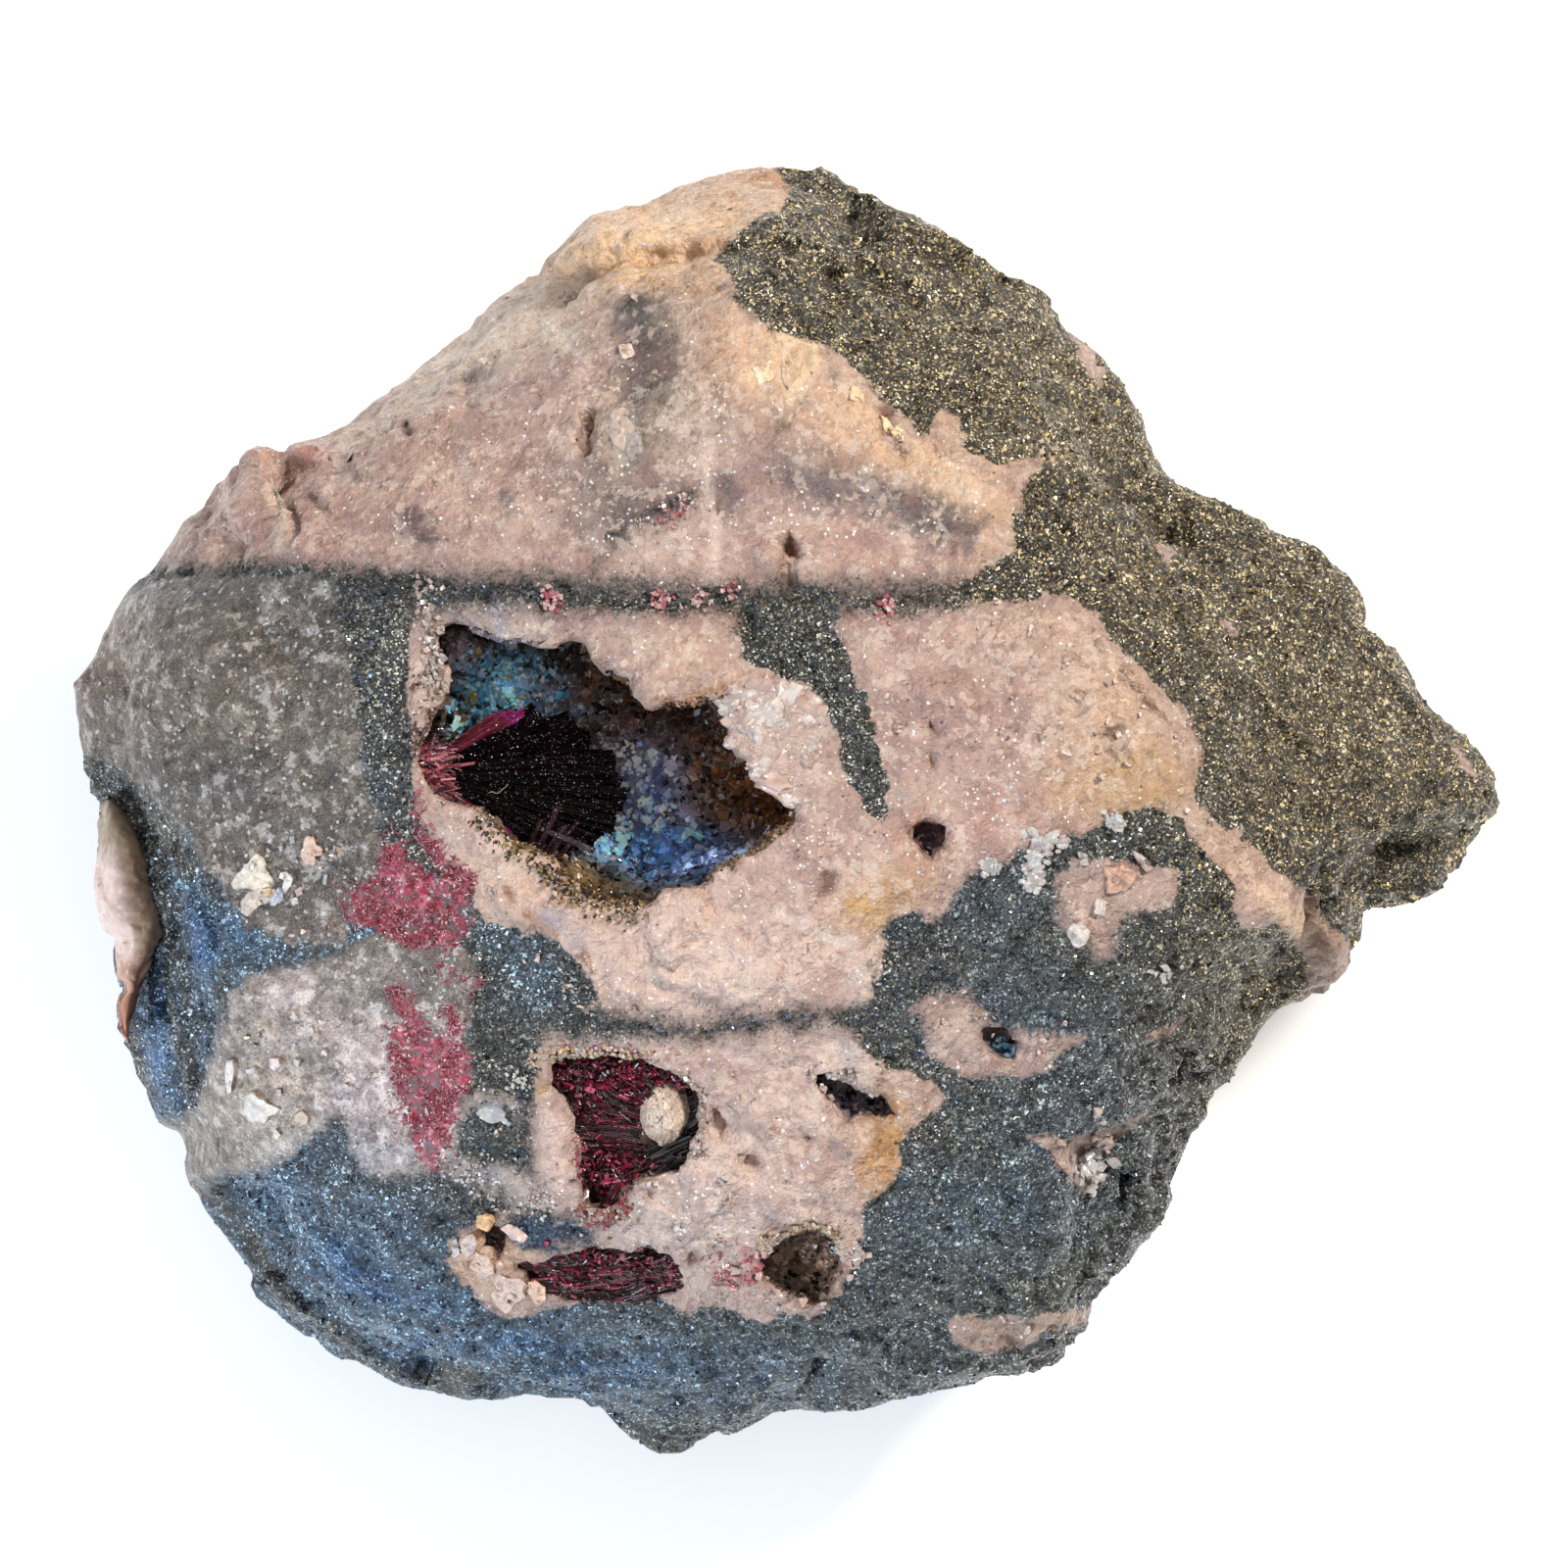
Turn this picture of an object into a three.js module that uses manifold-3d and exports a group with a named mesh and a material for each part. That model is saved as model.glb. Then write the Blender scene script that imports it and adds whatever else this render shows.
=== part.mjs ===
// Erythrite specimen: a loose, hand-sized lump of cobalt ore in dolomite.
// Units: millimetres, +Z up. The lump lies on its flat broken back, display face up.
//
// The lump's plan is drawn on a plan sheet whose unit is 0.055 mm, with u to the
// right and v towards the near edge. Plan lines are lifted through a viewpoint
// EYE mm above the reference height, so an outline stays true at any height.
import * as THREE from 'three';
import { mergeVertices } from 'three/addons/utils/BufferGeometryUtils.js';
import { ConvexGeometry } from 'three/addons/geometries/ConvexGeometry.js';
import Module from 'manifold-3d';

const wasm = await Module();
wasm.setup();

// ---------------------------------------------------------------- driving sizes
const UNIT = 0.055;          // mm per plan unit at the reference height
const CU = 800, CV = 800;    // plan position of the object's axis
const ZREF = 36;             // reference height of the plan sheet
const EYE = 500;             // viewpoint above the reference height
const SHIFT = [-0.225, 1.43];  // puts the origin at the middle of the base
const GRID = 1.0;            // sampling step of the rock
const ROCK_FACES = 4150;     // faces kept on the rock
const GAP = 0.3;             // clearance round each seated crystal
const BREAK = 19, BREAK_AMP = 3.4;             // broad broken planes of the flanks
const CHIP_BIG = 9.5, CHIP_BIG_AMP = 0.75;   // large conchoidal chips
const CHIP_SMALL = 3.6, CHIP_SMALL_AMP = 0.28; // small chips

// outline of the lump on the plan sheet
const OUTLINE = [[785,166],[845,172],[904,215],[971,251],[1004,282],[1047,289],[1069,302],[1092,341],[1124,366],[1147,394],[1155,415],[1165,426],[1167,443],[1193,487],[1222,506],[1253,514],[1273,536],[1288,539],[1307,554],[1326,553],[1344,560],[1371,584],[1389,610],[1396,641],[1422,662],[1455,718],[1508,763],[1526,796],[1533,822],[1500,875],[1471,907],[1436,921],[1386,927],[1390,951],[1372,992],[1343,1018],[1332,1023],[1314,1020],[1283,1048],[1280,1065],[1264,1078],[1255,1102],[1241,1107],[1226,1147],[1212,1161],[1194,1207],[1197,1232],[1183,1256],[1162,1269],[1152,1286],[1116,1325],[1108,1356],[1079,1390],[1041,1405],[1014,1405],[987,1414],[960,1416],[947,1423],[906,1429],[893,1435],[861,1440],[802,1437],[774,1448],[753,1461],[728,1464],[703,1480],[673,1483],[642,1466],[619,1440],[585,1428],[553,1424],[493,1431],[407,1412],[365,1386],[345,1385],[262,1325],[256,1314],[254,1291],[193,1210],[189,1191],[191,1163],[183,1154],[164,1147],[121,1054],[120,1019],[128,1008],[118,996],[117,961],[105,947],[98,926],[103,826],[90,804],[74,696],[89,681],[130,604],[173,560],[190,529],[208,520],[230,481],[249,465],[265,459],[280,465],[295,453],[333,444],[362,425],[460,352],[510,302],[544,281],[600,220],[667,205],[698,188]];
// flat broken back that it lies on
const BASE = [[470,560],[700,500],[940,505],[1130,620],[1215,790],[1180,960],[1040,1110],[860,1170],[640,1180],[450,1080],[365,900],[375,700]];
// [u, v, height] of the display face
const HEIGHTS = [[205,565,26],[300,505,29.5],[420,435,30.5],[560,335,30],[690,235,29],[780,205,28],[300,560,33],[450,505,34.5],[600,420,34.5],[700,330,33.5],[742,285,33],[800,340,34],[900,440,35.3],[1035,520,35.8],[600,550,36],[800,550,36.5],[950,560,36.5],[125,645,25],[200,640,31],[300,640,33.5],[400,640,35.2],[550,615,36.6],[750,615,37],[900,640,37.4],[1050,640,37],[1130,650,36.4],[110,745,26],[200,750,31.5],[300,750,34],[400,750,35.8],[850,760,38],[1000,750,38],[1150,750,37],[1225,785,36],[140,850,26.5],[195,880,30.5],[260,900,32.5],[350,900,34.2],[450,900,35.6],[560,940,36.4],[850,900,38],[1000,900,37.6],[1150,880,36.8],[1250,880,35.6],[1350,950,33.5],[215,1010,30.5],[300,1030,32.8],[400,1030,34.2],[600,1025,36],[800,1010,37],[1000,1010,36.6],[1150,1010,35.5],[1280,985,34],[215,1140,27.5],[300,1130,31],[400,1150,32.8],[550,1150,34.4],[750,1140,35.3],[900,1150,35.2],[1050,1150,34],[290,1270,24],[400,1270,29.5],[550,1290,31.6],[700,1300,32],[850,1300,32],[1000,1270,31.2],[1070,1270,30],[400,1375,22],[500,1390,23.5],[650,1400,23.5],[800,1400,23.5],[950,1390,23.5],[1050,1370,23.5],[680,1455,18],[850,225,26],[950,290,26],[1000,350,29],[940,400,32.3],[1075,335,24.5],[1050,430,31.8],[1135,420,25],[1130,500,31],[1180,515,26.5],[1080,560,34.8],[1150,600,33.3],[1250,560,26.5],[1250,650,31],[1330,600,25.5],[1340,700,27.5],[1400,690,23.5],[1300,780,31.5],[1420,780,26.5],[1490,805,22.5],[1340,880,31],[1390,850,28]];
// ledges: the face steps down inside each outline
const LEDGES = [
  {poly: [[1392,970],[1343,1008],[1300,1006],[1262,1030],[1236,1046],[1205,1080],[1188,1102],[1166,1138],[1092,1168],[1098,1210],[1092,1260],[1098,1330],[1125,1420],[1420,1420],[1560,1010]], drop: 6.0, w: 0.9},
  {poly: [[1540,828],[1470,848],[1430,846],[1395,862],[1362,892],[1362,915],[1380,940],[1560,960]], drop: 8.0, w: 2.2},
  {poly: [[40,690],[86,700],[104,790],[140,822],[170,862],[186,930],[212,1010],[207,1100],[196,1165],[40,1165]], drop: 4.5, w: 1.6},
  {poly: [[1385,1060],[1290,1060],[1238,1096],[1210,1150],[1190,1200],[1165,1262],[1120,1320],[1400,1320]], drop: 4.0, w: 1.2},
  {poly: [[1100,345],[1118,372],[1128,400],[1148,420],[1200,380],[1120,320]], drop: 2.0, w: 0.8},
  {poly: [[170,1200],[216,1215],[262,1290],[300,1340],[350,1375],[330,1420],[150,1300]], drop: 4.0, w: 1.6}
];
// height of the widest contour, sixteen sectors anticlockwise from +X
const WAIST = [17,19,18,14,12,14,17,19,17,13,10,12,15,17,14,14];
// open cavities (vugs) and small pits
const VUGS = [
  {name: "main", poly: [[452,640],[470,637],[485,645],[500,650],[512,657],[530,654],[548,658],[560,662],[575,656],[598,657],[603,672],[615,686],[630,690],[648,697],[642,703],[652,714],[668,720],[680,716],[700,722],[715,718],[735,712],[750,706],[745,716],[748,728],[738,735],[742,745],[738,755],[746,765],[742,772],[752,777],[768,778],[772,790],[780,800],[795,808],[806,818],[815,828],[812,840],[795,848],[790,858],[780,864],[768,872],[755,876],[745,885],[732,888],[730,898],[715,905],[700,908],[682,912],[675,925],[665,930],[650,925],[635,925],[618,922],[600,915],[588,905],[575,893],[565,880],[550,873],[535,870],[520,862],[510,848],[498,838],[485,828],[470,822],[455,815],[442,806],[434,795],[430,780],[428,765],[432,750],[440,738],[448,725],[455,710],[462,700],[458,680],[450,660]], depth: 9.0, top: -1.7, bottom: 2.6, split: 820, soft: 110},
  {name: "middle", poly: [[560,1085],[575,1078],[600,1078],[620,1075],[640,1080],[665,1083],[684,1092],[702,1102],[718,1118],[712,1135],[715,1150],[708,1165],[700,1185],[685,1197],[665,1200],[650,1205],[640,1215],[636,1230],[620,1236],[600,1235],[592,1225],[595,1205],[588,1195],[592,1180],[600,1170],[590,1155],[583,1140],[578,1125],[570,1118],[560,1108]], depth: 5.0, top: -0.7, bottom: 0.4, split: 1190, soft: 50},
  {name: "lower", poly: [[525,1283],[545,1290],[565,1285],[585,1282],[610,1276],[640,1278],[670,1275],[685,1285],[692,1300],[694,1316],[675,1325],[655,1332],[640,1327],[600,1327],[575,1325],[555,1318],[543,1310],[540,1298]], depth: 3.6, top: -0.5, bottom: 0.5, split: 1300, soft: 20},
  {name: "corner", poly: [[770,1290],[785,1275],[800,1262],[812,1255],[830,1252],[848,1258],[855,1270],[858,1285],[850,1300],[850,1315],[840,1330],[825,1338],[815,1325],[800,1320],[790,1315],[775,1300]], depth: 4.0, top: -0.6, bottom: 0.6, split: 1300, soft: 30},
  {name: "right", poly: [[822,1092],[835,1090],[845,1098],[860,1097],[875,1108],[890,1115],[905,1120],[915,1135],[918,1145],[900,1140],[880,1140],[868,1148],[858,1135],[850,1122],[838,1112]], depth: 3.2, top: -0.4, bottom: 0.4, split: 1120, soft: 20},
  {name: "blue", poly: [[1003,1055],[1015,1050],[1030,1060],[1043,1070],[1032,1082],[1014,1077]], depth: 2.4, top: -0.4, bottom: 0.3, split: 1065, soft: 15},
  {name: "round", poly: [[928,852],[938,841],[953,836],[966,845],[963,862],[955,876],[945,880],[939,867]], depth: 3.0, top: -0.5, bottom: 0.2, split: 860, soft: 20},
  {name: "west", poly: [[488,1254],[503,1250],[515,1262],[518,1277],[505,1282],[494,1270]], depth: 2.2, top: -0.3, bottom: 0.2, split: 1266, soft: 10}
];
const PITS = [
  {poly: [[600,416],[608,419],[606,440],[599,464],[589,460],[594,440]], depth: 1.6},
  {poly: [[801,550],[813,559],[807,575],[799,572]], depth: 1.5},
  {poly: [[797,579],[809,587],[806,603],[796,597]], depth: 1.3},
  {poly: [[938,735],[959,727],[956,750],[944,749]], depth: 1.6},
  {poly: [[944,768],[956,764],[953,792],[944,787]], depth: 1.3},
  {poly: [[287,470],[303,462],[330,444],[332,452],[318,478],[312,502],[298,500],[282,484]], depth: 2.6},
  {poly: [[1143,705],[1153,701],[1153,719],[1145,717]], depth: 1.2},
  {poly: [[1016,1373],[1030,1357],[1047,1357],[1041,1371],[1025,1377]], depth: 1.8},
  {poly: [[817,1156],[829,1159],[826,1169],[816,1166]], depth: 1.3},
  {poly: [[762,1182],[773,1179],[776,1193],[765,1197]], depth: 1.2},
  {poly: [[697,228],[708,236],[722,240],[730,228],[733,238],[724,252],[716,258],[708,246]], depth: 1.3},
  {poly: [[724,1130],[736,1124],[748,1144],[746,1163],[728,1166],[720,1150]], depth: 1.5}
];
// shallow places in the vug floors: [u, v, radius, rise in mm]
const FLOOR_RISES = [[470,662,34,7.0],[444,728,26,7.2],[520,705,42,3.4],[555,845,40,3.2],[610,905,40,4.0],[690,880,50,2.6],[790,840,34,3.0],[440,790,24,5.0]];

// ---------------------------------------------------------------- small helpers
const mix = (a, b, t) => a + (b - a) * t;
const clamp = (v, a, b) => Math.min(b, Math.max(a, v));
const smooth = (t) => { t = clamp(t, 0, 1); return t * t * (3 - 2 * t); };
const smax = (a, b, k) => { const h = clamp(0.5 + 0.5 * (a - b) / k, 0, 1); return mix(b, a, h) + k * h * (1 - h); };

function hash(ix, iy, iz, s) {
  let h = (Math.imul(ix, 0x8da6b343) ^ Math.imul(iy, 0xd8163841) ^ Math.imul(iz, 0xcb1ab31f) ^ Math.imul(s, 0x9e3779b1)) >>> 0;
  h ^= h >>> 16; h = Math.imul(h, 0x7feb352d) >>> 0; h ^= h >>> 15; h = Math.imul(h, 0x846ca68b) >>> 0; h ^= h >>> 16;
  return (h >>> 0) / 4294967296;
}
function vnoise(x, y, z, s) {
  const ix = Math.floor(x), iy = Math.floor(y), iz = Math.floor(z);
  const fx = smooth(x - ix), fy = smooth(y - iy), fz = smooth(z - iz);
  const c = (i, j, k) => hash(ix + i, iy + j, iz + k, s);
  return 2 * mix(mix(mix(c(0,0,0), c(1,0,0), fx), mix(c(0,1,0), c(1,1,0), fx), fy),
                 mix(mix(c(0,0,1), c(1,0,1), fx), mix(c(0,1,1), c(1,1,1), fx), fy), fz) - 1;
}
// flat chips: each cell of a jittered lattice carries its own tilted plane
function chips(x, y, z, cell, s) {
  x /= cell; y /= cell; z /= cell;
  const ix = Math.floor(x), iy = Math.floor(y), iz = Math.floor(z);
  let best = 1e9, val = 0;
  for (let i = -1; i <= 1; i++) for (let j = -1; j <= 1; j++) for (let k = -1; k <= 1; k++) {
    const a = ix + i, b = iy + j, c = iz + k;
    const cx = a + hash(a, b, c, s), cy = b + hash(a, b, c, s + 1), cz = c + hash(a, b, c, s + 2);
    const dx = x - cx, dy = y - cy, dz = z - cz, d = dx * dx + dy * dy + dz * dz;
    if (d < best) {
      best = d;
      val = dx * (hash(a, b, c, s + 3) * 2 - 1) + dy * (hash(a, b, c, s + 4) * 2 - 1) + dz * (hash(a, b, c, s + 5) * 2 - 1)
          + 0.55 * (hash(a, b, c, s + 6) - 0.5);
    }
  }
  return val;
}
function polyDist(poly, u, v) {     // signed distance to an outline, plan units
  let d = 1e18, inside = false;
  for (let i = 0, j = poly.length - 1; i < poly.length; j = i++) {
    const [ax, ay] = poly[j], [bx, by] = poly[i];
    const ex = bx - ax, ey = by - ay, wx = u - ax, wy = v - ay;
    const t = clamp((wx * ex + wy * ey) / (ex * ex + ey * ey), 0, 1);
    const qx = wx - ex * t, qy = wy - ey * t;
    d = Math.min(d, qx * qx + qy * qy);
    if ((by > v) !== (ay > v) && u < (ax - bx) * (v - by) / (ay - by) + bx) inside = !inside;
  }
  return (inside ? -1 : 1) * Math.sqrt(d);
}
// plan maps, sampled once and read back bilinearly
const MSTEP = 6, MN = 280, M0 = -40;
function makeMap(fn) {
  const m = new Float64Array(MN * MN);
  for (let j = 0; j < MN; j++) for (let i = 0; i < MN; i++) m[j * MN + i] = fn(M0 + i * MSTEP, M0 + j * MSTEP);
  return (u, v) => {
    const x = clamp((u - M0) / MSTEP, 0, MN - 1.001), y = clamp((v - M0) / MSTEP, 0, MN - 1.001);
    const i = Math.floor(x), j = Math.floor(y), fx = x - i, fy = y - j, o = j * MN + i;
    return mix(mix(m[o], m[o + 1], fx), mix(m[o + MN], m[o + MN + 1], fx), fy);
  };
}
// thin-plate surface through the spot heights
function thinPlate(pts, lam) {
  const n = pts.length, N = n + 3, sc = 1 / 500;
  const P = pts.map(([u, v, h]) => [(u - CU) * sc, (v - CV) * sc, h]);
  const phi = (r2) => r2 < 1e-12 ? 0 : 0.5 * r2 * Math.log(r2);
  const A = Array.from({ length: N }, () => new Float64Array(N + 1));
  for (let i = 0; i < n; i++) {
    for (let j = 0; j < n; j++) A[i][j] = phi((P[i][0] - P[j][0]) ** 2 + (P[i][1] - P[j][1]) ** 2) + (i === j ? lam : 0);
    A[i][n] = 1; A[i][n + 1] = P[i][0]; A[i][n + 2] = P[i][1];
    A[n][i] = 1; A[n + 1][i] = P[i][0]; A[n + 2][i] = P[i][1];
    A[i][N] = P[i][2];
  }
  for (let c = 0; c < N; c++) {
    let p = c; for (let r = c + 1; r < N; r++) if (Math.abs(A[r][c]) > Math.abs(A[p][c])) p = r;
    [A[c], A[p]] = [A[p], A[c]];
    for (let r = 0; r < N; r++) if (r !== c) {
      const f = A[r][c] / A[c][c]; if (f === 0) continue;
      for (let k = c; k <= N; k++) A[r][k] -= f * A[c][k];
    }
  }
  const w = A.map((row, i) => row[N] / row[i]);
  return (u, v) => {
    const x = (u - CU) * sc, y = (v - CV) * sc;
    let s = w[n] + w[n + 1] * x + w[n + 2] * y;
    for (let i = 0; i < n; i++) s += w[i] * phi((x - P[i][0]) ** 2 + (y - P[i][1]) ** 2);
    return s;
  };
}
const plate = thinPlate(HEIGHTS, 0.0008);
const outlineMap = makeMap((u, v) => polyDist(OUTLINE, u, v));
const baseMap = makeMap((u, v) => polyDist(BASE, u, v));
const faceMap = makeMap((u, v) => {
  let h = clamp(plate(u, v), 8, 40);
  for (const L of LEDGES) h -= L.drop * smooth(0.5 - polyDist(L.poly, u, v) * UNIT / L.w);
  return h;
});
const pitMap = makeMap((u, v) => {
  let h = 0;
  for (const P of PITS) h = Math.max(h, P.depth * smooth(0.3 - polyDist(P.poly, u, v) * UNIT / 0.8));
  return h;
});
const vugMaps = VUGS.map((V) => makeMap((u, v) => polyDist(V.poly, u, v)));
const riseMap = makeMap((u, v) => {
  let h = 0;
  for (const [a, b, r, k] of FLOOR_RISES) h = Math.max(h, k * Math.exp(-((u - a) ** 2 + (v - b) ** 2) / (r * r)));
  return h;
});
const plan = (x, y, z) => { const k = UNIT * (1 - (z - ZREF) / EYE); return [CU + x / k, CV - y / k, k]; };
const lift = (u, v, z) => { const k = UNIT * (1 - (z - ZREF) / EYE); return [(u - CU) * k, (CV - v) * k, z]; };
const faceAt = (u, v) => faceMap(u, v);
function waist(u, v) {
  const a = ((Math.atan2(CV + 30 - v, u - CU) / (2 * Math.PI)) * 16 + 16) % 16;
  const i = Math.floor(a), f = smooth(a - i);
  return mix(WAIST[i % 16], WAIST[(i + 1) % 16], f);
}

// ---------------------------------------------------------------- the rock's form
function rockField(x, y, z) {
  const [u, v, k] = plan(x, y, z);
  const F0 = faceMap(u, v);
  const big = chips(x, y, z, CHIP_BIG, 11), small = chips(x, y, z, CHIP_SMALL, 31);
  const top = z - (F0 - pitMap(u, v) + 0.35 * CHIP_BIG_AMP * big + 0.6 * CHIP_SMALL_AMP * small);
  const zs = waist(u, v), dS = outlineMap(u, v), dB = baseMap(u, v);
  let side;
  if (z < zs) { const t = Math.max(0, z / zs), g = 1 - (1 - t) ** 1.7; side = mix(dB, dS, g) * k; }
  else side = dS * k + 0.10 * (z - zs) + 0.008 * (z - zs) ** 2;
  const away = smooth(Math.abs(z - zs) / 7) * smooth(z / 3);
  side += away * (CHIP_BIG_AMP * 1.5 * (big + 0.3) + CHIP_SMALL_AMP * (small + 0.2));
  if (away > 0 && side < 8 && top < 2) side += away * smooth(1 - (z - 20) / 14) * BREAK_AMP * (chips(x, y, z * 1.1, BREAK, 51) + 0.15);
  let f = smax(top, side, 1.3);
  f = Math.max(f, -z);
  for (let i = 0; i < VUGS.length; i++) {
    const d2 = vugMaps[i](u, v) * UNIT;
    if (d2 > 4) continue;
    const V = VUGS[i], deep = F0 - z;
    const s = smooth((v - (V.split - V.soft)) / (2 * V.soft));
    const inset = mix(V.top, V.bottom, s) * clamp(deep / V.depth, 0, 1);
    const depth = V.depth - (i === 0 ? riseMap(u, v) : 0);
    const cav = smax(d2 + inset, deep - depth + 0.3 * small, Math.min(1.2, V.depth * 0.25));
    f = Math.max(f, -cav);
  }
  return f;
}

// ---------------------------------------------------------------- solid meshing
// Marching tetrahedra on a lattice: closed and manifold by construction.
function mesh(field, lo, hi, step) {
  const n = [0, 1, 2].map((a) => Math.ceil((hi[a] - lo[a]) / step) + 1);
  const [nx, ny, nz] = n;
  const val = new Float64Array(nx * ny * nz);
  const id = (i, j, k) => (k * ny + j) * nx + i;
  for (let k = 0; k < nz; k++) for (let j = 0; j < ny; j++) for (let i = 0; i < nx; i++) {
    let f = field(lo[0] + i * step, lo[1] + j * step, lo[2] + k * step);
    if (i === 0 || j === 0 || k === 0 || i === nx - 1 || j === ny - 1 || k === nz - 1) f = Math.max(f, 0.2);
    val[id(i, j, k)] = Math.abs(f) < 1e-4 ? 1e-4 : f;
  }
  const P = [], T = [], seen = new Map();
  const total = nx * ny * nz;
  const pos = (a) => { const i = a % nx, j = Math.floor(a / nx) % ny, k = Math.floor(a / (nx * ny)); return [lo[0] + i * step, lo[1] + j * step, lo[2] + k * step]; };
  const vert = (a, b) => {
    if (a > b) [a, b] = [b, a];
    const key = a * total + b;
    let q = seen.get(key);
    if (q !== undefined) return q;
    const t = clamp(val[a] / (val[a] - val[b]), 0.06, 0.94), p = pos(a), r = pos(b);
    q = P.length / 3; seen.set(key, q);
    P.push(mix(p[0], r[0], t), mix(p[1], r[1], t), mix(p[2], r[2], t));
    return q;
  };
  const tets = [[0,1,3,7],[0,3,2,7],[0,2,6,7],[0,6,4,7],[0,4,5,7],[0,5,1,7]];
  for (let k = 0; k < nz - 1; k++) for (let j = 0; j < ny - 1; j++) for (let i = 0; i < nx - 1; i++) {
    const c = []; let neg = 0;
    for (let m = 0; m < 8; m++) { const a = id(i + (m & 1), j + ((m >> 1) & 1), k + ((m >> 2) & 1)); c.push(a); if (val[a] < 0) neg++; }
    if (neg === 0 || neg === 8) continue;
    for (const t of tets) {
      const q = t.map((m) => c[m]), ins = q.filter((a) => val[a] < 0), out = q.filter((a) => val[a] >= 0);
      if (!ins.length || !out.length) continue;
      let tri;
      if (ins.length === 1) tri = [[vert(ins[0], out[0]), vert(ins[0], out[1]), vert(ins[0], out[2])]];
      else if (out.length === 1) tri = [[vert(out[0], ins[0]), vert(out[0], ins[1]), vert(out[0], ins[2])]];
      else {
        const a = vert(ins[0], out[0]), b = vert(ins[0], out[1]), e = vert(ins[1], out[1]), g = vert(ins[1], out[0]);
        tri = [[a, b, e], [a, e, g]];
      }
      const pi = ins.map(pos), po = out.map(pos);
      const ci = [0, 1, 2].map((x) => pi.reduce((s, p) => s + p[x], 0) / pi.length);
      const co = [0, 1, 2].map((x) => po.reduce((s, p) => s + p[x], 0) / po.length);
      for (const [a, b, e] of tri) {
        const A = P.slice(3 * a, 3 * a + 3), B = P.slice(3 * b, 3 * b + 3), E = P.slice(3 * e, 3 * e + 3);
        const ux = B[0]-A[0], uy = B[1]-A[1], uz = B[2]-A[2], wx = E[0]-A[0], wy = E[1]-A[1], wz = E[2]-A[2];
        const nxx = uy*wz-uz*wy, nyy = uz*wx-ux*wz, nzz = ux*wy-uy*wx;
        if (nxx*(co[0]-ci[0]) + nyy*(co[1]-ci[1]) + nzz*(co[2]-ci[2]) >= 0) T.push(a, b, e); else T.push(a, e, b);
      }
    }
  }
  return largest({ P, T });
}
// keep the largest connected shell
function largest({ P, T }) {
  const n = P.length / 3, par = new Int32Array(n).map((_, i) => i);
  const find = (a) => { while (par[a] !== a) { par[a] = par[par[a]]; a = par[a]; } return a; };
  for (let t = 0; t < T.length; t += 3) { const a = find(T[t]), b = find(T[t + 1]); if (a !== b) par[a] = b; const c = find(T[t + 2]), d = find(T[t]); if (c !== d) par[c] = d; }
  const count = new Map();
  for (let t = 0; t < T.length; t += 3) { const r = find(T[t]); count.set(r, (count.get(r) || 0) + 1); }
  let best = -1, bn = 0; for (const [r, c] of count) if (c > bn) { bn = c; best = r; }
  const map = new Int32Array(n).fill(-1), NP = [], NT = [];
  for (let t = 0; t < T.length; t += 3) if (find(T[t]) === best) for (let q = 0; q < 3; q++) {
    const a = T[t + q]; if (map[a] < 0) { map[a] = NP.length / 3; NP.push(P[3 * a], P[3 * a + 1], P[3 * a + 2]); } NT.push(map[a]);
  }
  return { P: NP, T: NT };
}
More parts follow.
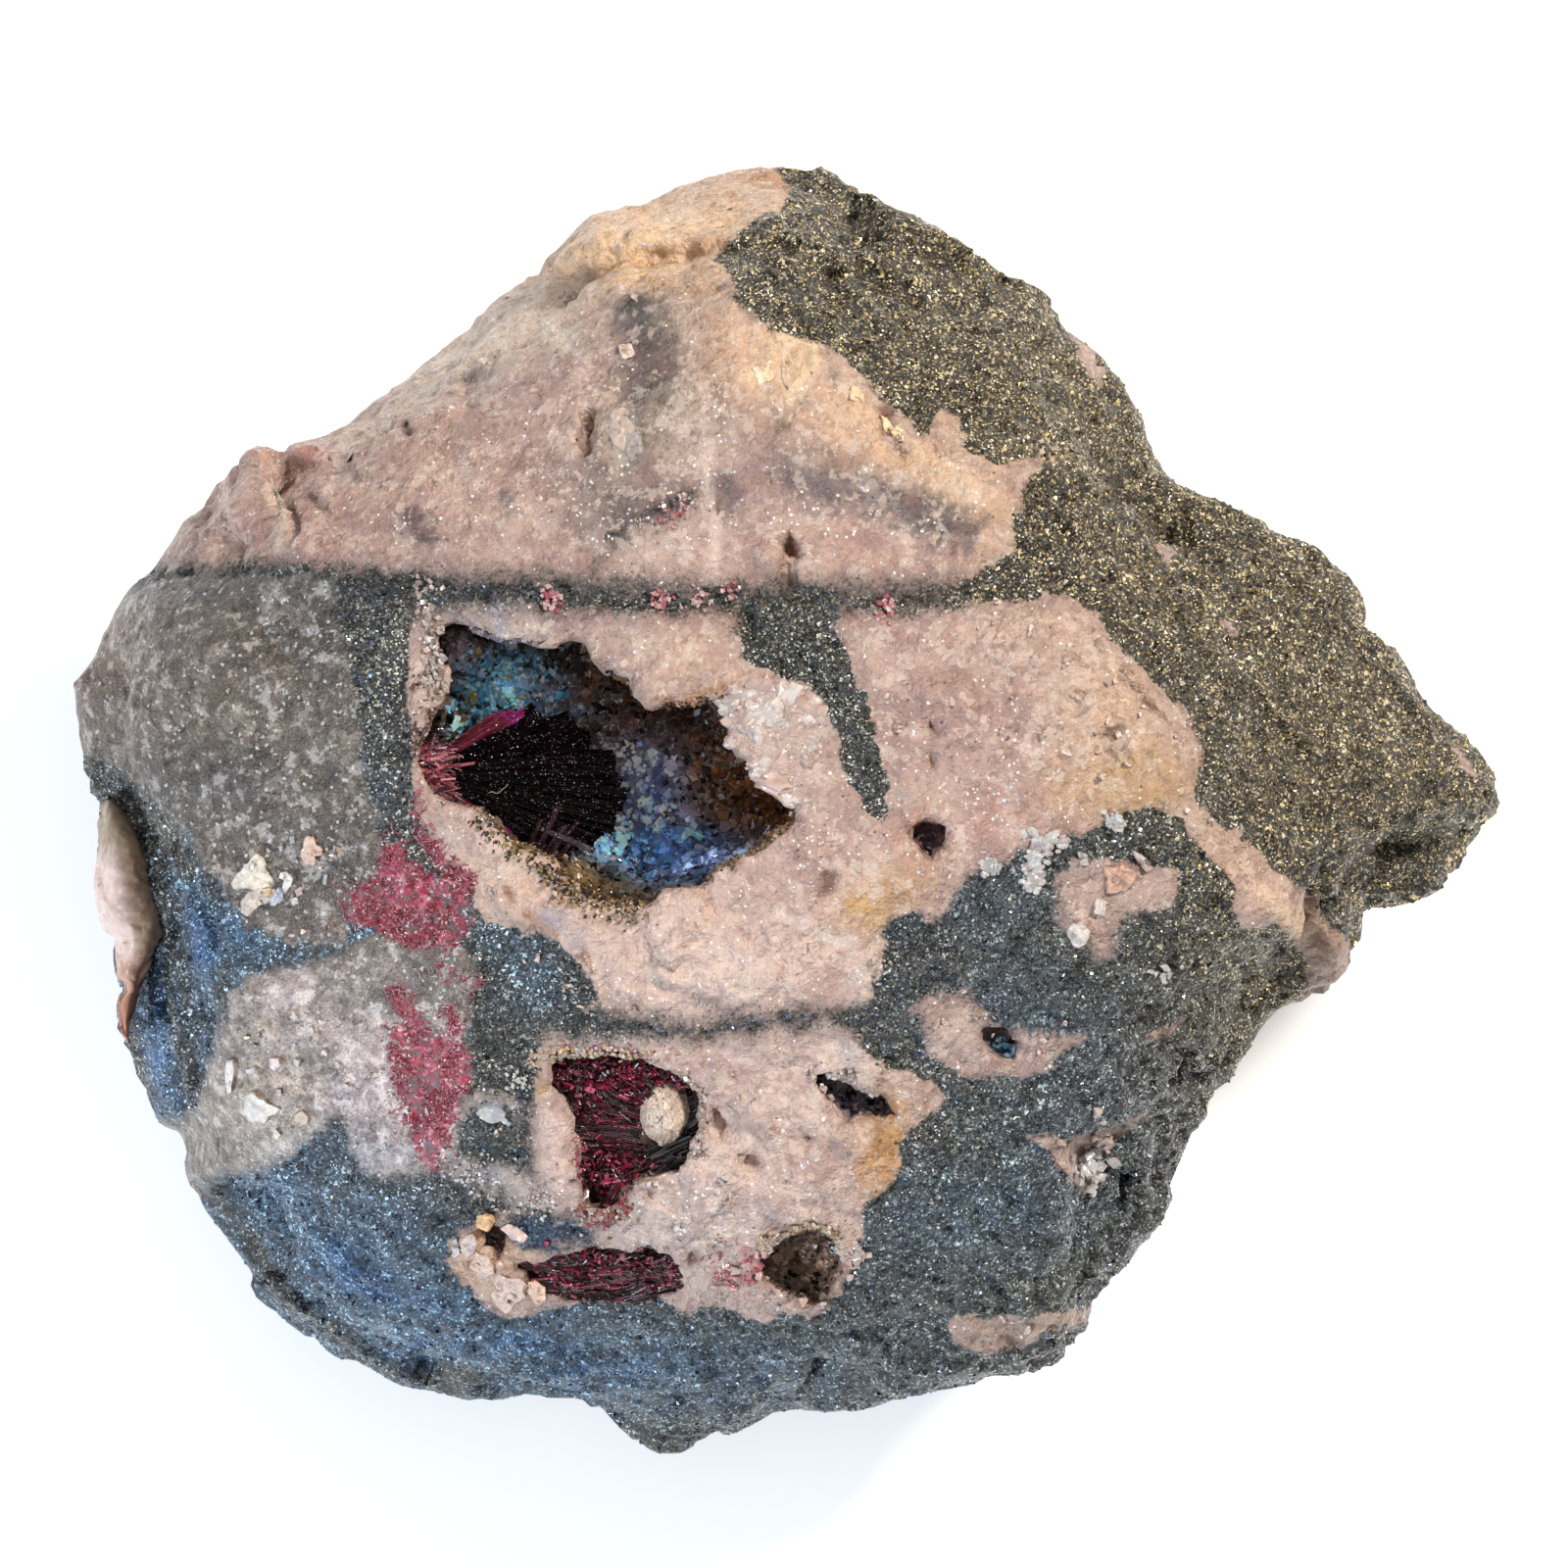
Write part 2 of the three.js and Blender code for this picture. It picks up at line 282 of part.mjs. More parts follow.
// Edge collapse by plane error, topology kept.
function simplify({ P, T }, target) {
  const n = P.length / 3, nf = T.length / 3;
  const pos = Float64Array.from(P), tri = Int32Array.from(T);
  const Q = new Float64Array(n * 10), vf = Array.from({ length: n }, () => new Set());
  const alive = new Uint8Array(nf).fill(1), ver = new Int32Array(n);
  const normal = (a, b, c) => {
    const ux = pos[3*b]-pos[3*a], uy = pos[3*b+1]-pos[3*a+1], uz = pos[3*b+2]-pos[3*a+2];
    const wx = pos[3*c]-pos[3*a], wy = pos[3*c+1]-pos[3*a+1], wz = pos[3*c+2]-pos[3*a+2];
    return [uy*wz-uz*wy, uz*wx-ux*wz, ux*wy-uy*wx];
  };
  for (let f = 0; f < nf; f++) {
    const [a, b, c] = [tri[3*f], tri[3*f+1], tri[3*f+2]];
    vf[a].add(f); vf[b].add(f); vf[c].add(f);
    let [x, y, z] = normal(a, b, c); const l = Math.hypot(x, y, z); if (l < 1e-12) continue;
    x /= l; y /= l; z /= l; const d = -(x*pos[3*a] + y*pos[3*a+1] + z*pos[3*a+2]), w = l * 0.5;
    const q = [x*x, x*y, x*z, x*d, y*y, y*z, y*d, z*z, z*d, d*d];
    for (const p of [a, b, c]) for (let i = 0; i < 10; i++) Q[10*p+i] += w * q[i];
  }
  const err = (q, x, y, z) => q[0]*x*x + 2*q[1]*x*y + 2*q[2]*x*z + 2*q[3]*x + q[4]*y*y + 2*q[5]*y*z + 2*q[6]*y + q[7]*z*z + 2*q[8]*z + q[9];
  const plan1 = (a, b) => {
    const q = new Float64Array(10); for (let i = 0; i < 10; i++) q[i] = Q[10*a+i] + Q[10*b+i];
    const [A, B, C, D, E, F, G, H, I] = q;
    const det = A*(E*H-F*F) - B*(B*H-F*C) + C*(B*F-E*C);
    const mx = (pos[3*a]+pos[3*b])/2, my = (pos[3*a+1]+pos[3*b+1])/2, mz = (pos[3*a+2]+pos[3*b+2])/2;
    const len = Math.hypot(pos[3*a]-pos[3*b], pos[3*a+1]-pos[3*b+1], pos[3*a+2]-pos[3*b+2]);
    let best = null;
    if (Math.abs(det) > 1e-9) {
      const x = -(D*(E*H-F*F) - B*(G*H-F*I) + C*(G*F-E*I)) / det;
      const y = -(A*(G*H-I*F) - D*(B*H-F*C) + C*(B*I-G*C)) / det;
      const z = -(A*(E*I-F*G) - B*(B*I-G*C) + D*(B*F-E*C)) / det;
      if (Math.hypot(x-mx, y-my, z-mz) < len) best = [x, y, z];
    }
    if (!best) {
      const opt = [[mx, my, mz], [pos[3*a], pos[3*a+1], pos[3*a+2]], [pos[3*b], pos[3*b+1], pos[3*b+2]]];
      best = opt.reduce((p, c) => err(q, ...c) < err(q, ...p) ? c : p);
    }
    return [Math.max(0, err(q, ...best)) + 1e-5 * len * len, best];
  };
  const heap = [];
  const push = (e) => { heap.push(e); let i = heap.length - 1; while (i > 0) { const p = (i - 1) >> 1; if (heap[p][0] <= heap[i][0]) break; [heap[p], heap[i]] = [heap[i], heap[p]]; i = p; } };
  const pop = () => { const r = heap[0], l = heap.pop(); if (heap.length) { heap[0] = l; let i = 0; for (;;) { let c = 2*i+1; if (c >= heap.length) break; if (c+1 < heap.length && heap[c+1][0] < heap[c][0]) c++; if (heap[i][0] <= heap[c][0]) break; [heap[i], heap[c]] = [heap[c], heap[i]]; i = c; } } return r; };
  const nbrs = (a) => { const s = new Set(); for (const f of vf[a]) for (let q = 0; q < 3; q++) if (tri[3*f+q] !== a) s.add(tri[3*f+q]); return s; };
  const queue = (a, b) => { const [e, p] = plan1(a, b); push([e, a, b, ver[a], ver[b], p]); };
  for (let a = 0; a < n; a++) for (const b of nbrs(a)) if (a < b) queue(a, b);
  let faces = nf;
  while (faces > target && heap.length) {
    const [, a, b, va, vb, p] = pop();
    if (ver[a] !== va || ver[b] !== vb) continue;
    const na = nbrs(a), nb = nbrs(b); let common = 0; for (const c of na) if (nb.has(c)) common++;
    if (common !== 2 || na.size + nb.size - 4 < 3) continue;
    let ok = true;
    const shared = []; for (const f of vf[a]) if (vf[b].has(f)) shared.push(f);
    for (const [v0] of [[a], [b]]) for (const f of vf[v0]) {
      if (shared.includes(f)) continue;
      const t = [tri[3*f], tri[3*f+1], tri[3*f+2]], o = normal(...t);
      const keep = [pos[3*v0], pos[3*v0+1], pos[3*v0+2]];
      pos[3*v0] = p[0]; pos[3*v0+1] = p[1]; pos[3*v0+2] = p[2];
      const q = normal(...t); pos[3*v0] = keep[0]; pos[3*v0+1] = keep[1]; pos[3*v0+2] = keep[2];
      const lo = Math.hypot(...o), lq = Math.hypot(...q);
      if (lq < 1e-4 || (lo > 1e-6 && (o[0]*q[0]+o[1]*q[1]+o[2]*q[2]) < 0.25 * lo * lq)) { ok = false; break; }
      // keep triangles from becoming needles
      let m = 0; for (let i = 0; i < 3; i++) { const s = t[i] === v0 ? p : [pos[3*t[i]], pos[3*t[i]+1], pos[3*t[i]+2]], r = t[(i+1)%3] === v0 ? p : [pos[3*t[(i+1)%3]], pos[3*t[(i+1)%3]+1], pos[3*t[(i+1)%3]+2]]; m = Math.max(m, (s[0]-r[0])**2 + (s[1]-r[1])**2 + (s[2]-r[2])**2); }
      if (lq / m < 0.06) { ok = false; break; }
    }
    if (!ok) continue;
    for (const f of shared) { alive[f] = 0; faces--; for (let q = 0; q < 3; q++) vf[tri[3*f+q]].delete(f); }
    for (const f of vf[b]) { for (let q = 0; q < 3; q++) if (tri[3*f+q] === b) tri[3*f+q] = a; vf[a].add(f); }
    vf[b] = new Set(); pos[3*a] = p[0]; pos[3*a+1] = p[1]; pos[3*a+2] = p[2];
    for (let i = 0; i < 10; i++) Q[10*a+i] += Q[10*b+i];
    ver[a]++; ver[b] = -1;
    for (const c of nbrs(a)) queue(Math.min(a, c), Math.max(a, c));
  }
  const map = new Int32Array(n).fill(-1), NP = [], NT = [];
  for (let f = 0; f < nf; f++) if (alive[f]) for (let q = 0; q < 3; q++) {
    const a = tri[3*f+q]; if (map[a] < 0) { map[a] = NP.length / 3; NP.push(pos[3*a], pos[3*a+1], pos[3*a+2]); } NT.push(map[a]);
  }
  return { P: NP, T: NT };
}

// ---------------------------------------------------------------- solids
const solid = ({ P, T }) => new wasm.Manifold(new wasm.Mesh({ numProp: 3, vertProperties: new Float32Array(P), triVerts: new Uint32Array(T) }));
const raw = (m) => { const g = m.getMesh(); return { P: Array.from(g.vertProperties), T: Array.from(g.triVerts) }; };
function hull(points) {            // closed convex solid round a set of points
  const g = new ConvexGeometry(points.map((p) => new THREE.Vector3(...p)));
  g.deleteAttribute('normal');
  const w = mergeVertices(g, 1e-4);
  return solid({ P: Array.from(w.attributes.position.array), T: Array.from(w.index.array) });
}
const join = (list) => list.reduce((a, b) => a.add(b));
const V3 = (a) => new THREE.Vector3(...a);

const skin = (m) => { const { P } = raw(m), out = []; for (let i = 0; i < P.length; i += 3) out.push([P[i], P[i + 1], P[i + 2]]); return hull(out); };

// A lath-like crystal from a to b: flat six-sided section, chisel end.
// wid is across the flat side, thk through it, face is the flat side's normal.
function lath(a, b, wid, thk, face, grow = 0, taper = 1.0, chisel = 0.25) {
  const A = V3(a), B = V3(b), d = B.clone().sub(A).normalize();
  const w = d.clone().cross(V3(face)).normalize(), t = w.clone().cross(d).normalize();
  A.addScaledVector(d, -grow); B.addScaledVector(d, grow);
  const ring = (c, s, end) => {
    const hw = wid * 0.5 * s + grow, ht = thk * 0.5 * s + grow;
    return [[1, 0], [0.72, 1], [-0.72, 1], [-1, 0], [-0.72, -1], [0.72, -1]].map(([p, q]) =>
      c.clone().addScaledVector(w, p * hw).addScaledVector(t, q * ht).addScaledVector(d, end * p));
  };
  return hull([...ring(A, 1, 0), ...ring(B, taper, chisel)].map((p) => p.toArray()));
}
// A cleavage rhomb, edge e, about centre c, turned by Euler angles.
function rhomb(c, e, ang, grow = 0) {
  const q = new THREE.Quaternion().setFromEuler(new THREE.Euler(...ang));
  const s = e.map((x) => x / 2 + grow), out = [];
  for (const i of [-1, 1]) for (const j of [-1, 1]) for (const k of [-1, 1])
    out.push(new THREE.Vector3(i * s[0] + 0.26 * j * s[1], j * s[1] + 0.26 * k * s[2], k * s[2]).applyQuaternion(q).add(V3(c)).toArray());
  return hull(out);
}
// point on the plan at a depth below the display face
const at = (u, v, deep) => lift(u, v, faceAt(u, v) - deep);

const pieces = {};      // name -> (grow) => solid

// Erythrite spray in the main cavity: flat blades fanning out of one root.
const FAN_TIPS = [[517,742,2.2],[541,744,2.6],[566,746,2.9],[591,752,3.1],[607,770,3.3],[625,786,3.5],[630,808,3.6],[632,828,3.7],[614,846,3.8],[584,850,3.6],[534,860,2.8]];
pieces.erythrite_fan = (g) => {
  const root = at(437, 787, 1.3);
  const list = FAN_TIPS.map(([u, v, deep], i) => {
    const r = [root[0] + 0.10 * Math.sin(i * 2.1), root[1] + 0.16 * (5 - i) * 0.5, root[2] - 0.05 * (i % 3)];
    return lath(r, at(u, v, deep), 1.75, 0.62, [0.12 * Math.sin(i * 1.7), 0.10 * Math.cos(i * 2.3), 1], g, 1.0, 0.15);
  });
  list.push(rhomb([root[0] - 0.55, root[1], root[2] - 0.1], [2.0, 1.9, 1.5], [0.3, 0.2, 0.1], g));
  return join(list);
};
// Stubby prisms crossing one another below the spray.
pieces.erythrite_cross_prisms = (g) => join([
  lath(at(543, 879, 1.5), at(570, 822, 1.0), 0.62, 0.55, [0.2, 0.1, 1], g),
  lath(at(549, 880, 1.7), at(577, 842, 1.2), 0.60, 0.5, [0, 0.2, 1], g),
  lath(at(553, 846, 1.35), at(606, 868, 1.1), 0.60, 0.5, [0.1, 0.1, 1], g),
]);
// Rounded dolomite knob standing up from the middle cavity's floor.
function lump(c, r, seed, n, g = 0) {
  const out = [];
  for (let i = 0; i < n; i++) {
    const z = 1 - 2 * (i + 0.5) / n, a = i * 2.399963, s = Math.sqrt(1 - z * z);
    const q = 1 + 0.16 * (hash(i, 3, 5, seed) - 0.5);
    out.push([c[0] + (r[0] + g) * q * s * Math.cos(a), c[1] + (r[1] + g) * q * s * Math.sin(a), c[2] + (r[2] + g) * q * z]);
  }
  return hull(out);
}
pieces.dolomite_knob = (g) => lump(at(677, 1132, 3.3), [1.35, 1.95, 2.7], 71, 60, g);
// Layered sheaf of erythrite in the middle cavity.
pieces.erythrite_sheaf_middle = (g) => {
  const L = [[556,1088,1.3,640,1104,1.6],[572,1076,1.4,650,1116,2.0],[604,1070,1.3,688,1099,1.7],[588,1096,1.8,664,1108,2.2],
    [578,1124,1.9,652,1130,2.4],[586,1148,2.0,652,1154,2.5],[590,1172,2.2,654,1178,2.6],[592,1196,2.2,650,1198,2.6],
    [634,1216,2.0,700,1176,2.8],[616,1086,2.2,626,1206,2.6]];
  return join(L.map(([a, b, c, d, e, f], i) => lath(at(a, b, c), at(d, e, f), 1.15, 0.6, [0.2 * Math.sin(i), 0.15, 1], g)));
};
// Strip of erythrite laths in the lower cavity.
pieces.erythrite_sheaf_lower = (g) => {
  const L = [[531,1290,1.0,604,1292,1.4],[560,1304,1.3,640,1290,1.6],[598,1306,1.4,694,1290,1.3],[632,1324,1.2,696,1302,1.5],[541,1314,1.1,606,1312,1.6],[590,1298,1.5,664,1312,1.5]];
  return join(L.map(([a, b, c, d, e, f], i) => lath(at(a, b, c), at(d, e, f), 0.9, 0.6, [0.15 * Math.cos(i), 0.2, 1], g)));
};
// Intergrown dolomite rhombs on the rim of the main cavity.
const RIM = [[764,716,2.6],[793,713,2.5],[818,724,2.3],[834,738,1.8],[768,744,2.4],[798,742,2.8],[814,770,2.2],[788,768,2.2],[810,798,1.7],[744,726,1.6]];
pieces.dolomite_cluster_rim = (g) => join(RIM.map(([u, v, e], i) => rhomb(at(u, v, 0.35 + 0.25 * hash(i, 1, 1, 5)), [e, e * 0.85, e * 0.75], [0.5 * (hash(i,2,1,5) - 0.5), 0.6 * (hash(i,3,1,5) - 0.5), 2.6 * hash(i,4,1,5)], g)));
// Pale calcite on the left flank, below the face.
pieces.calcite_lump_left = (g) => lump(lift(137, 936, 20.0), [1.75, 5.9, 5.2], 13, 110, g);
// Cleaved calcite chip on the grey quartz.
pieces.calcite_chip = (g) => join([
  rhomb(at(258, 892, 0.35), [1.9, 1.7, 1.5], [0.2, -0.2, 0.9], g), rhomb(at(278, 905, 0.3), [2.1, 1.6, 1.4], [-0.15, 0.25, 0.3], g),
  rhomb(at(262, 918, 0.4), [2.0, 1.6, 1.5], [0.25, 0.1, 1.6], g)]);
// Tuft of small calcite blades on the ore.
pieces.calcite_tuft = (g) => join([
  rhomb(at(1060, 862, 0.2), [1.5, 1.2, 1.3], [0.4, 0.3, 0.4], g), rhomb(at(1078, 860, 0.15), [1.4, 1.1, 1.2], [-0.3, 0.4, 1.2], g),
  rhomb(at(1052, 880, 0.25), [1.3, 1.2, 1.2], [0.2, -0.4, 2.0], g), rhomb(at(1050, 898, 0.25), [1.1, 1.1, 1.1], [0.5, 0.1, 0.8], g), rhomb(at(1066, 878, 0.4), [1.4, 1.3, 1.2], [0.1, 0.1, 0.2], g)]);
// Thin inset crusts of massive erythrite on the grey quartz.
function crust(poly, grow) {
  const map = makeMap((u, v) => polyDist(poly, u, v));
  return (x, y, z) => {
    const [u, v, k] = plan(x, y, z), F = faceMap(u, v);
    return smax(map(u, v) * k, Math.abs(z - (F - 0.4)) - 0.65, 0.35) - grow;
  };
}
const CRUST_UPPER = [[355,935],[360,908],[384,896],[397,866],[410,866],[422,886],[455,893],[482,905],[484,940],[470,962],[430,968],[394,955]];
const CRUST_LOWER = [[395,1050],[425,1043],[455,1053],[476,1075],[479,1102],[463,1145],[456,1175],[441,1192],[427,1182],[417,1150],[407,1115]];
const crustSolid = (poly, faces) => (g) => {
  const us = poly.map((p) => p[0]), vs = poly.map((p) => p[1]);
  const a = lift(Math.min(...us) - 30, Math.max(...vs) + 30, 26), b = lift(Math.max(...us) + 30, Math.min(...vs) - 30, 26);
  return solid(simplify(mesh(crust(poly, g), [a[0], a[1], 27.03], [b[0], b[1], 38.03], 0.5), faces));
};
pieces.erythrite_crust_upper = crustSolid(CRUST_UPPER, 260);
pieces.erythrite_crust_lower = crustSolid(CRUST_LOWER, 260);

// ---------------------------------------------------------------- build
const LO = [-42.61, -40.37, -1.43], HI = [43.0, 38.2, 41.5];
let rock = simplify(mesh(rockField, LO, HI, GRID), ROCK_FACES);
for (let i = 2; i < rock.P.length; i += 3) if (rock.P[i] < 0.02) rock.P[i] = 0;
let body = solid(rock);
const order = ['dolomite_knob', 'erythrite_fan', 'erythrite_cross_prisms', 'erythrite_sheaf_middle', 'erythrite_sheaf_lower',
  'dolomite_cluster_rim', 'calcite_lump_left', 'calcite_chip', 'calcite_tuft', 'erythrite_crust_upper', 'erythrite_crust_lower'];
const SLAB = ['erythrite_fan', 'erythrite_sheaf_middle', 'erythrite_sheaf_lower', 'erythrite_cross_prisms'];
const done = {};
for (const name of order) {
  let s = pieces[name](0);
  // a piece that stands clear of an earlier one by GAP
  if (name === 'erythrite_sheaf_middle') s = s.subtract(pieces.dolomite_knob(GAP));
  if (name === 'dolomite_cluster_rim') s = s.subtract(pieces.erythrite_fan(GAP));
  done[name] = largest(raw(s));
  const seat = pieces[name](GAP);
  body = body.subtract(SLAB.includes(name) ? skin(seat) : seat);
}
done.matrix_rock = largest(raw(body));

const LOOK = {
  matrix_rock: [0x8d7f78, 0.78, 0.0], erythrite_fan: [0x3a0618, 0.25, 0.0], erythrite_cross_prisms: [0x5c0d28, 0.25, 0.0],
  erythrite_sheaf_middle: [0x6e1030, 0.3, 0.0], erythrite_sheaf_lower: [0x7a1436, 0.3, 0.0], dolomite_knob: [0xcaa79b, 0.5, 0.0],
  dolomite_cluster_rim: [0xdcc4b8, 0.4, 0.0], calcite_lump_left: [0xc9a597, 0.45, 0.0], calcite_chip: [0xd6c8b6, 0.4, 0.0],
  calcite_tuft: [0xe2dcd4, 0.4, 0.0], erythrite_crust_upper: [0x9a3550, 0.7, 0.0], erythrite_crust_lower: [0x9a3550, 0.7, 0.0],
};
const group = new THREE.Group();
group.name = 'erythrite_specimen';
for (const name of ['matrix_rock', ...order]) {
  const { P, T } = done[name];
  const g = new THREE.BufferGeometry();
  const pos = new Float32Array(P.length);
  for (let i = 0; i < P.length; i += 3) { pos[i] = P[i] + SHIFT[0]; pos[i + 1] = P[i + 1] + SHIFT[1]; pos[i + 2] = P[i + 2]; }
  g.setAttribute('position', new THREE.BufferAttribute(pos, 3));
  g.setIndex(T);
  g.computeVertexNormals();
  const [color, roughness, metalness] = LOOK[name];
  const m = new THREE.Mesh(g, new THREE.MeshStandardMaterial({ color, roughness, metalness, flatShading: true }));
  m.name = name;
  group.add(m);
}
export default group;
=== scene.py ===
# Erythrite specimen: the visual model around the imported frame.
# Lengths in the shape code are millimetres on a plan sheet (unit 0.055 mm, u right, v down);
# every Blender mesh is written in metres in the frame's own axes.
import bpy
import math
import time
import numpy as np
from mathutils import Vector, Matrix


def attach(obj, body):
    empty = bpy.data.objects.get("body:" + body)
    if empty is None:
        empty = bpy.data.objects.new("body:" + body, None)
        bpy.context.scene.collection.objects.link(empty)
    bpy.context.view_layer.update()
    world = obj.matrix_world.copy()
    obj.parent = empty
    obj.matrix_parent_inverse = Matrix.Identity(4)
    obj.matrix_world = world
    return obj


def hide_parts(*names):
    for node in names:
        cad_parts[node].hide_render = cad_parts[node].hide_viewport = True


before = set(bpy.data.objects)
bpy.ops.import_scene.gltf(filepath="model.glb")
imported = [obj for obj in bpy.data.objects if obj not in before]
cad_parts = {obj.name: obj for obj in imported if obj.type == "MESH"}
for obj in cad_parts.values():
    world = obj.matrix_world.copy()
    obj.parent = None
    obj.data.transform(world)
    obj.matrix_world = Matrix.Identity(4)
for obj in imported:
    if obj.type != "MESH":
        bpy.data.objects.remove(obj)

T0 = time.time()
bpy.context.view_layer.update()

UNIT, CU, CV, ZREF, EYE = 0.055, 800.0, 800.0, 36.0, 500.0
SHIFT = np.array([-0.225, 1.43, 0.0])
BREAK, BREAK_AMP = 19.0, 3.4
CHIP_BIG, CHIP_BIG_AMP = 9.5, 0.75
CHIP_SMALL, CHIP_SMALL_AMP = 3.6, 0.28

OUTLINE = [[785,166],[845,172],[904,215],[971,251],[1004,282],[1047,289],[1069,302],[1092,341],[1124,366],[1147,394],[1155,415],[1165,426],[1167,443],[1193,487],[1222,506],[1253,514],[1273,536],[1288,539],[1307,554],[1326,553],[1344,560],[1371,584],[1389,610],[1396,641],[1422,662],[1455,718],[1508,763],[1526,796],[1533,822],[1500,875],[1471,907],[1436,921],[1386,927],[1390,951],[1372,992],[1343,1018],[1332,1023],[1314,1020],[1283,1048],[1280,1065],[1264,1078],[1255,1102],[1241,1107],[1226,1147],[1212,1161],[1194,1207],[1197,1232],[1183,1256],[1162,1269],[1152,1286],[1116,1325],[1108,1356],[1079,1390],[1041,1405],[1014,1405],[987,1414],[960,1416],[947,1423],[906,1429],[893,1435],[861,1440],[802,1437],[774,1448],[753,1461],[728,1464],[703,1480],[673,1483],[642,1466],[619,1440],[585,1428],[553,1424],[493,1431],[407,1412],[365,1386],[345,1385],[262,1325],[256,1314],[254,1291],[193,1210],[189,1191],[191,1163],[183,1154],[164,1147],[121,1054],[120,1019],[128,1008],[118,996],[117,961],[105,947],[98,926],[103,826],[90,804],[74,696],[89,681],[130,604],[173,560],[190,529],[208,520],[230,481],[249,465],[265,459],[280,465],[295,453],[333,444],[362,425],[460,352],[510,302],[544,281],[600,220],[667,205],[698,188]]
BASE = [[470,560],[700,500],[940,505],[1130,620],[1215,790],[1180,960],[1040,1110],[860,1170],[640,1180],[450,1080],[365,900],[375,700]]
HEIGHTS = [[205,565,26],[300,505,29.5],[420,435,30.5],[560,335,30],[690,235,29],[780,205,28],[300,560,33],[450,505,34.5],[600,420,34.5],[700,330,33.5],[742,285,33],[800,340,34],[900,440,35.3],[1035,520,35.8],[600,550,36],[800,550,36.5],[950,560,36.5],[125,645,25],[200,640,31],[300,640,33.5],[400,640,35.2],[550,615,36.6],[750,615,37],[900,640,37.4],[1050,640,37],[1130,650,36.4],[110,745,26],[200,750,31.5],[300,750,34],[400,750,35.8],[850,760,38],[1000,750,38],[1150,750,37],[1225,785,36],[140,850,26.5],[195,880,30.5],[260,900,32.5],[350,900,34.2],[450,900,35.6],[560,940,36.4],[850,900,38],[1000,900,37.6],[1150,880,36.8],[1250,880,35.6],[1350,950,33.5],[215,1010,30.5],[300,1030,32.8],[400,1030,34.2],[600,1025,36],[800,1010,37],[1000,1010,36.6],[1150,1010,35.5],[1280,985,34],[215,1140,27.5],[300,1130,31],[400,1150,32.8],[550,1150,34.4],[750,1140,35.3],[900,1150,35.2],[1050,1150,34],[290,1270,24],[400,1270,29.5],[550,1290,31.6],[700,1300,32],[850,1300,32],[1000,1270,31.2],[1070,1270,30],[400,1375,22],[500,1390,23.5],[650,1400,23.5],[800,1400,23.5],[950,1390,23.5],[1050,1370,23.5],[680,1455,18],[850,225,26],[950,290,26],[1000,350,29],[940,400,32.3],[1075,335,24.5],[1050,430,31.8],[1135,420,25],[1130,500,31],[1180,515,26.5],[1080,560,34.8],[1150,600,33.3],[1250,560,26.5],[1250,650,31],[1330,600,25.5],[1340,700,27.5],[1400,690,23.5],[1300,780,31.5],[1420,780,26.5],[1490,805,22.5],[1340,880,31],[1390,850,28]]
LEDGES = [
  {"poly": [[1392, 970], [1343, 1008], [1300, 1006], [1262, 1030], [1236, 1046], [1205, 1080], [1188, 1102], [1166, 1138], [1092, 1168], [1098, 1210], [1092, 1260], [1098, 1330], [1125, 1420], [1420, 1420], [1560, 1010]], "drop": 6.0, "w": 0.9},
  {"poly": [[1540, 828], [1470, 848], [1430, 846], [1395, 862], [1362, 892], [1362, 915], [1380, 940], [1560, 960]], "drop": 8.0, "w": 2.2},
  {"poly": [[40, 690], [86, 700], [104, 790], [140, 822], [170, 862], [186, 930], [212, 1010], [207, 1100], [196, 1165], [40, 1165]], "drop": 4.5, "w": 1.6},
  {"poly": [[1385, 1060], [1290, 1060], [1238, 1096], [1210, 1150], [1190, 1200], [1165, 1262], [1120, 1320], [1400, 1320]], "drop": 4.0, "w": 1.2},
  {"poly": [[1100, 345], [1118, 372], [1128, 400], [1148, 420], [1200, 380], [1120, 320]], "drop": 2.0, "w": 0.8},
  {"poly": [[170, 1200], [216, 1215], [262, 1290], [300, 1340], [350, 1375], [330, 1420], [150, 1300]], "drop": 0.4, "w": 3.0}
]
WAIST = [17,19,18,14,12,14,17,19,17,13,10,12,15,17,14,14]
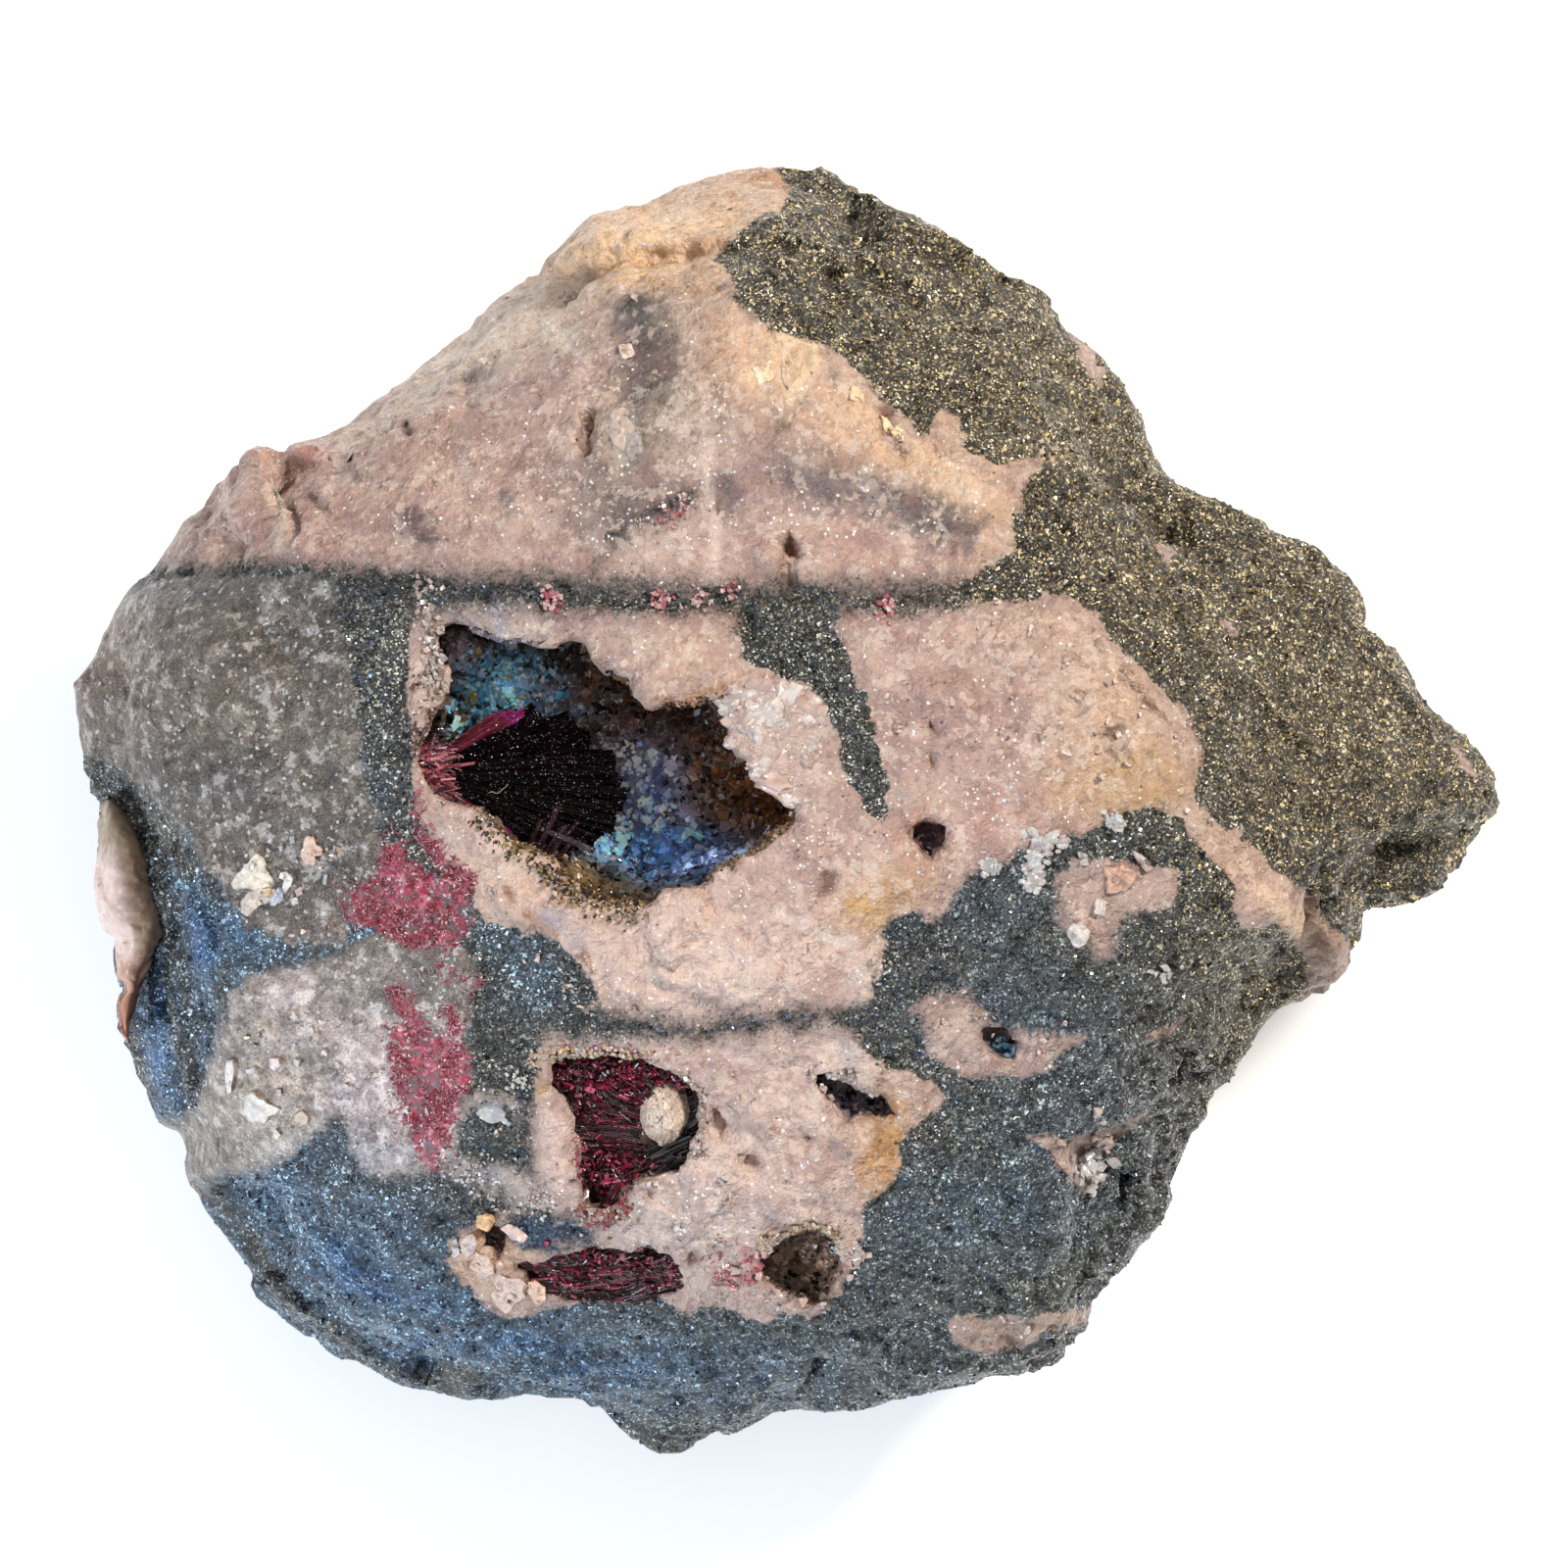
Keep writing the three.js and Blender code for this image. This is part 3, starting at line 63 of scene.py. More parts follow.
VUGS = [
  {"name": "main", "poly": [[452, 640], [470, 637], [485, 645], [500, 650], [512, 657], [530, 654], [548, 658], [560, 662], [575, 656], [598, 657], [603, 672], [615, 686], [630, 690], [648, 697], [642, 703], [652, 714], [668, 720], [680, 716], [700, 722], [715, 718], [735, 712], [750, 706], [745, 716], [748, 728], [738, 735], [742, 745], [738, 755], [746, 765], [742, 772], [752, 777], [768, 778], [772, 790], [780, 800], [795, 808], [806, 818], [815, 828], [812, 840], [795, 848], [790, 858], [780, 864], [768, 872], [755, 876], [745, 885], [732, 888], [730, 898], [715, 905], [700, 908], [682, 912], [675, 925], [665, 930], [650, 925], [635, 925], [618, 922], [600, 915], [588, 905], [575, 893], [565, 880], [550, 873], [535, 870], [520, 862], [510, 848], [498, 838], [485, 828], [470, 822], [455, 815], [442, 806], [434, 795], [430, 780], [428, 765], [432, 750], [440, 738], [448, 725], [455, 710], [462, 700], [458, 680], [450, 660]], "depth": 9.0, "top": -1.7, "bottom": 2.6, "split": 820, "soft": 110},
  {"name": "middle", "poly": [[560, 1085], [575, 1078], [600, 1078], [620, 1075], [640, 1080], [665, 1083], [684, 1092], [702, 1102], [718, 1118], [712, 1135], [715, 1150], [708, 1165], [700, 1185], [685, 1197], [665, 1200], [650, 1205], [640, 1215], [636, 1230], [620, 1236], [600, 1235], [592, 1225], [595, 1205], [588, 1195], [592, 1180], [600, 1170], [590, 1155], [583, 1140], [578, 1125], [570, 1118], [560, 1108]], "depth": 5.0, "top": -0.7, "bottom": 0.4, "split": 1190, "soft": 50},
  {"name": "lower", "poly": [[525, 1283], [545, 1290], [565, 1285], [585, 1282], [610, 1276], [640, 1278], [670, 1275], [685, 1285], [692, 1300], [694, 1316], [675, 1325], [655, 1332], [640, 1327], [600, 1327], [575, 1325], [555, 1318], [543, 1310], [540, 1298]], "depth": 3.6, "top": -0.5, "bottom": 0.5, "split": 1300, "soft": 20},
  {"name": "corner", "poly": [[770, 1290], [785, 1275], [800, 1262], [812, 1255], [830, 1252], [848, 1258], [855, 1270], [858, 1285], [850, 1300], [850, 1315], [840, 1330], [825, 1338], [815, 1325], [800, 1320], [790, 1315], [775, 1300]], "depth": 4.0, "top": -0.6, "bottom": 0.6, "split": 1300, "soft": 30},
  {"name": "right", "poly": [[822, 1092], [835, 1090], [845, 1098], [860, 1097], [875, 1108], [890, 1115], [905, 1120], [915, 1135], [918, 1145], [900, 1140], [880, 1140], [868, 1148], [858, 1135], [850, 1122], [838, 1112]], "depth": 3.2, "top": -0.4, "bottom": 0.4, "split": 1120, "soft": 20},
  {"name": "blue", "poly": [[1003, 1055], [1015, 1050], [1030, 1060], [1043, 1070], [1032, 1082], [1014, 1077]], "depth": 2.4, "top": -0.4, "bottom": 0.3, "split": 1065, "soft": 15},
  {"name": "round", "poly": [[928, 852], [938, 841], [953, 836], [966, 845], [963, 862], [955, 876], [945, 880], [939, 867]], "depth": 3.0, "top": -0.5, "bottom": 0.2, "split": 860, "soft": 20},
  {"name": "west", "poly": [[488, 1254], [503, 1250], [515, 1262], [518, 1277], [505, 1282], [494, 1270]], "depth": 2.2, "top": -0.3, "bottom": 0.2, "split": 1266, "soft": 10}
]
PITS = [
  {"poly": [[600, 416], [608, 419], [606, 440], [599, 464], [589, 460], [594, 440]], "depth": 1.6},
  {"poly": [[801, 550], [813, 559], [807, 575], [799, 572]], "depth": 1.5},
  {"poly": [[797, 579], [809, 587], [806, 603], [796, 597]], "depth": 1.3},
  {"poly": [[938, 735], [959, 727], [956, 750], [944, 749]], "depth": 1.6},
  {"poly": [[944, 768], [956, 764], [953, 792], [944, 787]], "depth": 1.3},
  {"poly": [[287, 470], [303, 462], [330, 444], [332, 452], [318, 478], [312, 502], [298, 500], [282, 484]], "depth": 2.6},
  {"poly": [[1143, 705], [1153, 701], [1153, 719], [1145, 717]], "depth": 1.2},
  {"poly": [[1016, 1373], [1030, 1357], [1047, 1357], [1041, 1371], [1025, 1377]], "depth": 1.8},
  {"poly": [[817, 1156], [829, 1159], [826, 1169], [816, 1166]], "depth": 1.3},
  {"poly": [[762, 1182], [773, 1179], [776, 1193], [765, 1197]], "depth": 1.2},
  {"poly": [[697, 228], [708, 236], [722, 240], [730, 228], [733, 238], [724, 252], [716, 258], [708, 246]], "depth": 1.3},
  {"poly": [[724, 1130], [736, 1124], [748, 1144], [746, 1163], [728, 1166], [720, 1150]], "depth": 1.5}
]
FLOOR_RISES = [[470,662,34,7.0],[444,728,26,7.2],[516,702,40,4.6],[555,845,40,3.2],[610,905,40,4.0],[690,880,50,2.6],[790,840,34,3.0],[440,790,24,5.0]]

# ------------------------------------------------------------------ small maths
def mix(a, b, t):
    return a + (b - a) * t

def smooth(t):
    t = np.clip(t, 0.0, 1.0)
    return t * t * (3.0 - 2.0 * t)

def smax(a, b, k):
    h = np.clip(0.5 + 0.5 * (a - b) / k, 0.0, 1.0)
    return mix(b, a, h) + k * h * (1.0 - h)

def _u32(v):
    return (np.int64(v) & 0xFFFFFFFF).astype(np.uint32) if isinstance(v, np.ndarray) else np.uint32(int(v) & 0xFFFFFFFF)

def hash3(ix, iy, iz, s):
    """One number in 0..1 for each lattice corner; the same everywhere."""
    with np.errstate(over="ignore"):
        h = (_u32(ix) * np.uint32(0x8da6b343)) ^ (_u32(iy) * np.uint32(0xd8163841)) ^ (_u32(iz) * np.uint32(0xcb1ab31f)) \
            ^ np.uint32((int(s) * 0x9e3779b1) & 0xFFFFFFFF)
        h = h ^ (h >> np.uint32(16)); h = h * np.uint32(0x7feb352d)
        h = h ^ (h >> np.uint32(15)); h = h * np.uint32(0x846ca68b)
        h = h ^ (h >> np.uint32(16))
    return h.astype(np.float64) / 4294967296.0

def vnoise(p, s):
    """Value noise, -1..1, on points already divided by the cell size."""
    i = np.floor(p).astype(np.int64)
    f = smooth(p - i)
    def c(a, b, d):
        return hash3(i[:, 0] + a, i[:, 1] + b, i[:, 2] + d, s)
    x00 = mix(c(0, 0, 0), c(1, 0, 0), f[:, 0]); x10 = mix(c(0, 1, 0), c(1, 1, 0), f[:, 0])
    x01 = mix(c(0, 0, 1), c(1, 0, 1), f[:, 0]); x11 = mix(c(0, 1, 1), c(1, 1, 1), f[:, 0])
    return 2.0 * mix(mix(x00, x10, f[:, 1]), mix(x01, x11, f[:, 1]), f[:, 2]) - 1.0

def chips(p, cell, s, gap=False):
    """Flat chips: each cell of a jittered lattice carries its own tilted plane."""
    q = p / cell
    i = np.floor(q).astype(np.int64)
    n = len(q)
    best = np.full(n, 1e9); second = np.full(n, 1e9)
    bi = np.zeros((n, 3), np.int64); bd = np.zeros((n, 3))
    for a in (-1, 0, 1):
        for b in (-1, 0, 1):
            for c in (-1, 0, 1):
                j0, j1, j2 = i[:, 0] + a, i[:, 1] + b, i[:, 2] + c
                dx = q[:, 0] - (j0 + hash3(j0, j1, j2, s))
                dy = q[:, 1] - (j1 + hash3(j0, j1, j2, s + 1))
                dz = q[:, 2] - (j2 + hash3(j0, j1, j2, s + 2))
                d = dx * dx + dy * dy + dz * dz
                m = d < best
                if gap:
                    second = np.where(m, best, np.minimum(second, d))
                best = np.where(m, d, best)
                bi[m, 0] = j0[m]; bi[m, 1] = j1[m]; bi[m, 2] = j2[m]
                bd[m, 0] = dx[m]; bd[m, 1] = dy[m]; bd[m, 2] = dz[m]
    h = lambda k: hash3(bi[:, 0], bi[:, 1], bi[:, 2], s + k)
    val = bd[:, 0] * (h(3) * 2 - 1) + bd[:, 1] * (h(4) * 2 - 1) + bd[:, 2] * (h(5) * 2 - 1) + 0.55 * (h(6) - 0.5)
    if gap:
        return val, np.sqrt(second) - np.sqrt(best), h(7)
    return val

def poly_dist(poly, u, v):
    """Signed distance to an outline, plan units, negative inside."""
    P = np.asarray(poly, float)
    d = np.full(u.shape, 1e18); inside = np.zeros(u.shape, bool)
    ax, ay = P[-1]
    for bx, by in P:
        ex, ey = bx - ax, by - ay
        wx, wy = u - ax, v - ay
        t = np.clip((wx * ex + wy * ey) / (ex * ex + ey * ey + 1e-12), 0, 1)
        d = np.minimum(d, (wx - ex * t) ** 2 + (wy - ey * t) ** 2)
        if by != ay:
            cr = ((by > v) != (ay > v)) & (u < (ax - bx) * (v - by) / (ay - by) + bx)
            inside ^= cr
        ax, ay = bx, by
    return np.where(inside, -1.0, 1.0) * np.sqrt(d)

MSTEP, M0, MN = 4.0, -40.0, 420
_g = M0 + MSTEP * np.arange(MN)
GU, GV = np.meshgrid(_g, _g)          # rows are v, columns are u

class PlanMap:
    """A plan map, sampled once and read back bilinearly."""
    def __init__(self, m):
        self.m = m.astype(np.float64)
    def __call__(self, u, v):
        x = np.clip((u - M0) / MSTEP, 0, MN - 1.001); y = np.clip((v - M0) / MSTEP, 0, MN - 1.001)
        i = x.astype(np.int64); j = y.astype(np.int64); fx = x - i; fy = y - j
        m = self.m
        return mix(mix(m[j, i], m[j, i + 1], fx), mix(m[j + 1, i], m[j + 1, i + 1], fx), fy)

def thin_plate(pts, lam):
    P = np.asarray(pts, float); sc = 1 / 500.0
    X = (P[:, :2] - [CU, CV]) * sc; n = len(P)
    phi = lambda r2: np.where(r2 < 1e-12, 0.0, 0.5 * r2 * np.log(np.maximum(r2, 1e-12)))
    A = np.zeros((n + 3, n + 3)); b = np.zeros(n + 3)
    A[:n, :n] = phi(((X[:, None] - X[None]) ** 2).sum(-1)) + lam * np.eye(n)
    A[:n, n] = 1; A[:n, n + 1:] = X; A[n, :n] = 1; A[n + 1:, :n] = X.T; b[:n] = P[:, 2]
    w = np.linalg.solve(A, b)
    def f(u, v):
        x = (u - CU) * sc; y = (v - CV) * sc
        s = w[n] + w[n + 1] * x + w[n + 2] * y
        for k in range(n):
            s = s + w[k] * phi((x - X[k, 0]) ** 2 + (y - X[k, 1]) ** 2)
        return s
    return f

_h = np.clip(thin_plate(HEIGHTS, 0.0008)(GU, GV), 8, 40)
for L in LEDGES:
    _h = _h - L["drop"] * smooth(0.5 - poly_dist(L["poly"], GU, GV) * UNIT / L["w"])
face_map = PlanMap(_h)
_h = np.zeros_like(GU)
for P in PITS:
    _h = np.maximum(_h, P["depth"] * smooth(0.3 - poly_dist(P["poly"], GU, GV) * UNIT / 0.8))
pit_map = PlanMap(_h)
outline_map = PlanMap(poly_dist(OUTLINE, GU, GV))
base_map = PlanMap(poly_dist(BASE, GU, GV))
vug_maps = [PlanMap(poly_dist(V["poly"], GU, GV)) for V in VUGS]
_h = np.zeros_like(GU)
for a, b, r, k in FLOOR_RISES:
    _h = np.maximum(_h, k * np.exp(-((GU - a) ** 2 + (GV - b) ** 2) / (r * r)))
rise_map = PlanMap(_h)

def plan(p):
    k = UNIT * (1 - (p[:, 2] - ZREF) / EYE)
    return CU + p[:, 0] / k, CV - p[:, 1] / k, k

def lift(u, v, z):
    u = np.asarray(u, float); v = np.asarray(v, float); z = np.asarray(z, float)
    k = UNIT * (1 - (z - ZREF) / EYE)
    return np.stack([(u - CU) * k, (CV - v) * k, z + 0 * u], -1)

def at(u, v, deep=0.0):
    u = np.asarray(u, float); v = np.asarray(v, float)
    return lift(u, v, face_map(u, v) - deep)

def waist(u, v):
    a = np.mod(np.arctan2(CV + 30 - v, u - CU) / (2 * np.pi) * 16 + 16, 16)
    i = np.floor(a).astype(int) % 16; f = smooth(a - np.floor(a)); W = np.asarray(WAIST, float)
    return mix(W[i], W[(i + 1) % 16], f)

def vug_cavity(i, p, u, v, F0, small, extra=0.0):
    V = VUGS[i]
    d2 = vug_maps[i](u, v) * UNIT
    deep = F0 - p[:, 2]
    s = smooth((v - (V["split"] - V["soft"])) / (2.0 * V["soft"]))
    inset = mix(V["top"], V["bottom"], s) * np.clip(deep / V["depth"], 0, 1)
    depth = V["depth"] - (rise_map(u, v) if i == 0 else 0.0)
    return smax(d2 + inset + extra, deep - depth + 0.3 * small, min(1.2, V["depth"] * 0.25))

def rock_field(p, chipped=True):
    u, v, k = plan(p)
    z = p[:, 2]
    F0 = face_map(u, v)
    big = chips(p, CHIP_BIG, 11) if chipped else 0.0
    small = chips(p, CHIP_SMALL, 31) if chipped else 0.0
    top = z - (F0 - pit_map(u, v) + 0.35 * CHIP_BIG_AMP * big + 0.6 * CHIP_SMALL_AMP * small)
    zs = waist(u, v); dS = outline_map(u, v); dB = base_map(u, v)
    t = np.clip(z / zs, 0, 1); g = 1 - (1 - t) ** 1.7
    side = np.where(z < zs, mix(dB, dS, g) * k, dS * k + 0.10 * (z - zs) + 0.008 * (z - zs) ** 2)
    away = smooth(np.abs(z - zs) / 7) * smooth(z / 3)
    if chipped:
        q = p * [1, 1, 1.1]
        cut = away * (CHIP_BIG_AMP * 1.5 * (big + 0.3) + CHIP_SMALL_AMP * (small + 0.2) + smooth(1 - (z - 20) / 14) * BREAK_AMP * (chips(q, BREAK, 51) + 0.15))
        whole = np.exp(-(((u - 350) / 120) ** 2 + ((v - 1350) / 80) ** 2) ** 2) * smooth((z - 8) / 6)
        whole = np.maximum(whole, np.exp(-(((u - 200) / 48) ** 2 + ((v - 1175) / 60) ** 2) ** 2) * smooth((z - 6) / 5))
        side = side + mix(cut, np.minimum(cut, 0.0), whole)
    f = smax(top, side, 1.3)
    f = np.maximum(f, -z)
    for i in range(len(VUGS)):
        f = np.maximum(f, -vug_cavity(i, p, u, v, F0, small))
    return f

# ------------------------------------------------------------------ the rock's skin
H = 0.66                                       # lattice step, mm
LO = np.array([-42.61, -40.37, -1.43]); HI = np.array([43.0, 38.2, 41.5])
DIM = [2 * int(math.ceil((HI[a] - LO[a]) / (2 * H))) + 1 for a in range(3)]
AX = [LO[a] + H * np.arange(DIM[a]) for a in range(3)]

def lattice(ax):
    X, Y, Z = np.meshgrid(*ax, indexing="ij")
    return np.stack([X.ravel(), Y.ravel(), Z.ravel()], -1)

coarse = rock_field(lattice([a[::2] for a in AX]), chipped=False).reshape([(d + 1) // 2 for d in DIM])
def upsample(a, axis):
    a = np.moveaxis(a, axis, 0)
    o = np.empty((2 * a.shape[0] - 1,) + a.shape[1:]); o[::2] = a; o[1::2] = 0.5 * (a[:-1] + a[1:])
    return np.moveaxis(o, 0, axis)
field = coarse
for _a in range(3):
    field = upsample(field, _a)
pts = lattice(AX)
flat = field.ravel()
near = np.where(np.abs(flat) < np.where(pts[:, 2] > 30, 2.0, 4.6))[0]
flat[near] = rock_field(pts[near])
field = flat.reshape(DIM)
for _a in range(3):                             # closed at the lattice's faces
    s = [slice(None)] * 3
    for e in (0, -1):
        s[_a] = e; field[tuple(s)] = np.maximum(field[tuple(s)], 0.2)
field = np.where(np.abs(field) < 1e-5, 1e-5, field)
del pts, flat, coarse

def sample(F, p):
    q = (p - LO) / H
    q = np.clip(q, 0.001, np.array(F.shape) - 1.002)
    i = q.astype(np.int64); f = q - i
    x, y, z = i[:, 0], i[:, 1], i[:, 2]
    a = mix(F[x, y, z], F[x + 1, y, z], f[:, 0]); b = mix(F[x, y + 1, z], F[x + 1, y + 1, z], f[:, 0])
    c = mix(F[x, y, z + 1], F[x + 1, y, z + 1], f[:, 0]); d = mix(F[x, y + 1, z + 1], F[x + 1, y + 1, z + 1], f[:, 0])
    return mix(mix(a, b, f[:, 1]), mix(c, d, f[:, 1]), f[:, 2])

def gradient(F, p, e=0.35):
    g = np.stack([sample(F, p + np.array(v) * e) - sample(F, p - np.array(v) * e) for v in ((1, 0, 0), (0, 1, 0), (0, 0, 1))], -1) / (2 * e)
    return g

def surface_nets(F, origin, h):
    s = F < 0
    nx, ny, nz = F.shape
    cnr = [(a, b, c) for a in (0, 1) for b in (0, 1) for c in (0, 1)]
    cnt = np.zeros((nx - 1, ny - 1, nz - 1), np.int8)
    for a, b, c in cnr:
        cnt += s[a:nx - 1 + a, b:ny - 1 + b, c:nz - 1 + c]
    act = (cnt > 0) & (cnt < 8)
    ids = np.full(act.shape, -1, np.int64); cells = np.argwhere(act); ids[act] = np.arange(len(cells))
    acc = np.zeros((len(cells), 3)); num = np.zeros(len(cells))
    for a in cnr:
        for ax in range(3):
            if a[ax]:
                continue
            b = list(a); b[ax] = 1
            fa = F[cells[:, 0] + a[0], cells[:, 1] + a[1], cells[:, 2] + a[2]]
            fb = F[cells[:, 0] + b[0], cells[:, 1] + b[1], cells[:, 2] + b[2]]
            m = (fa < 0) != (fb < 0)
            t = np.where(m, fa / np.where(m, fa - fb, 1), 0)
            pos = np.array(a, float)[None] + np.zeros((len(cells), 3)); pos[:, ax] += t
            acc[m] += pos[m]; num[m] += 1
    V = origin + h * (cells + acc / num[:, None])
    quads = []
    for ax in range(3):
        o1, o2 = [(1, 2), (2, 0), (0, 1)][ax]
        sl0 = [slice(1, -1)] * 3; sl1 = [slice(1, -1)] * 3
        sl0[ax] = slice(0, F.shape[ax] - 1); sl1[ax] = slice(1, F.shape[ax])
        A = s[tuple(sl0)]; B = s[tuple(sl1)]
        for flip, cond in ((False, A & ~B), (True, ~A & B)):
            e = np.argwhere(cond)
            off = np.zeros(3, int); off[o1] = 1; off[o2] = 1
            e = e + off                                   # lattice node at the edge's start
            d1 = np.zeros(3, int); d1[o1] = 1
            d2 = np.zeros(3, int); d2[o2] = 1
            c00 = e - d1 - d2; c10 = e - d2; c11 = e; c01 = e - d1
            q = np.stack([ids[c[:, 0], c[:, 1], c[:, 2]] for c in (c00, c10, c11, c01)], -1)
            quads.append(q[:, ::-1] if flip else q)
    return V, np.concatenate(quads)

RV, RQ = surface_nets(field, LO, H)

def keep_largest(V, Q):
    par = np.arange(len(V))
    for _ in range(200):                       # label spreading with pointer jumps
        m = par[Q].min(1)
        new = par.copy()
        for k in range(Q.shape[1]):
            np.minimum.at(new, Q[:, k], m)
        new = new[new]
        if (new == par).all():
            break
        par = new
    lab, cnt = np.unique(par[Q[:, 0]], return_counts=True)
    keep = par[Q[:, 0]] == lab[cnt.argmax()]
    Q = Q[keep]
    used = np.unique(Q); m = np.full(len(V), -1, np.int64); m[used] = np.arange(len(used))
    return V[used], m[Q]

RV, RQ = keep_largest(RV, RQ)

def project(V, steps=2, lim=0.4):
    for _ in range(steps):
        g = gradient(field, V); l2 = (g ** 2).sum(-1)
        st = -(sample(field, V) / np.maximum(l2, 0.15))[:, None] * g
        ln = np.linalg.norm(st, axis=1, keepdims=True)
        V = V + st * np.minimum(1, lim / np.maximum(ln, 1e-9))
    return V

RV = project(RV)

def refine(V, Q, pick):
    """Split the picked quads in four; neighbours take the extra points as corners."""
    E = np.stack([Q, np.roll(Q, -1, 1)], -1)              # n,4,2
    Es = np.sort(E, -1); key = Es[..., 0] * (len(V) + 1) + Es[..., 1]
    ek = np.unique(key[pick]); mid = {}
    a = ek // (len(V) + 1); b = ek % (len(V) + 1)
    mids = 0.5 * (V[a] + V[b]); base = len(V)
    idx = np.searchsorted(ek, key); idx = np.clip(idx, 0, len(ek) - 1)
    has = ek[idx] == key; mv = np.where(has, base + idx, -1)
    P = Q[pick]; M = mv[pick]
    cen = V[P].mean(1); cb = base + len(mids); C = cb + np.arange(len(P))
    V2 = np.concatenate([V, mids, cen])
    quads = np.concatenate([np.stack([P[:, k], M[:, k], C, M[:, (k + 3) % 4]], -1) for k in range(4)])
    rest = ~pick; anyhas = has.any(1) & rest
    plain = Q[rest & ~anyhas]
    ngons = []
    for q, m in zip(Q[anyhas], mv[anyhas]):
        f = []
        for k in range(4):
            f.append(int(q[k]))
            if m[k] >= 0:
                f.append(int(m[k]))
        ngons.append(f)
    return V2, quads, plain, ngons

_c = RV[RQ].mean(1); _g3 = gradient(field, _c); _g3 /= np.linalg.norm(_g3, axis=1, keepdims=True) + 1e-9
_u, _v, _k = plan(_c)
_front = (_g3[:, 2] > 0.30) & (_c[:, 2] > 22)
RV, RQF, RQP, RNG = refine(RV, RQ, _front)
RV = project(RV, 1, 0.25)
print("rock", len(RV), len(RQF), len(RQP), len(RNG), "t", round(time.time() - T0, 1))

# ------------------------------------------------------------------ zones of the face
PINK_UPPER = [(100,575),(60,400),(300,150),(700,60),(783,120),(785,166),(792,185),(800,200),(797,215),(775,222),(752,240),(727,268),(738,278),(752,290),(748,305),(765,313),(780,325),(795,340),(830,350),(850,357),(868,375),(890,390),(905,410),(930,430),(945,445),(952,430),(960,420),(975,422),(985,445),(985,460),(1000,465),(1020,475),(1050,470),(1065,465),(1060,480),(1048,490),(1045,515),(1030,522),(1035,550),(1040,560),(1025,570),(1005,580),(995,590),(950,600),(900,603),(850,598),(800,602),(760,598),(700,602),(600,599),(550,590),(450,589),(420,584),(350,580),(250,575),(200,580),(165,578)]
PINK_MID = [(430,618),(470,622),(520,618),(600,622),(680,625),(730,622),(800,618),(860,622),(930,625),(1000,615),(1050,612),(1090,605),(1105,615),(1130,640),(1150,665),(1175,690),(1205,720),(1222,745),(1230,765),(1222,800),(1222,820),(1235,835),(1260,850),(1280,865),(1300,890),(1345,915),(1350,940),(1390,970),(1360,1008),(1345,980),(1300,945),(1260,950),(1258,925),(1265,905),(1250,890),(1230,870),(1215,855),(1200,835),(1180,825),(1150,825),(1130,835),(1110,850),(1060,858),(1020,880),(1000,893),(985,900),(970,925),(950,945),(930,930),(910,935),(900,945),(905,975),(893,1000),(890,1015),(880,1025),(850,1030),(800,1035),(750,1042),(700,1047),(650,1040),(600,1033),(612,1014),(590,985),(575,965),(560,955),(530,950),(500,945),(490,930),(480,900),(460,880),(432,850),(425,830),(420,780),(418,740),(415,700),(418,650)]
DARK_VEIN = [(745,600),(755,625),(750,640),(755,660),(768,680),(780,695),(800,694),(828,700),(835,715),(850,740),(857,760),(860,780),(868,800),(880,828),(900,835),(905,825),(908,800),(900,770),(893,745),(885,720),(875,690),(868,670),(858,650),(850,630),(860,620),(930,628),(925,606),(850,600),(760,598)]
PINK_LOW = [(548,1065),(560,1056),(640,1058),(700,1055),(760,1050),(850,1043),(870,1055),(880,1070),(905,1090),(950,1100),(965,1125),(945,1145),(925,1155),(915,1165),(920,1185),(915,1205),(890,1225),(880,1240),(880,1260),(870,1290),(855,1320),(828,1350),(795,1340),(780,1350),(740,1335),(700,1340),(670,1325),(640,1330),(600,1325),(555,1335),(530,1345),(505,1342),(485,1325),(468,1305),(455,1290),(457,1265),(470,1255),(495,1240),(520,1234),(545,1232),(540,1180),(538,1150),(550,1100),(548,1080)]
PINK_BITS = [
 [(1075,910),(1085,890),(1100,875),(1150,880),(1205,890),(1195,925),(1150,935),(1135,980),(1120,978),(1085,950)],
 [(945,1075),(940,1040),(930,1030),(950,1015),(985,1010),(1010,1045),(1050,1055),(1115,1055),(1080,1080),(1050,1100),(985,1100),(975,1090)],
 [(1050,1160),(1070,1155),(1100,1172),(1125,1175),(1120,1205),(1100,1215),(1085,1195)],
 [(965,1355),(983,1340),(1050,1345),(1110,1333),(1112,1348),(1060,1362),(1040,1376),(1010,1382),(975,1372)],
 [(1168,1060),(1185,1050),(1212,1038),(1205,1048),(1180,1062)],
 [(1090,1163),(1140,1150),(1172,1130),(1174,1139),(1142,1160),(1095,1172)],
 [(1100,352),(1118,362),(1132,392),(1124,398),(1108,378)],
 [(1178,556),(1188,556),(1202,572),(1192,572)],
 [(1243,632),(1254,636),(1262,652),(1250,648)],
 [(1478,752),(1492,766),(1512,800),(1502,798),(1486,776)],
 [(740,1095),(752,1088),(760,1096),(750,1104)],
 [(470,1130),(490,1114),(520,1112),(530,1128),(520,1148),(492,1152)],
 [(440,1188),(470,1178),(500,1186),(520,1190),(552,1202),(562,1222),(530,1236),(500,1218),(470,1210)],
]
DARK_BITS = [
 [(512,1240),(545,1238),(580,1243),(602,1255),(598,1268),(570,1274),(535,1272),(514,1258)],      # ore lens in the lower vein
 [(468,1140),(500,1128),(528,1140),(530,1165),(505,1178),(480,1170)],
 [(640,335),(660,325),(668,360),(660,420),(645,440),(640,400)],
]
QUARTZ = [(20,640),(150,592),(210,587),(340,592),(345,640),(360,700),(368,750),(372,800),(388,850),(398,890),(360,930),(350,962),(300,965),(255,945),(200,870),(150,805),(100,775),(20,760)]
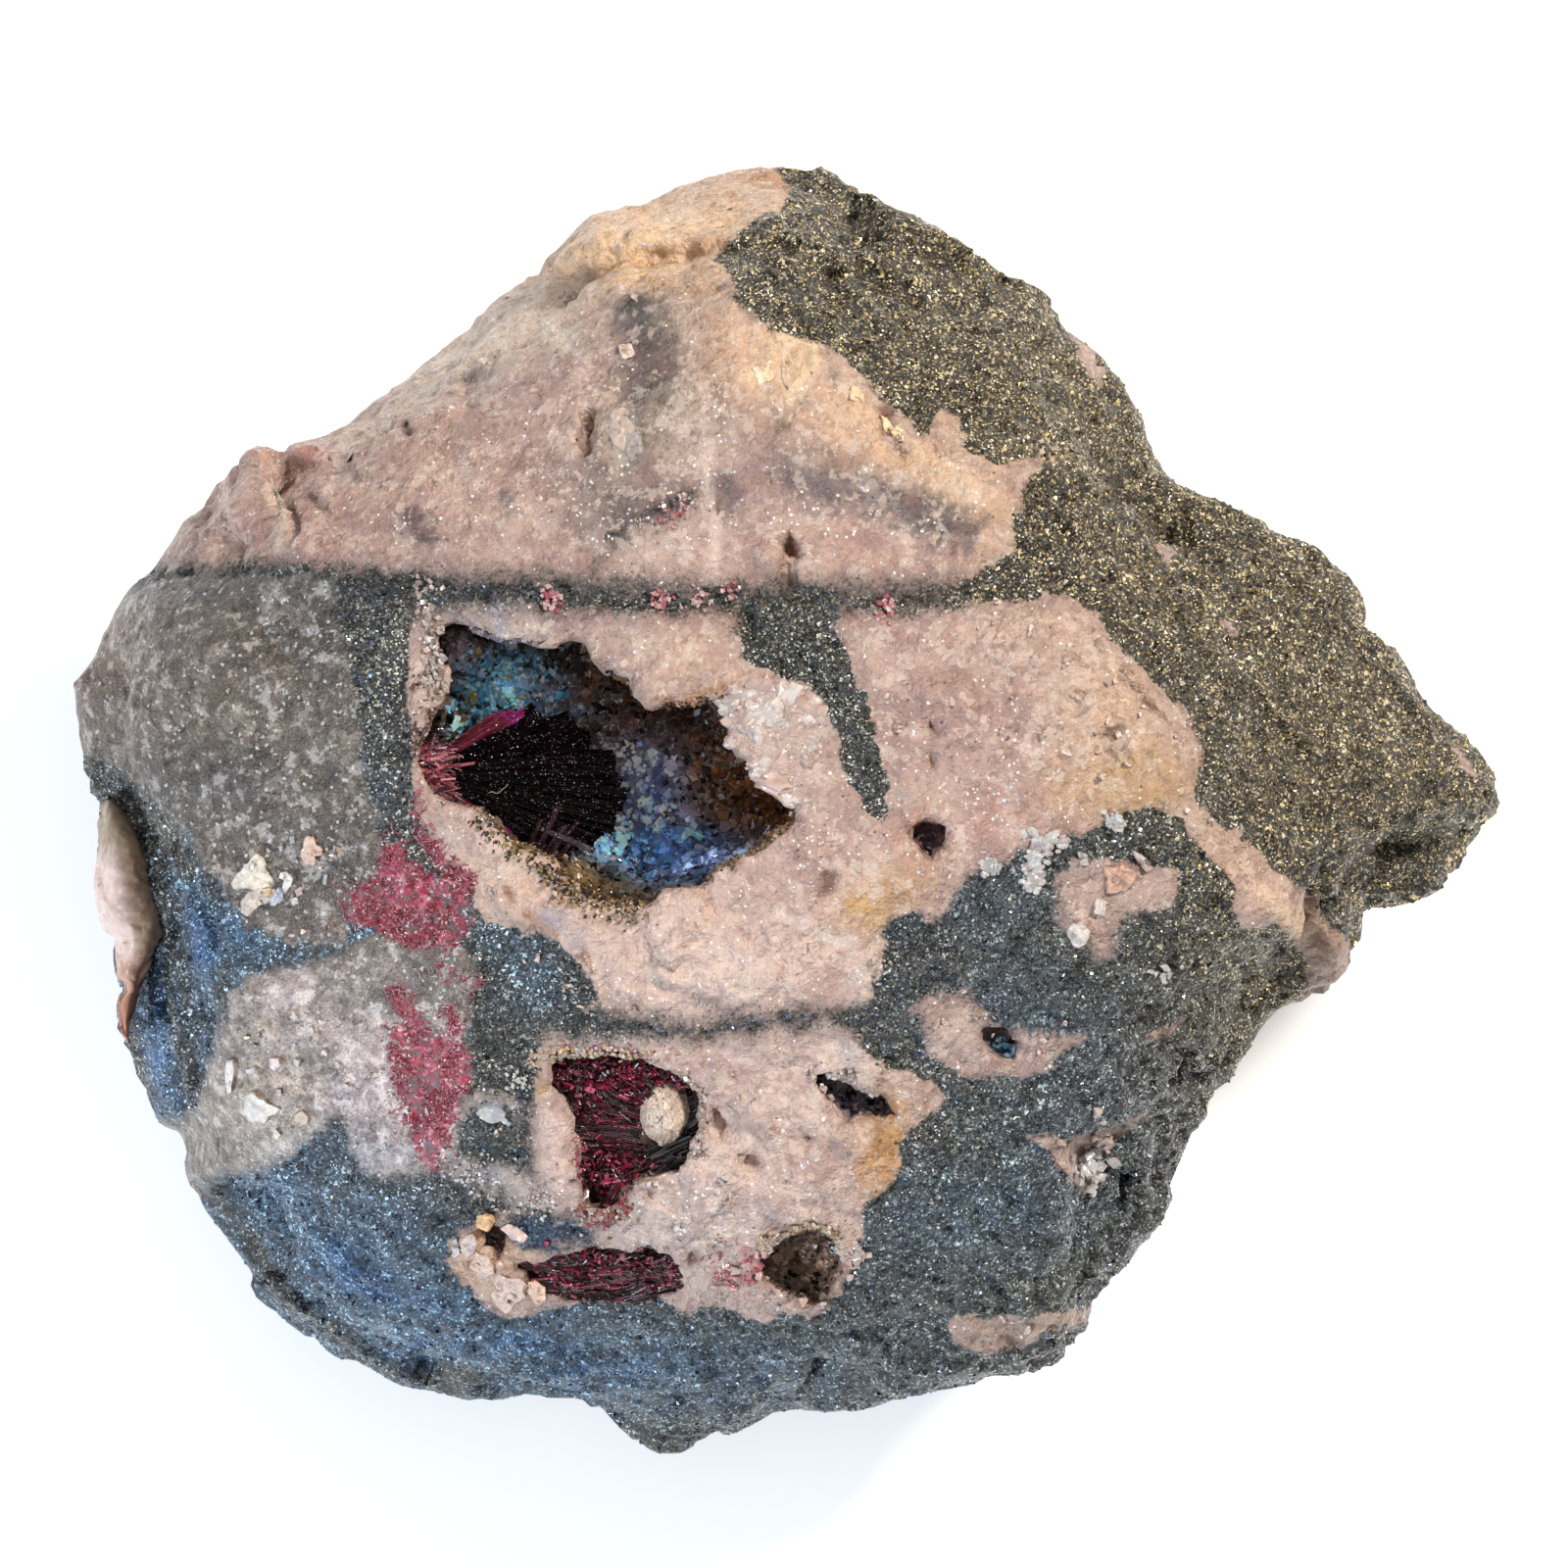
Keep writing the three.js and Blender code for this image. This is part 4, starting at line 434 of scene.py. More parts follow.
QUARTZ_LOW = [(235,1012),(262,992),(300,988),(350,972),(385,955),(470,958),(485,985),(472,1050),(480,1100),(462,1192),(430,1197),(400,1203),(370,1197),(360,1170),(345,1137),(330,1150),(300,1177),(270,1192),(205,1203),(192,1172),(200,1140),(210,1100),(225,1050)]
RED_ZONES = [
 [(355,935),(360,908),(384,896),(394,862),(408,862),(422,884),(452,893),(482,905),(484,940),(470,962),(432,968),(394,955)],
 [(395,1050),(425,1043),(455,1053),(476,1075),(479,1102),(463,1145),(456,1175),(441,1192),(427,1182),(417,1150),(407,1115)],
 [(398,1012),(410,1012),(434,1042),(426,1048),(404,1030)],
 [(455,1028),(464,1026),(468,1062),(458,1058)],
 [(424,848),(434,850),(456,872),(484,896),(478,904),(448,884)],
]

def soft_spots(u, v, base, spots):
    """Broad local tints of one mineral: base colour, then soft ellipses of other tints."""
    c = np.tile(np.asarray(base, float), (len(u), 1))
    for su, sv, ru, rv, ang, col, k in spots:
        a = math.radians(ang); dx = u - su; dy = v - sv
        x = dx * math.cos(a) + dy * math.sin(a); y = -dx * math.sin(a) + dy * math.cos(a)
        w = k * np.exp(-((x / ru) ** 2 + (y / rv) ** 2) ** 1.3)
        c += (np.asarray(col, float) - c) * w[:, None]
    return c

ALBEDO = 0.74                                    # tints are named as they look under the lamps; this makes them reflectances
def lin(c):
    c = np.clip(np.asarray(c, float) / 255.0, 0, 1)
    return ALBEDO * np.where(c <= 0.04045, c / 12.92, ((c + 0.055) / 1.055) ** 2.4)

PINK_BASE = (194, 165, 158)
PINK_SPOTS = [
 (500,1132,44,30,0,(204,206,212),1.0), (505,1205,70,34,0,(176,182,194),1.0),
 (700,950,270,110,0,(226,202,194),0.7), (720,1190,230,170,0,(222,201,198),0.75), (1080,760,150,140,0,(200,170,158),0.4),
 (745,985,100,50,0,(240,216,208),0.8), (640,1000,60,34,0,(236,208,198),0.7), (700,930,60,34,0,(234,200,186),0.6), (800,1120,100,60,0,(228,204,196),0.6), (780,1220,90,40,0,(226,204,200),0.6), (560,1160,30,60,0,(236,208,198),0.8),
 (880,1080,40,30,0,(240,224,218),0.7), (620,1050,60,16,0,(200,196,206),0.6), (640,1250,60,30,0,(206,190,190),0.6), (500,1280,50,40,0,(226,186,158),0.7), (600,900,60,40,0,(226,184,150),0.6), (520,900,50,40,20,(232,206,188),0.7),
 (700,240,120,70,-15,(226,184,150),0.9), (800,190,60,50,0,(205,160,120),0.8), (620,260,80,60,-30,(214,180,165),0.5),
 (480,355,110,26,-38,(228,212,200),0.9), (560,315,50,40,-20,(226,208,194),0.8), (420,400,60,22,-38,(224,206,196),0.7),
 (300,500,110,60,-35,(196,152,140),0.6), (250,540,90,40,-10,(180,142,134),0.5), (450,480,110,70,0,(190,158,146),0.6),
 (672,375,44,86,5,(146,128,120),0.9), (662,345,20,56,0,(92,86,84),0.75), (715,400,26,60,0,(160,140,130),0.6), (640,440,40,60,10,(160,140,124),0.5), (735,430,22,60,0,(150,130,124),0.5),
 (600,500,66,42,-10,(140,124,120),0.75), (650,520,70,26,-15,(104,94,92),0.7), (560,480,60,40,0,(166,142,136),0.5), (810,470,50,26,10,(150,128,124),0.5),
 (880,500,96,30,10,(128,110,110),0.8), (960,530,64,26,15,(112,98,100),0.75), (850,470,60,30,0,(150,128,120),0.6), (740,510,22,24,0,(128,108,106),0.6), (870,555,110,36,0,(206,168,152),0.6),
 (770,370,60,60,30,(222,188,156),0.7), (850,420,80,36,40,(228,186,154),0.8), (950,480,90,26,25,(232,192,158),0.85), (1010,540,40,40,0,(224,184,150),0.7),
 (640,262,90,40,-8,(255,214,168),1.0), (690,232,90,30,-10,(250,212,172),0.8), (808,366,26,34,10,(250,214,180),0.9), (780,388,30,18,0,(238,200,168),0.7), (760,350,50,24,20,(232,188,156),0.6), (752,300,40,20,20,(236,196,164),0.7), (590,300,30,20,0,(206,166,146),0.5),
 (790,410,40,40,0,(180,150,132),0.4), (420,535,26,18,0,(120,104,104),0.6), (520,510,80,40,0,(196,158,148),0.4),
 (560,635,100,22,0,(176,160,162),0.5), (700,660,80,50,10,(214,178,158),0.6), (640,660,20,50,0,(168,150,150),0.5), (500,630,80,18,0,(160,148,152),0.6),
 (800,740,60,60,0,(222,200,190),0.5), (770,900,80,80,0,(204,174,168),0.5), (870,880,70,70,0,(204,168,158),0.5),
 (900,920,60,30,-30,(206,160,100),0.6), (850,960,70,50,-20,(222,190,178),0.4), (700,1000,100,40,0,(224,196,188),0.5), (540,900,60,40,35,(222,186,172),0.6),
 (470,850,40,30,30,(218,188,180),0.5), (430,700,16,60,0,(226,204,192),0.5),
 (960,660,90,50,0,(196,162,150),0.5), (1060,680,80,60,0,(198,166,152),0.4), (980,760,120,60,10,(186,152,146),0.5), (1130,740,60,80,20,(222,186,150),0.6),
 (1170,800,60,40,0,(200,160,112),0.7), (1120,810,60,22,0,(206,168,126),0.5), (1080,640,60,26,0,(216,184,166),0.5), (1250,870,50,30,35,(220,186,158),0.6), (1330,940,60,26,40,(224,186,150),0.7),
 (940,860,30,40,0,(190,140,120),0.5), (1020,840,60,24,0,(206,160,150),0.4),
 (620,1045,80,14,0,(196,172,172),0.6), (760,1080,90,30,0,(206,178,174),0.5), (830,1180,80,70,0,(206,170,158),0.4), (900,1180,26,50,0,(196,142,86),0.75), (930,1120,40,30,0,(214,178,146),0.5),
 (700,1250,110,30,0,(188,172,172),0.45), (600,1150,40,60,0,(222,190,180),0.4), (490,1290,40,40,0,(220,178,146),0.6), (870,1300,26,50,0,(216,176,140),0.5), (780,1320,60,26,0,(222,190,180),0.4),
 (560,1150,26,60,0,(206,180,180),0.5), (1140,930,60,50,0,(188,164,156),0.5), (1000,1060,60,40,0,(176,158,158),0.5), (1040,1355,70,20,0,(200,172,152),0.5),
]
ORE_BASE = (66, 64, 62)
# The olive-gold tints of the upper right and the blue tints of the lower left are partly the ore's own tarnish and
# partly painted light of the warm and cool lamps.
ORE_SPOTS = [
 (1000,350,200,140,35,(94,82,66),0.9), (1250,650,230,150,35,(96,84,68),0.95), (1450,800,110,90,30,(92,82,66),0.9), (880,260,110,60,35,(64,60,56),0.7),
 (1100,460,90,60,40,(120,106,82),0.6), (1150,560,120,50,40,(96,84,68),0.5), (1330,760,140,60,35,(94,84,68),0.5), (1280,1000,130,60,0,(116,104,84),0.7),
 (760,290,50,50,0,(46,46,48),0.6), (1060,550,60,40,30,(44,46,50),0.6), (840,680,60,80,20,(50,52,54),0.6), (1440,895,90,26,0,(56,58,58),0.6),
 (1050,950,110,60,0,(94,98,102),0.6), (1200,1000,120,60,0,(104,104,92),0.5), (1100,1110,120,50,0,(98,104,110),0.5),
 (300,1250,170,110,20,(78,98,122),0.9), (450,1350,200,80,5,(76,96,120),0.9), (700,1400,230,60,0,(84,98,114),0.85), (950,1330,180,90,0,(92,100,104),0.7),
 (1050,1250,120,120,0,(98,100,92),0.6), (210,930,60,140,-15,(62,86,112),0.9), (180,1050,60,120,-15,(60,86,116),0.9), (380,850,40,140,0,(84,90,100),0.6),
 (260,880,90,60,0,(78,92,106),0.6), (330,965,90,22,0,(66,90,112),0.6), (550,1010,50,40,20,(72,92,112),0.6), (520,960,50,26,20,(76,96,118),0.5), (280,590,130,14,0,(56,56,60),0.6),
 (150,800,50,80,0,(96,96,104),0.5), (600,596,430,13,0,(40,40,44),0.9), (300,590,160,14,0,(40,40,44),0.8), (700,1042,330,12,0,(52,52,58),0.8), (850,640,40,40,0,(56,58,62),0.8), (1000,900,140,60,0,(66,72,80),0.9), (1050,1040,130,70,0,(72,80,90),0.85), (1090,1160,120,60,0,(78,84,92),0.8), (1000,1240,150,60,0,(74,84,96),0.85), (1150,960,60,40,0,(80,82,84),0.7), (900,930,60,40,0,(54,60,70),0.8),
 (367,1303,40,16,30,(40,90,150),0.8), (400,1322,60,14,12,(44,90,146),0.8), (343,1273,22,14,0,(50,100,158),0.7), (420,1380,40,16,10,(48,92,146),0.7), (533,1373,60,14,0,(44,92,150),0.7), (290,1217,30,18,0,(48,84,130),0.6), (620,1400,80,20,-5,(60,100,150),0.6),
 (257,1267,10,34,-30,(92,84,78),0.9), (283,1310,34,10,50,(96,88,80),0.9), (222,1215,8,40,-20,(90,84,80),0.9), (330,1352,60,9,32,(98,92,88),0.8), (420,1403,70,9,14,(100,94,92),0.8), (467,1400,24,10,20,(140,128,122),0.7), (392,1357,12,7,20,(190,192,198),0.7), (345,1210,60,26,0,(84,88,92),0.6), (560,1215,40,20,0,(70,84,104),0.7),
 (198,965,16,38,0,(52,84,150),0.95), (158,1045,11,62,-6,(66,100,158),0.95), (182,1062,10,46,-8,(96,104,128),0.8), (168,930,7,70,-10,(66,58,48),0.95), (172,1030,6,70,-4,(70,62,52),0.95), (196,1040,7,60,-12,(66,58,50),0.9), (211,1045,7,22,0,(36,30,28),0.95), (140,1075,6,50,-14,(80,72,62),0.9), (176,860,12,50,-30,(86,78,66),0.85), (150,830,20,30,-40,(96,90,92),0.7), (222,950,8,70,0,(58,76,96),0.7),
 (216,900,8,60,-8,(60,54,50),0.5), (170,870,30,10,30,(70,64,60),0.8), (226,1000,10,50,0,(84,78,70),0.7), (192,1090,10,60,-12,(62,56,52),0.85), (160,1040,12,80,-10,(70,110,160),0.8), (186,960,8,60,-10,(52,48,46),0.85), (212,965,14,30,0,(46,96,160),0.8), (240,950,50,20,0,(60,100,140),0.6), (206,1060,12,60,-10,(80,90,110),0.7), (500,1150,50,40,0,(66,74,80),0.7), (560,1260,50,18,0,(52,76,112),0.9),
]
QUARTZ_BASE = (124, 110, 98)
QUARTZ_SPOTS = [
 (350,1095,175,125,0,(186,176,174),0.85),
 (250,640,160,50,0,(92,84,78),0.8), (260,760,150,120,0,(98,90,84),0.8), (200,720,70,80,0,(124,104,86),0.6), (110,660,50,80,0,(136,108,90),0.7), (300,760,90,80,0,(134,124,112),0.6),
 (330,650,40,50,0,(92,88,86),0.5), (220,800,90,40,0,(86,80,78),0.6), (330,880,60,50,0,(104,98,98),0.8), (300,940,60,30,0,(120,110,104),0.6), (200,600,110,16,0,(84,84,88),0.5),
 (300,1040,54,44,0,(214,192,196),0.8), (290,1100,50,24,0,(140,118,98),0.85), (262,1052,24,20,0,(150,130,110),0.7), (245,1140,40,40,0,(168,148,124),0.8), (350,1130,40,34,0,(190,172,176),0.7), (345,1080,30,24,0,(120,108,110),0.6), (400,1100,20,30,0,(220,200,206),0.8), (260,1080,60,60,0,(186,170,160),0.5), (330,1050,60,50,0,(176,164,158),0.7), (270,1150,60,50,0,(206,190,178),0.8), (380,1110,44,70,0,(206,188,190),0.8), (430,1000,60,40,0,(128,122,120),0.7),
 (450,1120,24,70,0,(216,196,198),0.7), (360,1180,90,20,0,(190,184,196),0.7), (230,1170,50,30,0,(128,116,108),0.6), (360,1000,50,30,0,(158,148,140),0.5),
]

# --- plates, pits and strokes: cleavage steps, small broken hollows and streaks of the dolomite
PLATES = [  # outline, rise in mm, fall per mm towards +u and +v
 ([(681,958),(700,938),(722,934),(745,940),(762,960),(790,972),(806,988),(794,1004),(778,1020),(762,1024),(757,1034),(730,1022),(712,1012),(690,1002),(668,1000),(672,978)], 0.50, 0.02, -0.04),
 ([(662,925),(680,912),(705,908),(722,916),(718,936),(700,960),(688,984),(672,975),(660,950)], 0.42, -0.06, 0.0),
 ([(620,972),(640,968),(668,975),(682,990),(700,1000),(702,1026),(670,1024),(640,1016),(622,1000)], 0.30, 0.05, 0.0),
 ([(545,1070),(556,1068),(560,1090),(575,1120),(585,1150),(580,1185),(572,1215),(548,1215),(542,1180),(545,1120)], 0.28, 0.0, 0.0),
 ([(862,1060),(880,1056),(898,1075),(905,1095),(890,1112),(880,1105),(872,1085)], 0.45, 0.05, 0.0),
 ([(850,1160),(878,1130),(884,1150),(895,1165),(880,1180),(855,1185)], 0.40, 0.0, 0.05),
 ([(505,905),(530,900),(545,912),(566,930),(590,945),(600,962),(585,975),(566,962),(545,950),(522,938),(508,925)], 0.35, 0.0, 0.0),
 ([(600,618),(745,625),(752,640),(758,668),(745,690),(720,700),(690,712),(668,716),(648,702),(640,690),(612,676),(600,660)], 0.30, 0.02, -0.03),
 ([(1105,700),(1130,690),(1150,712),(1146,740),(1120,750),(1104,730)], 0.30, 0.04, 0.0),
 ([(1000,640),(1040,628),(1085,640),(1096,668),(1070,690),(1030,684),(1004,668)], 0.26, 0.03, 0.03),
 ([(930,700),(960,690),(990,705),(994,740),(970,760),(940,750),(926,726)], 0.24, 0.0, 0.05),
 ([(770,1110),(805,1104),(822,1128),(812,1160),(780,1166),(764,1140)], 0.28, 0.03, 0.0),
 ([(700,1195),(740,1188),(756,1210),(744,1236),(712,1240),(698,1220)], 0.28, -0.03, 0.0),
 ([(780,1200),(820,1196),(838,1222),(820,1250),(786,1246),(772,1222)], 0.26, 0.0, 0.04),
 ([(470,1262),(500,1256),(514,1276),(500,1296),(474,1296),(462,1280)], 0.30, 0.0, 0.0),
 ([(560,250),(640,232),(700,250),(690,290),(640,312),(586,300)], 0.22, 0.02, 0.02),
 ([(690,150),(760,130),(780,160),(760,200),(712,216),(684,190)], 0.30, 0.03, 0.0),
 ([(810,420),(850,405),(880,425),(868,455),(828,462),(806,446)], 0.20, 0.0, 0.03),
 ([(930,470),(985,470),(1010,492),(996,520),(950,512),(926,492)], 0.22, 0.0, 0.0),
 ([(360,455),(420,425),(452,440),(440,480),(400,500),(362,486)], 0.26, 0.02, 0.0),
 ([(250,1010),(300,1000),(318,1030),(300,1060),(262,1060),(246,1036)], 0.24, 0.0, 0.0),
 ([(250,1100),(286,1080),(306,1110),(290,1150),(258,1150),(244,1124)], 0.26, 0.02, 0.0),
]
HOLLOWS = [
 [(798,546),(805,543),(816,565),(808,573),(797,560)], [(797,575),(808,574),(812,586),(805,598),(795,584)], [(599,419),(607,417),(604,440),(596,436)], [(591,450),(601,450),(601,464),(592,461)],
 [(779,483),(789,482),(786,492),(778,490)], [(729,515),(737,513),(737,525),(731,523)], [(893,412),(906,416),(914,430),(912,440),(924,452),(922,468),(908,458),(900,440)], [(835,892),(850,887),(854,903),(843,916),(832,905)],
 [(828,905),(840,910),(836,918),(826,914)], [(756,1178),(770,1180),(766,1196),(758,1190)], [(818,1160),(828,1158),(830,1166),(820,1168)], [(940,865),(950,862),(954,872),(944,876)], [(412,438),(420,436),(420,446),(414,446)],
 [(1110,640),(1118,642),(1128,668),(1120,664)], [(1140,680),(1147,682),(1158,706),(1150,702)], [(1160,706),(1166,708),(1178,726),(1170,724)], [(1126,742),(1150,742),(1148,772),(1132,780),(1124,762)], [(655,1215),(664,1213),(668,1226),(658,1228)],
 [(284,478),(296,472),(300,492),(292,512),(284,500)], [(700,1280),(712,1276),(716,1288),(704,1292)], [(860,620),(868,618),(872,628),(862,630)],
]
STROKES = [  # path, half-width px, colour, strength, raggedness px
 ([(722,450),(724,500),(729,540),(727,600)], 5, (238,212,204), 0.75, 3), ([(630,545),(655,528),(680,515),(705,505)], 7, (70,62,62), 0.85, 7), ([(575,600),(600,585),(640,548)], 5, (96,84,80), 0.5, 6),
 ([(650,318),(656,350),(660,380),(664,410)], 20, (84,80,80), 0.75, 10), ([(668,330),(676,372),(680,420)], 12, (120,106,98), 0.6, 8), ([(640,430),(650,455),(644,470)], 13, (120,112,104), 0.7, 8), ([(614,480),(612,510),(622,525)], 9, (126,112,104), 0.6, 7),
 ([(420,530),(428,545)], 8, (74,66,68), 0.75, 6), ([(516,505),(524,520)], 7, (80,74,80), 0.65, 5), ([(740,495),(752,508)], 9, (110,98,102), 0.65, 6), ([(806,488),(830,500),(860,505)], 14, (126,110,112), 0.7, 9), ([(880,500),(915,515),(945,530),(985,545)], 15, (104,92,96), 0.8, 10),
 ([(920,485),(960,505),(990,530)], 10, (140,122,112), 0.5, 8), ([(815,405),(822,412)], 7, (88,72,66), 0.8, 4), ([(792,438),(800,428)], 5, (96,76,58), 0.75, 4), ([(852,385),(870,395),(884,410)], 6, (110,100,96), 0.6, 4), ([(740,300),(762,312),(790,322)], 5, (90,78,70), 0.5, 5),
 ([(798,352),(826,350),(820,372),(812,396)], 15, (252,226,190), 0.85, 5), ([(765,378),(790,386)], 12, (246,216,182), 0.7, 6), ([(700,325),(712,380),(720,430)], 8, (220,192,176), 0.45, 5), ([(870,395),(900,440),(940,475),(985,500)], 14, (246,212,178), 0.65, 6), ([(960,425),(985,450),(1040,475)], 12, (240,206,170), 0.6, 5),
 ([(635,420),(640,450),(636,470)], 10, (206,196,180), 0.5, 6), ([(560,335),(580,350)], 11, (226,220,214), 0.6, 6), ([(480,350),(520,330),(560,310),(600,290)], 14, (232,220,206), 0.6, 8), ([(355,440),(345,480),(330,520),(318,560)], 7, (232,206,198), 0.5, 4), ([(278,500),(288,530),(282,548)], 9, (238,214,196), 0.7, 4), ([(225,500),(232,530),(240,560)], 6, (222,196,188), 0.55, 4),
 ([(298,452),(320,470),(332,462)], 8, (200,134,122), 0.55, 4), ([(250,455),(270,462)], 10, (206,150,132), 0.5, 5), ([(312,530),(330,552)], 6, (178,116,108), 0.5, 4),
 ([(795,930),(820,945),(842,958),(868,960)], 4, (242,226,222), 0.7, 3), ([(868,925),(885,930),(900,938)], 8, (226,180,110), 0.7, 6), ([(905,1130),(912,1160),(918,1190)], 10, (214,160,96), 0.65, 7), ([(885,1195),(905,1180)], 8, (200,150,84), 0.6, 6), ([(548,1075),(552,1110)], 5, (214,160,84), 0.6, 5),
 ([(905,935),(930,955),(950,985)], 9, (206,166,120), 0.4, 6), ([(620,650),(626,690)], 4, (150,134,134), 0.5, 2), ([(660,630),(664,700)], 5, (158,138,132), 0.45, 3), ([(700,640),(706,690)], 4, (200,166,146), 0.5, 3), ([(645,640),(650,680)], 4, (222,196,182), 0.5, 3), ([(640,712),(672,720),(700,716),(742,700)], 4, (170,124,84), 0.7, 3),
 ([(505,622),(512,650)], 5, (150,170,206), 0.55, 4), ([(470,600),(540,606),(600,612)], 5, (84,76,78), 0.6, 4),
 ([(515,905),(530,930),(560,950),(590,965),(604,990)], 3, (150,100,72), 0.7, 2), ([(470,870),(495,905),(510,935)], 6, (226,200,190), 0.5, 4), ([(560,935),(590,955)], 10, (178,176,198), 0.6, 6), ([(545,960),(570,985)], 9, (196,176,186), 0.5, 6),
 ([(395,880),(402,925),(405,960),(408,990)], 3, (150,40,66), 0.8, 2), ([(445,860),(470,890)], 3, (206,130,140), 0.7, 2), ([(380,962),(382,1000),(388,1030)], 2, (214,210,210), 0.7, 1), ([(468,1060),(485,1080),(492,1110)], 5, (170,160,140), 0.55, 3),
 ([(464,1140),(466,1165)], 2, (244,236,236), 0.8, 1), ([(462,1180),(490,1200)], 2, (236,214,216), 0.7, 2), ([(545,1060),(548,1120)], 4, (226,196,140), 0.6, 3),
 ([(1060,870),(1090,872),(1120,880)], 5, (214,200,196), 0.5, 4), ([(1285,905),(1310,935),(1340,960)], 7, (238,204,168), 0.55, 5), ([(1250,880),(1270,905)], 5, (200,160,140), 0.5, 4),
]

FLAKY = [(1110,720,50,80,15,1,1.0), (1040,660,80,40,0,1,0.8), (1060,750,60,60,0,1,0.5), (960,650,60,30,0,1,0.4), (720,1180,200,140,0,1,0.55), (690,980,110,50,0,1,0.6), (500,1300,50,50,0,1,0.7), (830,1110,70,60,0,1,0.7),
         (340,1090,120,100,0,1,0.6), (930,480,110,30,25,1,0.5), (480,350,110,26,-38,1,0.6), (700,230,110,60,-15,1,0.5), (1140,930,60,50,0,1,0.6), (1290,910,70,30,35,1,0.4), (520,930,70,40,30,1,0.5)]
GLITTER = [(585,330,20,16,0,1,0.9), (588,358,14,12,0,1,0.9), (588,300,14,12,0,1,0.9), (715,480,26,34,0,1,1.0), (690,505,40,22,0,1,0.8), (590,500,50,30,0,1,0.7), (560,470,30,20,0,1,0.6), (575,410,18,14,0,1,0.7), (640,540,50,24,0,1,0.6),
           (830,530,60,24,0,1,0.4), (470,480,80,40,0,1,0.25), (900,770,40,30,0,1,0.7), (985,740,30,30,0,1,0.5), (1020,800,80,40,0,1,0.4), (860,850,80,60,0,1,0.4), (960,860,30,30,0,1,0.8), (640,1140,100,60,0,1,0.4), (720,1230,120,40,0,1,0.6), (640,1010,80,30,0,1,0.7),
           (545,1000,40,40,0,1,0.9), (620,610,140,20,0,1,0.7), (510,640,40,22,0,1,0.8), (800,740,60,60,0,1,0.5), (760,930,60,50,0,1,0.4)]

# ------------------------------------------------------------------ fine relief and zone fields
def wander(V, u, v):
    """How far, in plan units, the veins stray on the undercut flanks below the waist."""
    hid = smooth((waist(u, v) + 0.5 - V[:, 2]) / 4.5)
    w = [hid * (85 * vnoise(V / 9.0, s) + 60 * vnoise(V / 4.6, s + 2) + 26 * vnoise(V / 2.0, s + 4)) for s in (107, 108)]
    return w[0], w[1]

def zone_fields(V, warp=True):
    """Signed distances (mm) to each mineral's outline at points of the skin, with the outlines
    bent a little by noise, and more so down the flanks where the veins wander."""
    u, v, k = plan(V)
    deep = smooth((22.0 - V[:, 2]) / 14.0)
    if warp:
        a = 5.0 * vnoise(V / 0.8, 101) + 3.0 * vnoise(V / 0.35, 103) + deep * 90 * vnoise(V / 14.0, 105)
        b = 5.0 * vnoise(V / 0.8, 102) + 3.0 * vnoise(V / 0.35, 104) + deep * 90 * vnoise(V / 14.0, 106)
        wu, wv = wander(V, u, v)
        uu, vv = u + a + wu, v + b + wv
    else:
        uu, vv = u, v
    pink = np.minimum(poly_dist(PINK_UPPER, uu, vv), poly_dist(PINK_MID, uu, vv))
    pink = np.maximum(pink, -poly_dist(DARK_VEIN, uu, vv))
    pink = np.minimum(pink, poly_dist(PINK_LOW, uu, vv))
    for P in PINK_BITS:
        pink = np.minimum(pink, poly_dist(P, uu, vv))
    for P in DARK_BITS[:2]:
        pink = np.maximum(pink, -poly_dist(P, uu, vv))
    quartz = np.minimum(poly_dist(QUARTZ, uu, vv), poly_dist(QUARTZ_LOW, uu, vv))
    red = np.full(len(V), 1e3)
    for P in RED_ZONES:
        red = np.minimum(red, poly_dist(P, uu, vv))
    vug = np.full(len(V), 1e3)
    F0 = face_map(u, v)
    for i in range(len(VUGS)):
        s = (F0 - V[:, 2])
        vug = np.minimum(vug, vug_maps[i](u, v) * UNIT + np.maximum(0, 0.9 - s) * 0.8)
    return u, v, pink * UNIT, quartz * UNIT, red * UNIT, vug, F0 - V[:, 2]

def near(poly, u, v, pad=26.0, sign=True):
    """Signed distance in px to an outline (or plain distance to a path), worked out only close to it."""
    P = np.asarray(poly, float); lo, hi = P.min(0) - pad, P.max(0) + pad
    i = np.where((u > lo[0]) & (u < hi[0]) & (v > lo[1]) & (v < hi[1]))[0]
    if sign:
        return i, poly_dist(poly, u[i], v[i])
    dd = np.full(len(i), 1e9)
    for a, b in zip(P[:-1], P[1:]):
        e = b - a; t = np.clip(((u[i] - a[0]) * e[0] + (v[i] - a[1]) * e[1]) / (e @ e), 0, 1)
        dd = np.minimum(dd, np.hypot(u[i] - a[0] - e[0] * t, v[i] - a[1] - e[1] * t))
    return i, dd

def hollows(u, v, V):
    """0 to 1: how far down in one of the small broken hollows."""
    k = np.zeros(len(u)); w1 = 4.0 * vnoise(V / 0.5, 301); w2 = 4.0 * vnoise(V / 0.5, 302)
    for P in HOLLOWS:
        i, d = near(P, u, v); d = poly_dist(P, u[i] + w1[i], v[i] + w2[i])
        k[i] = np.maximum(k[i], smooth(0.5 - d / 5.0))
    return k

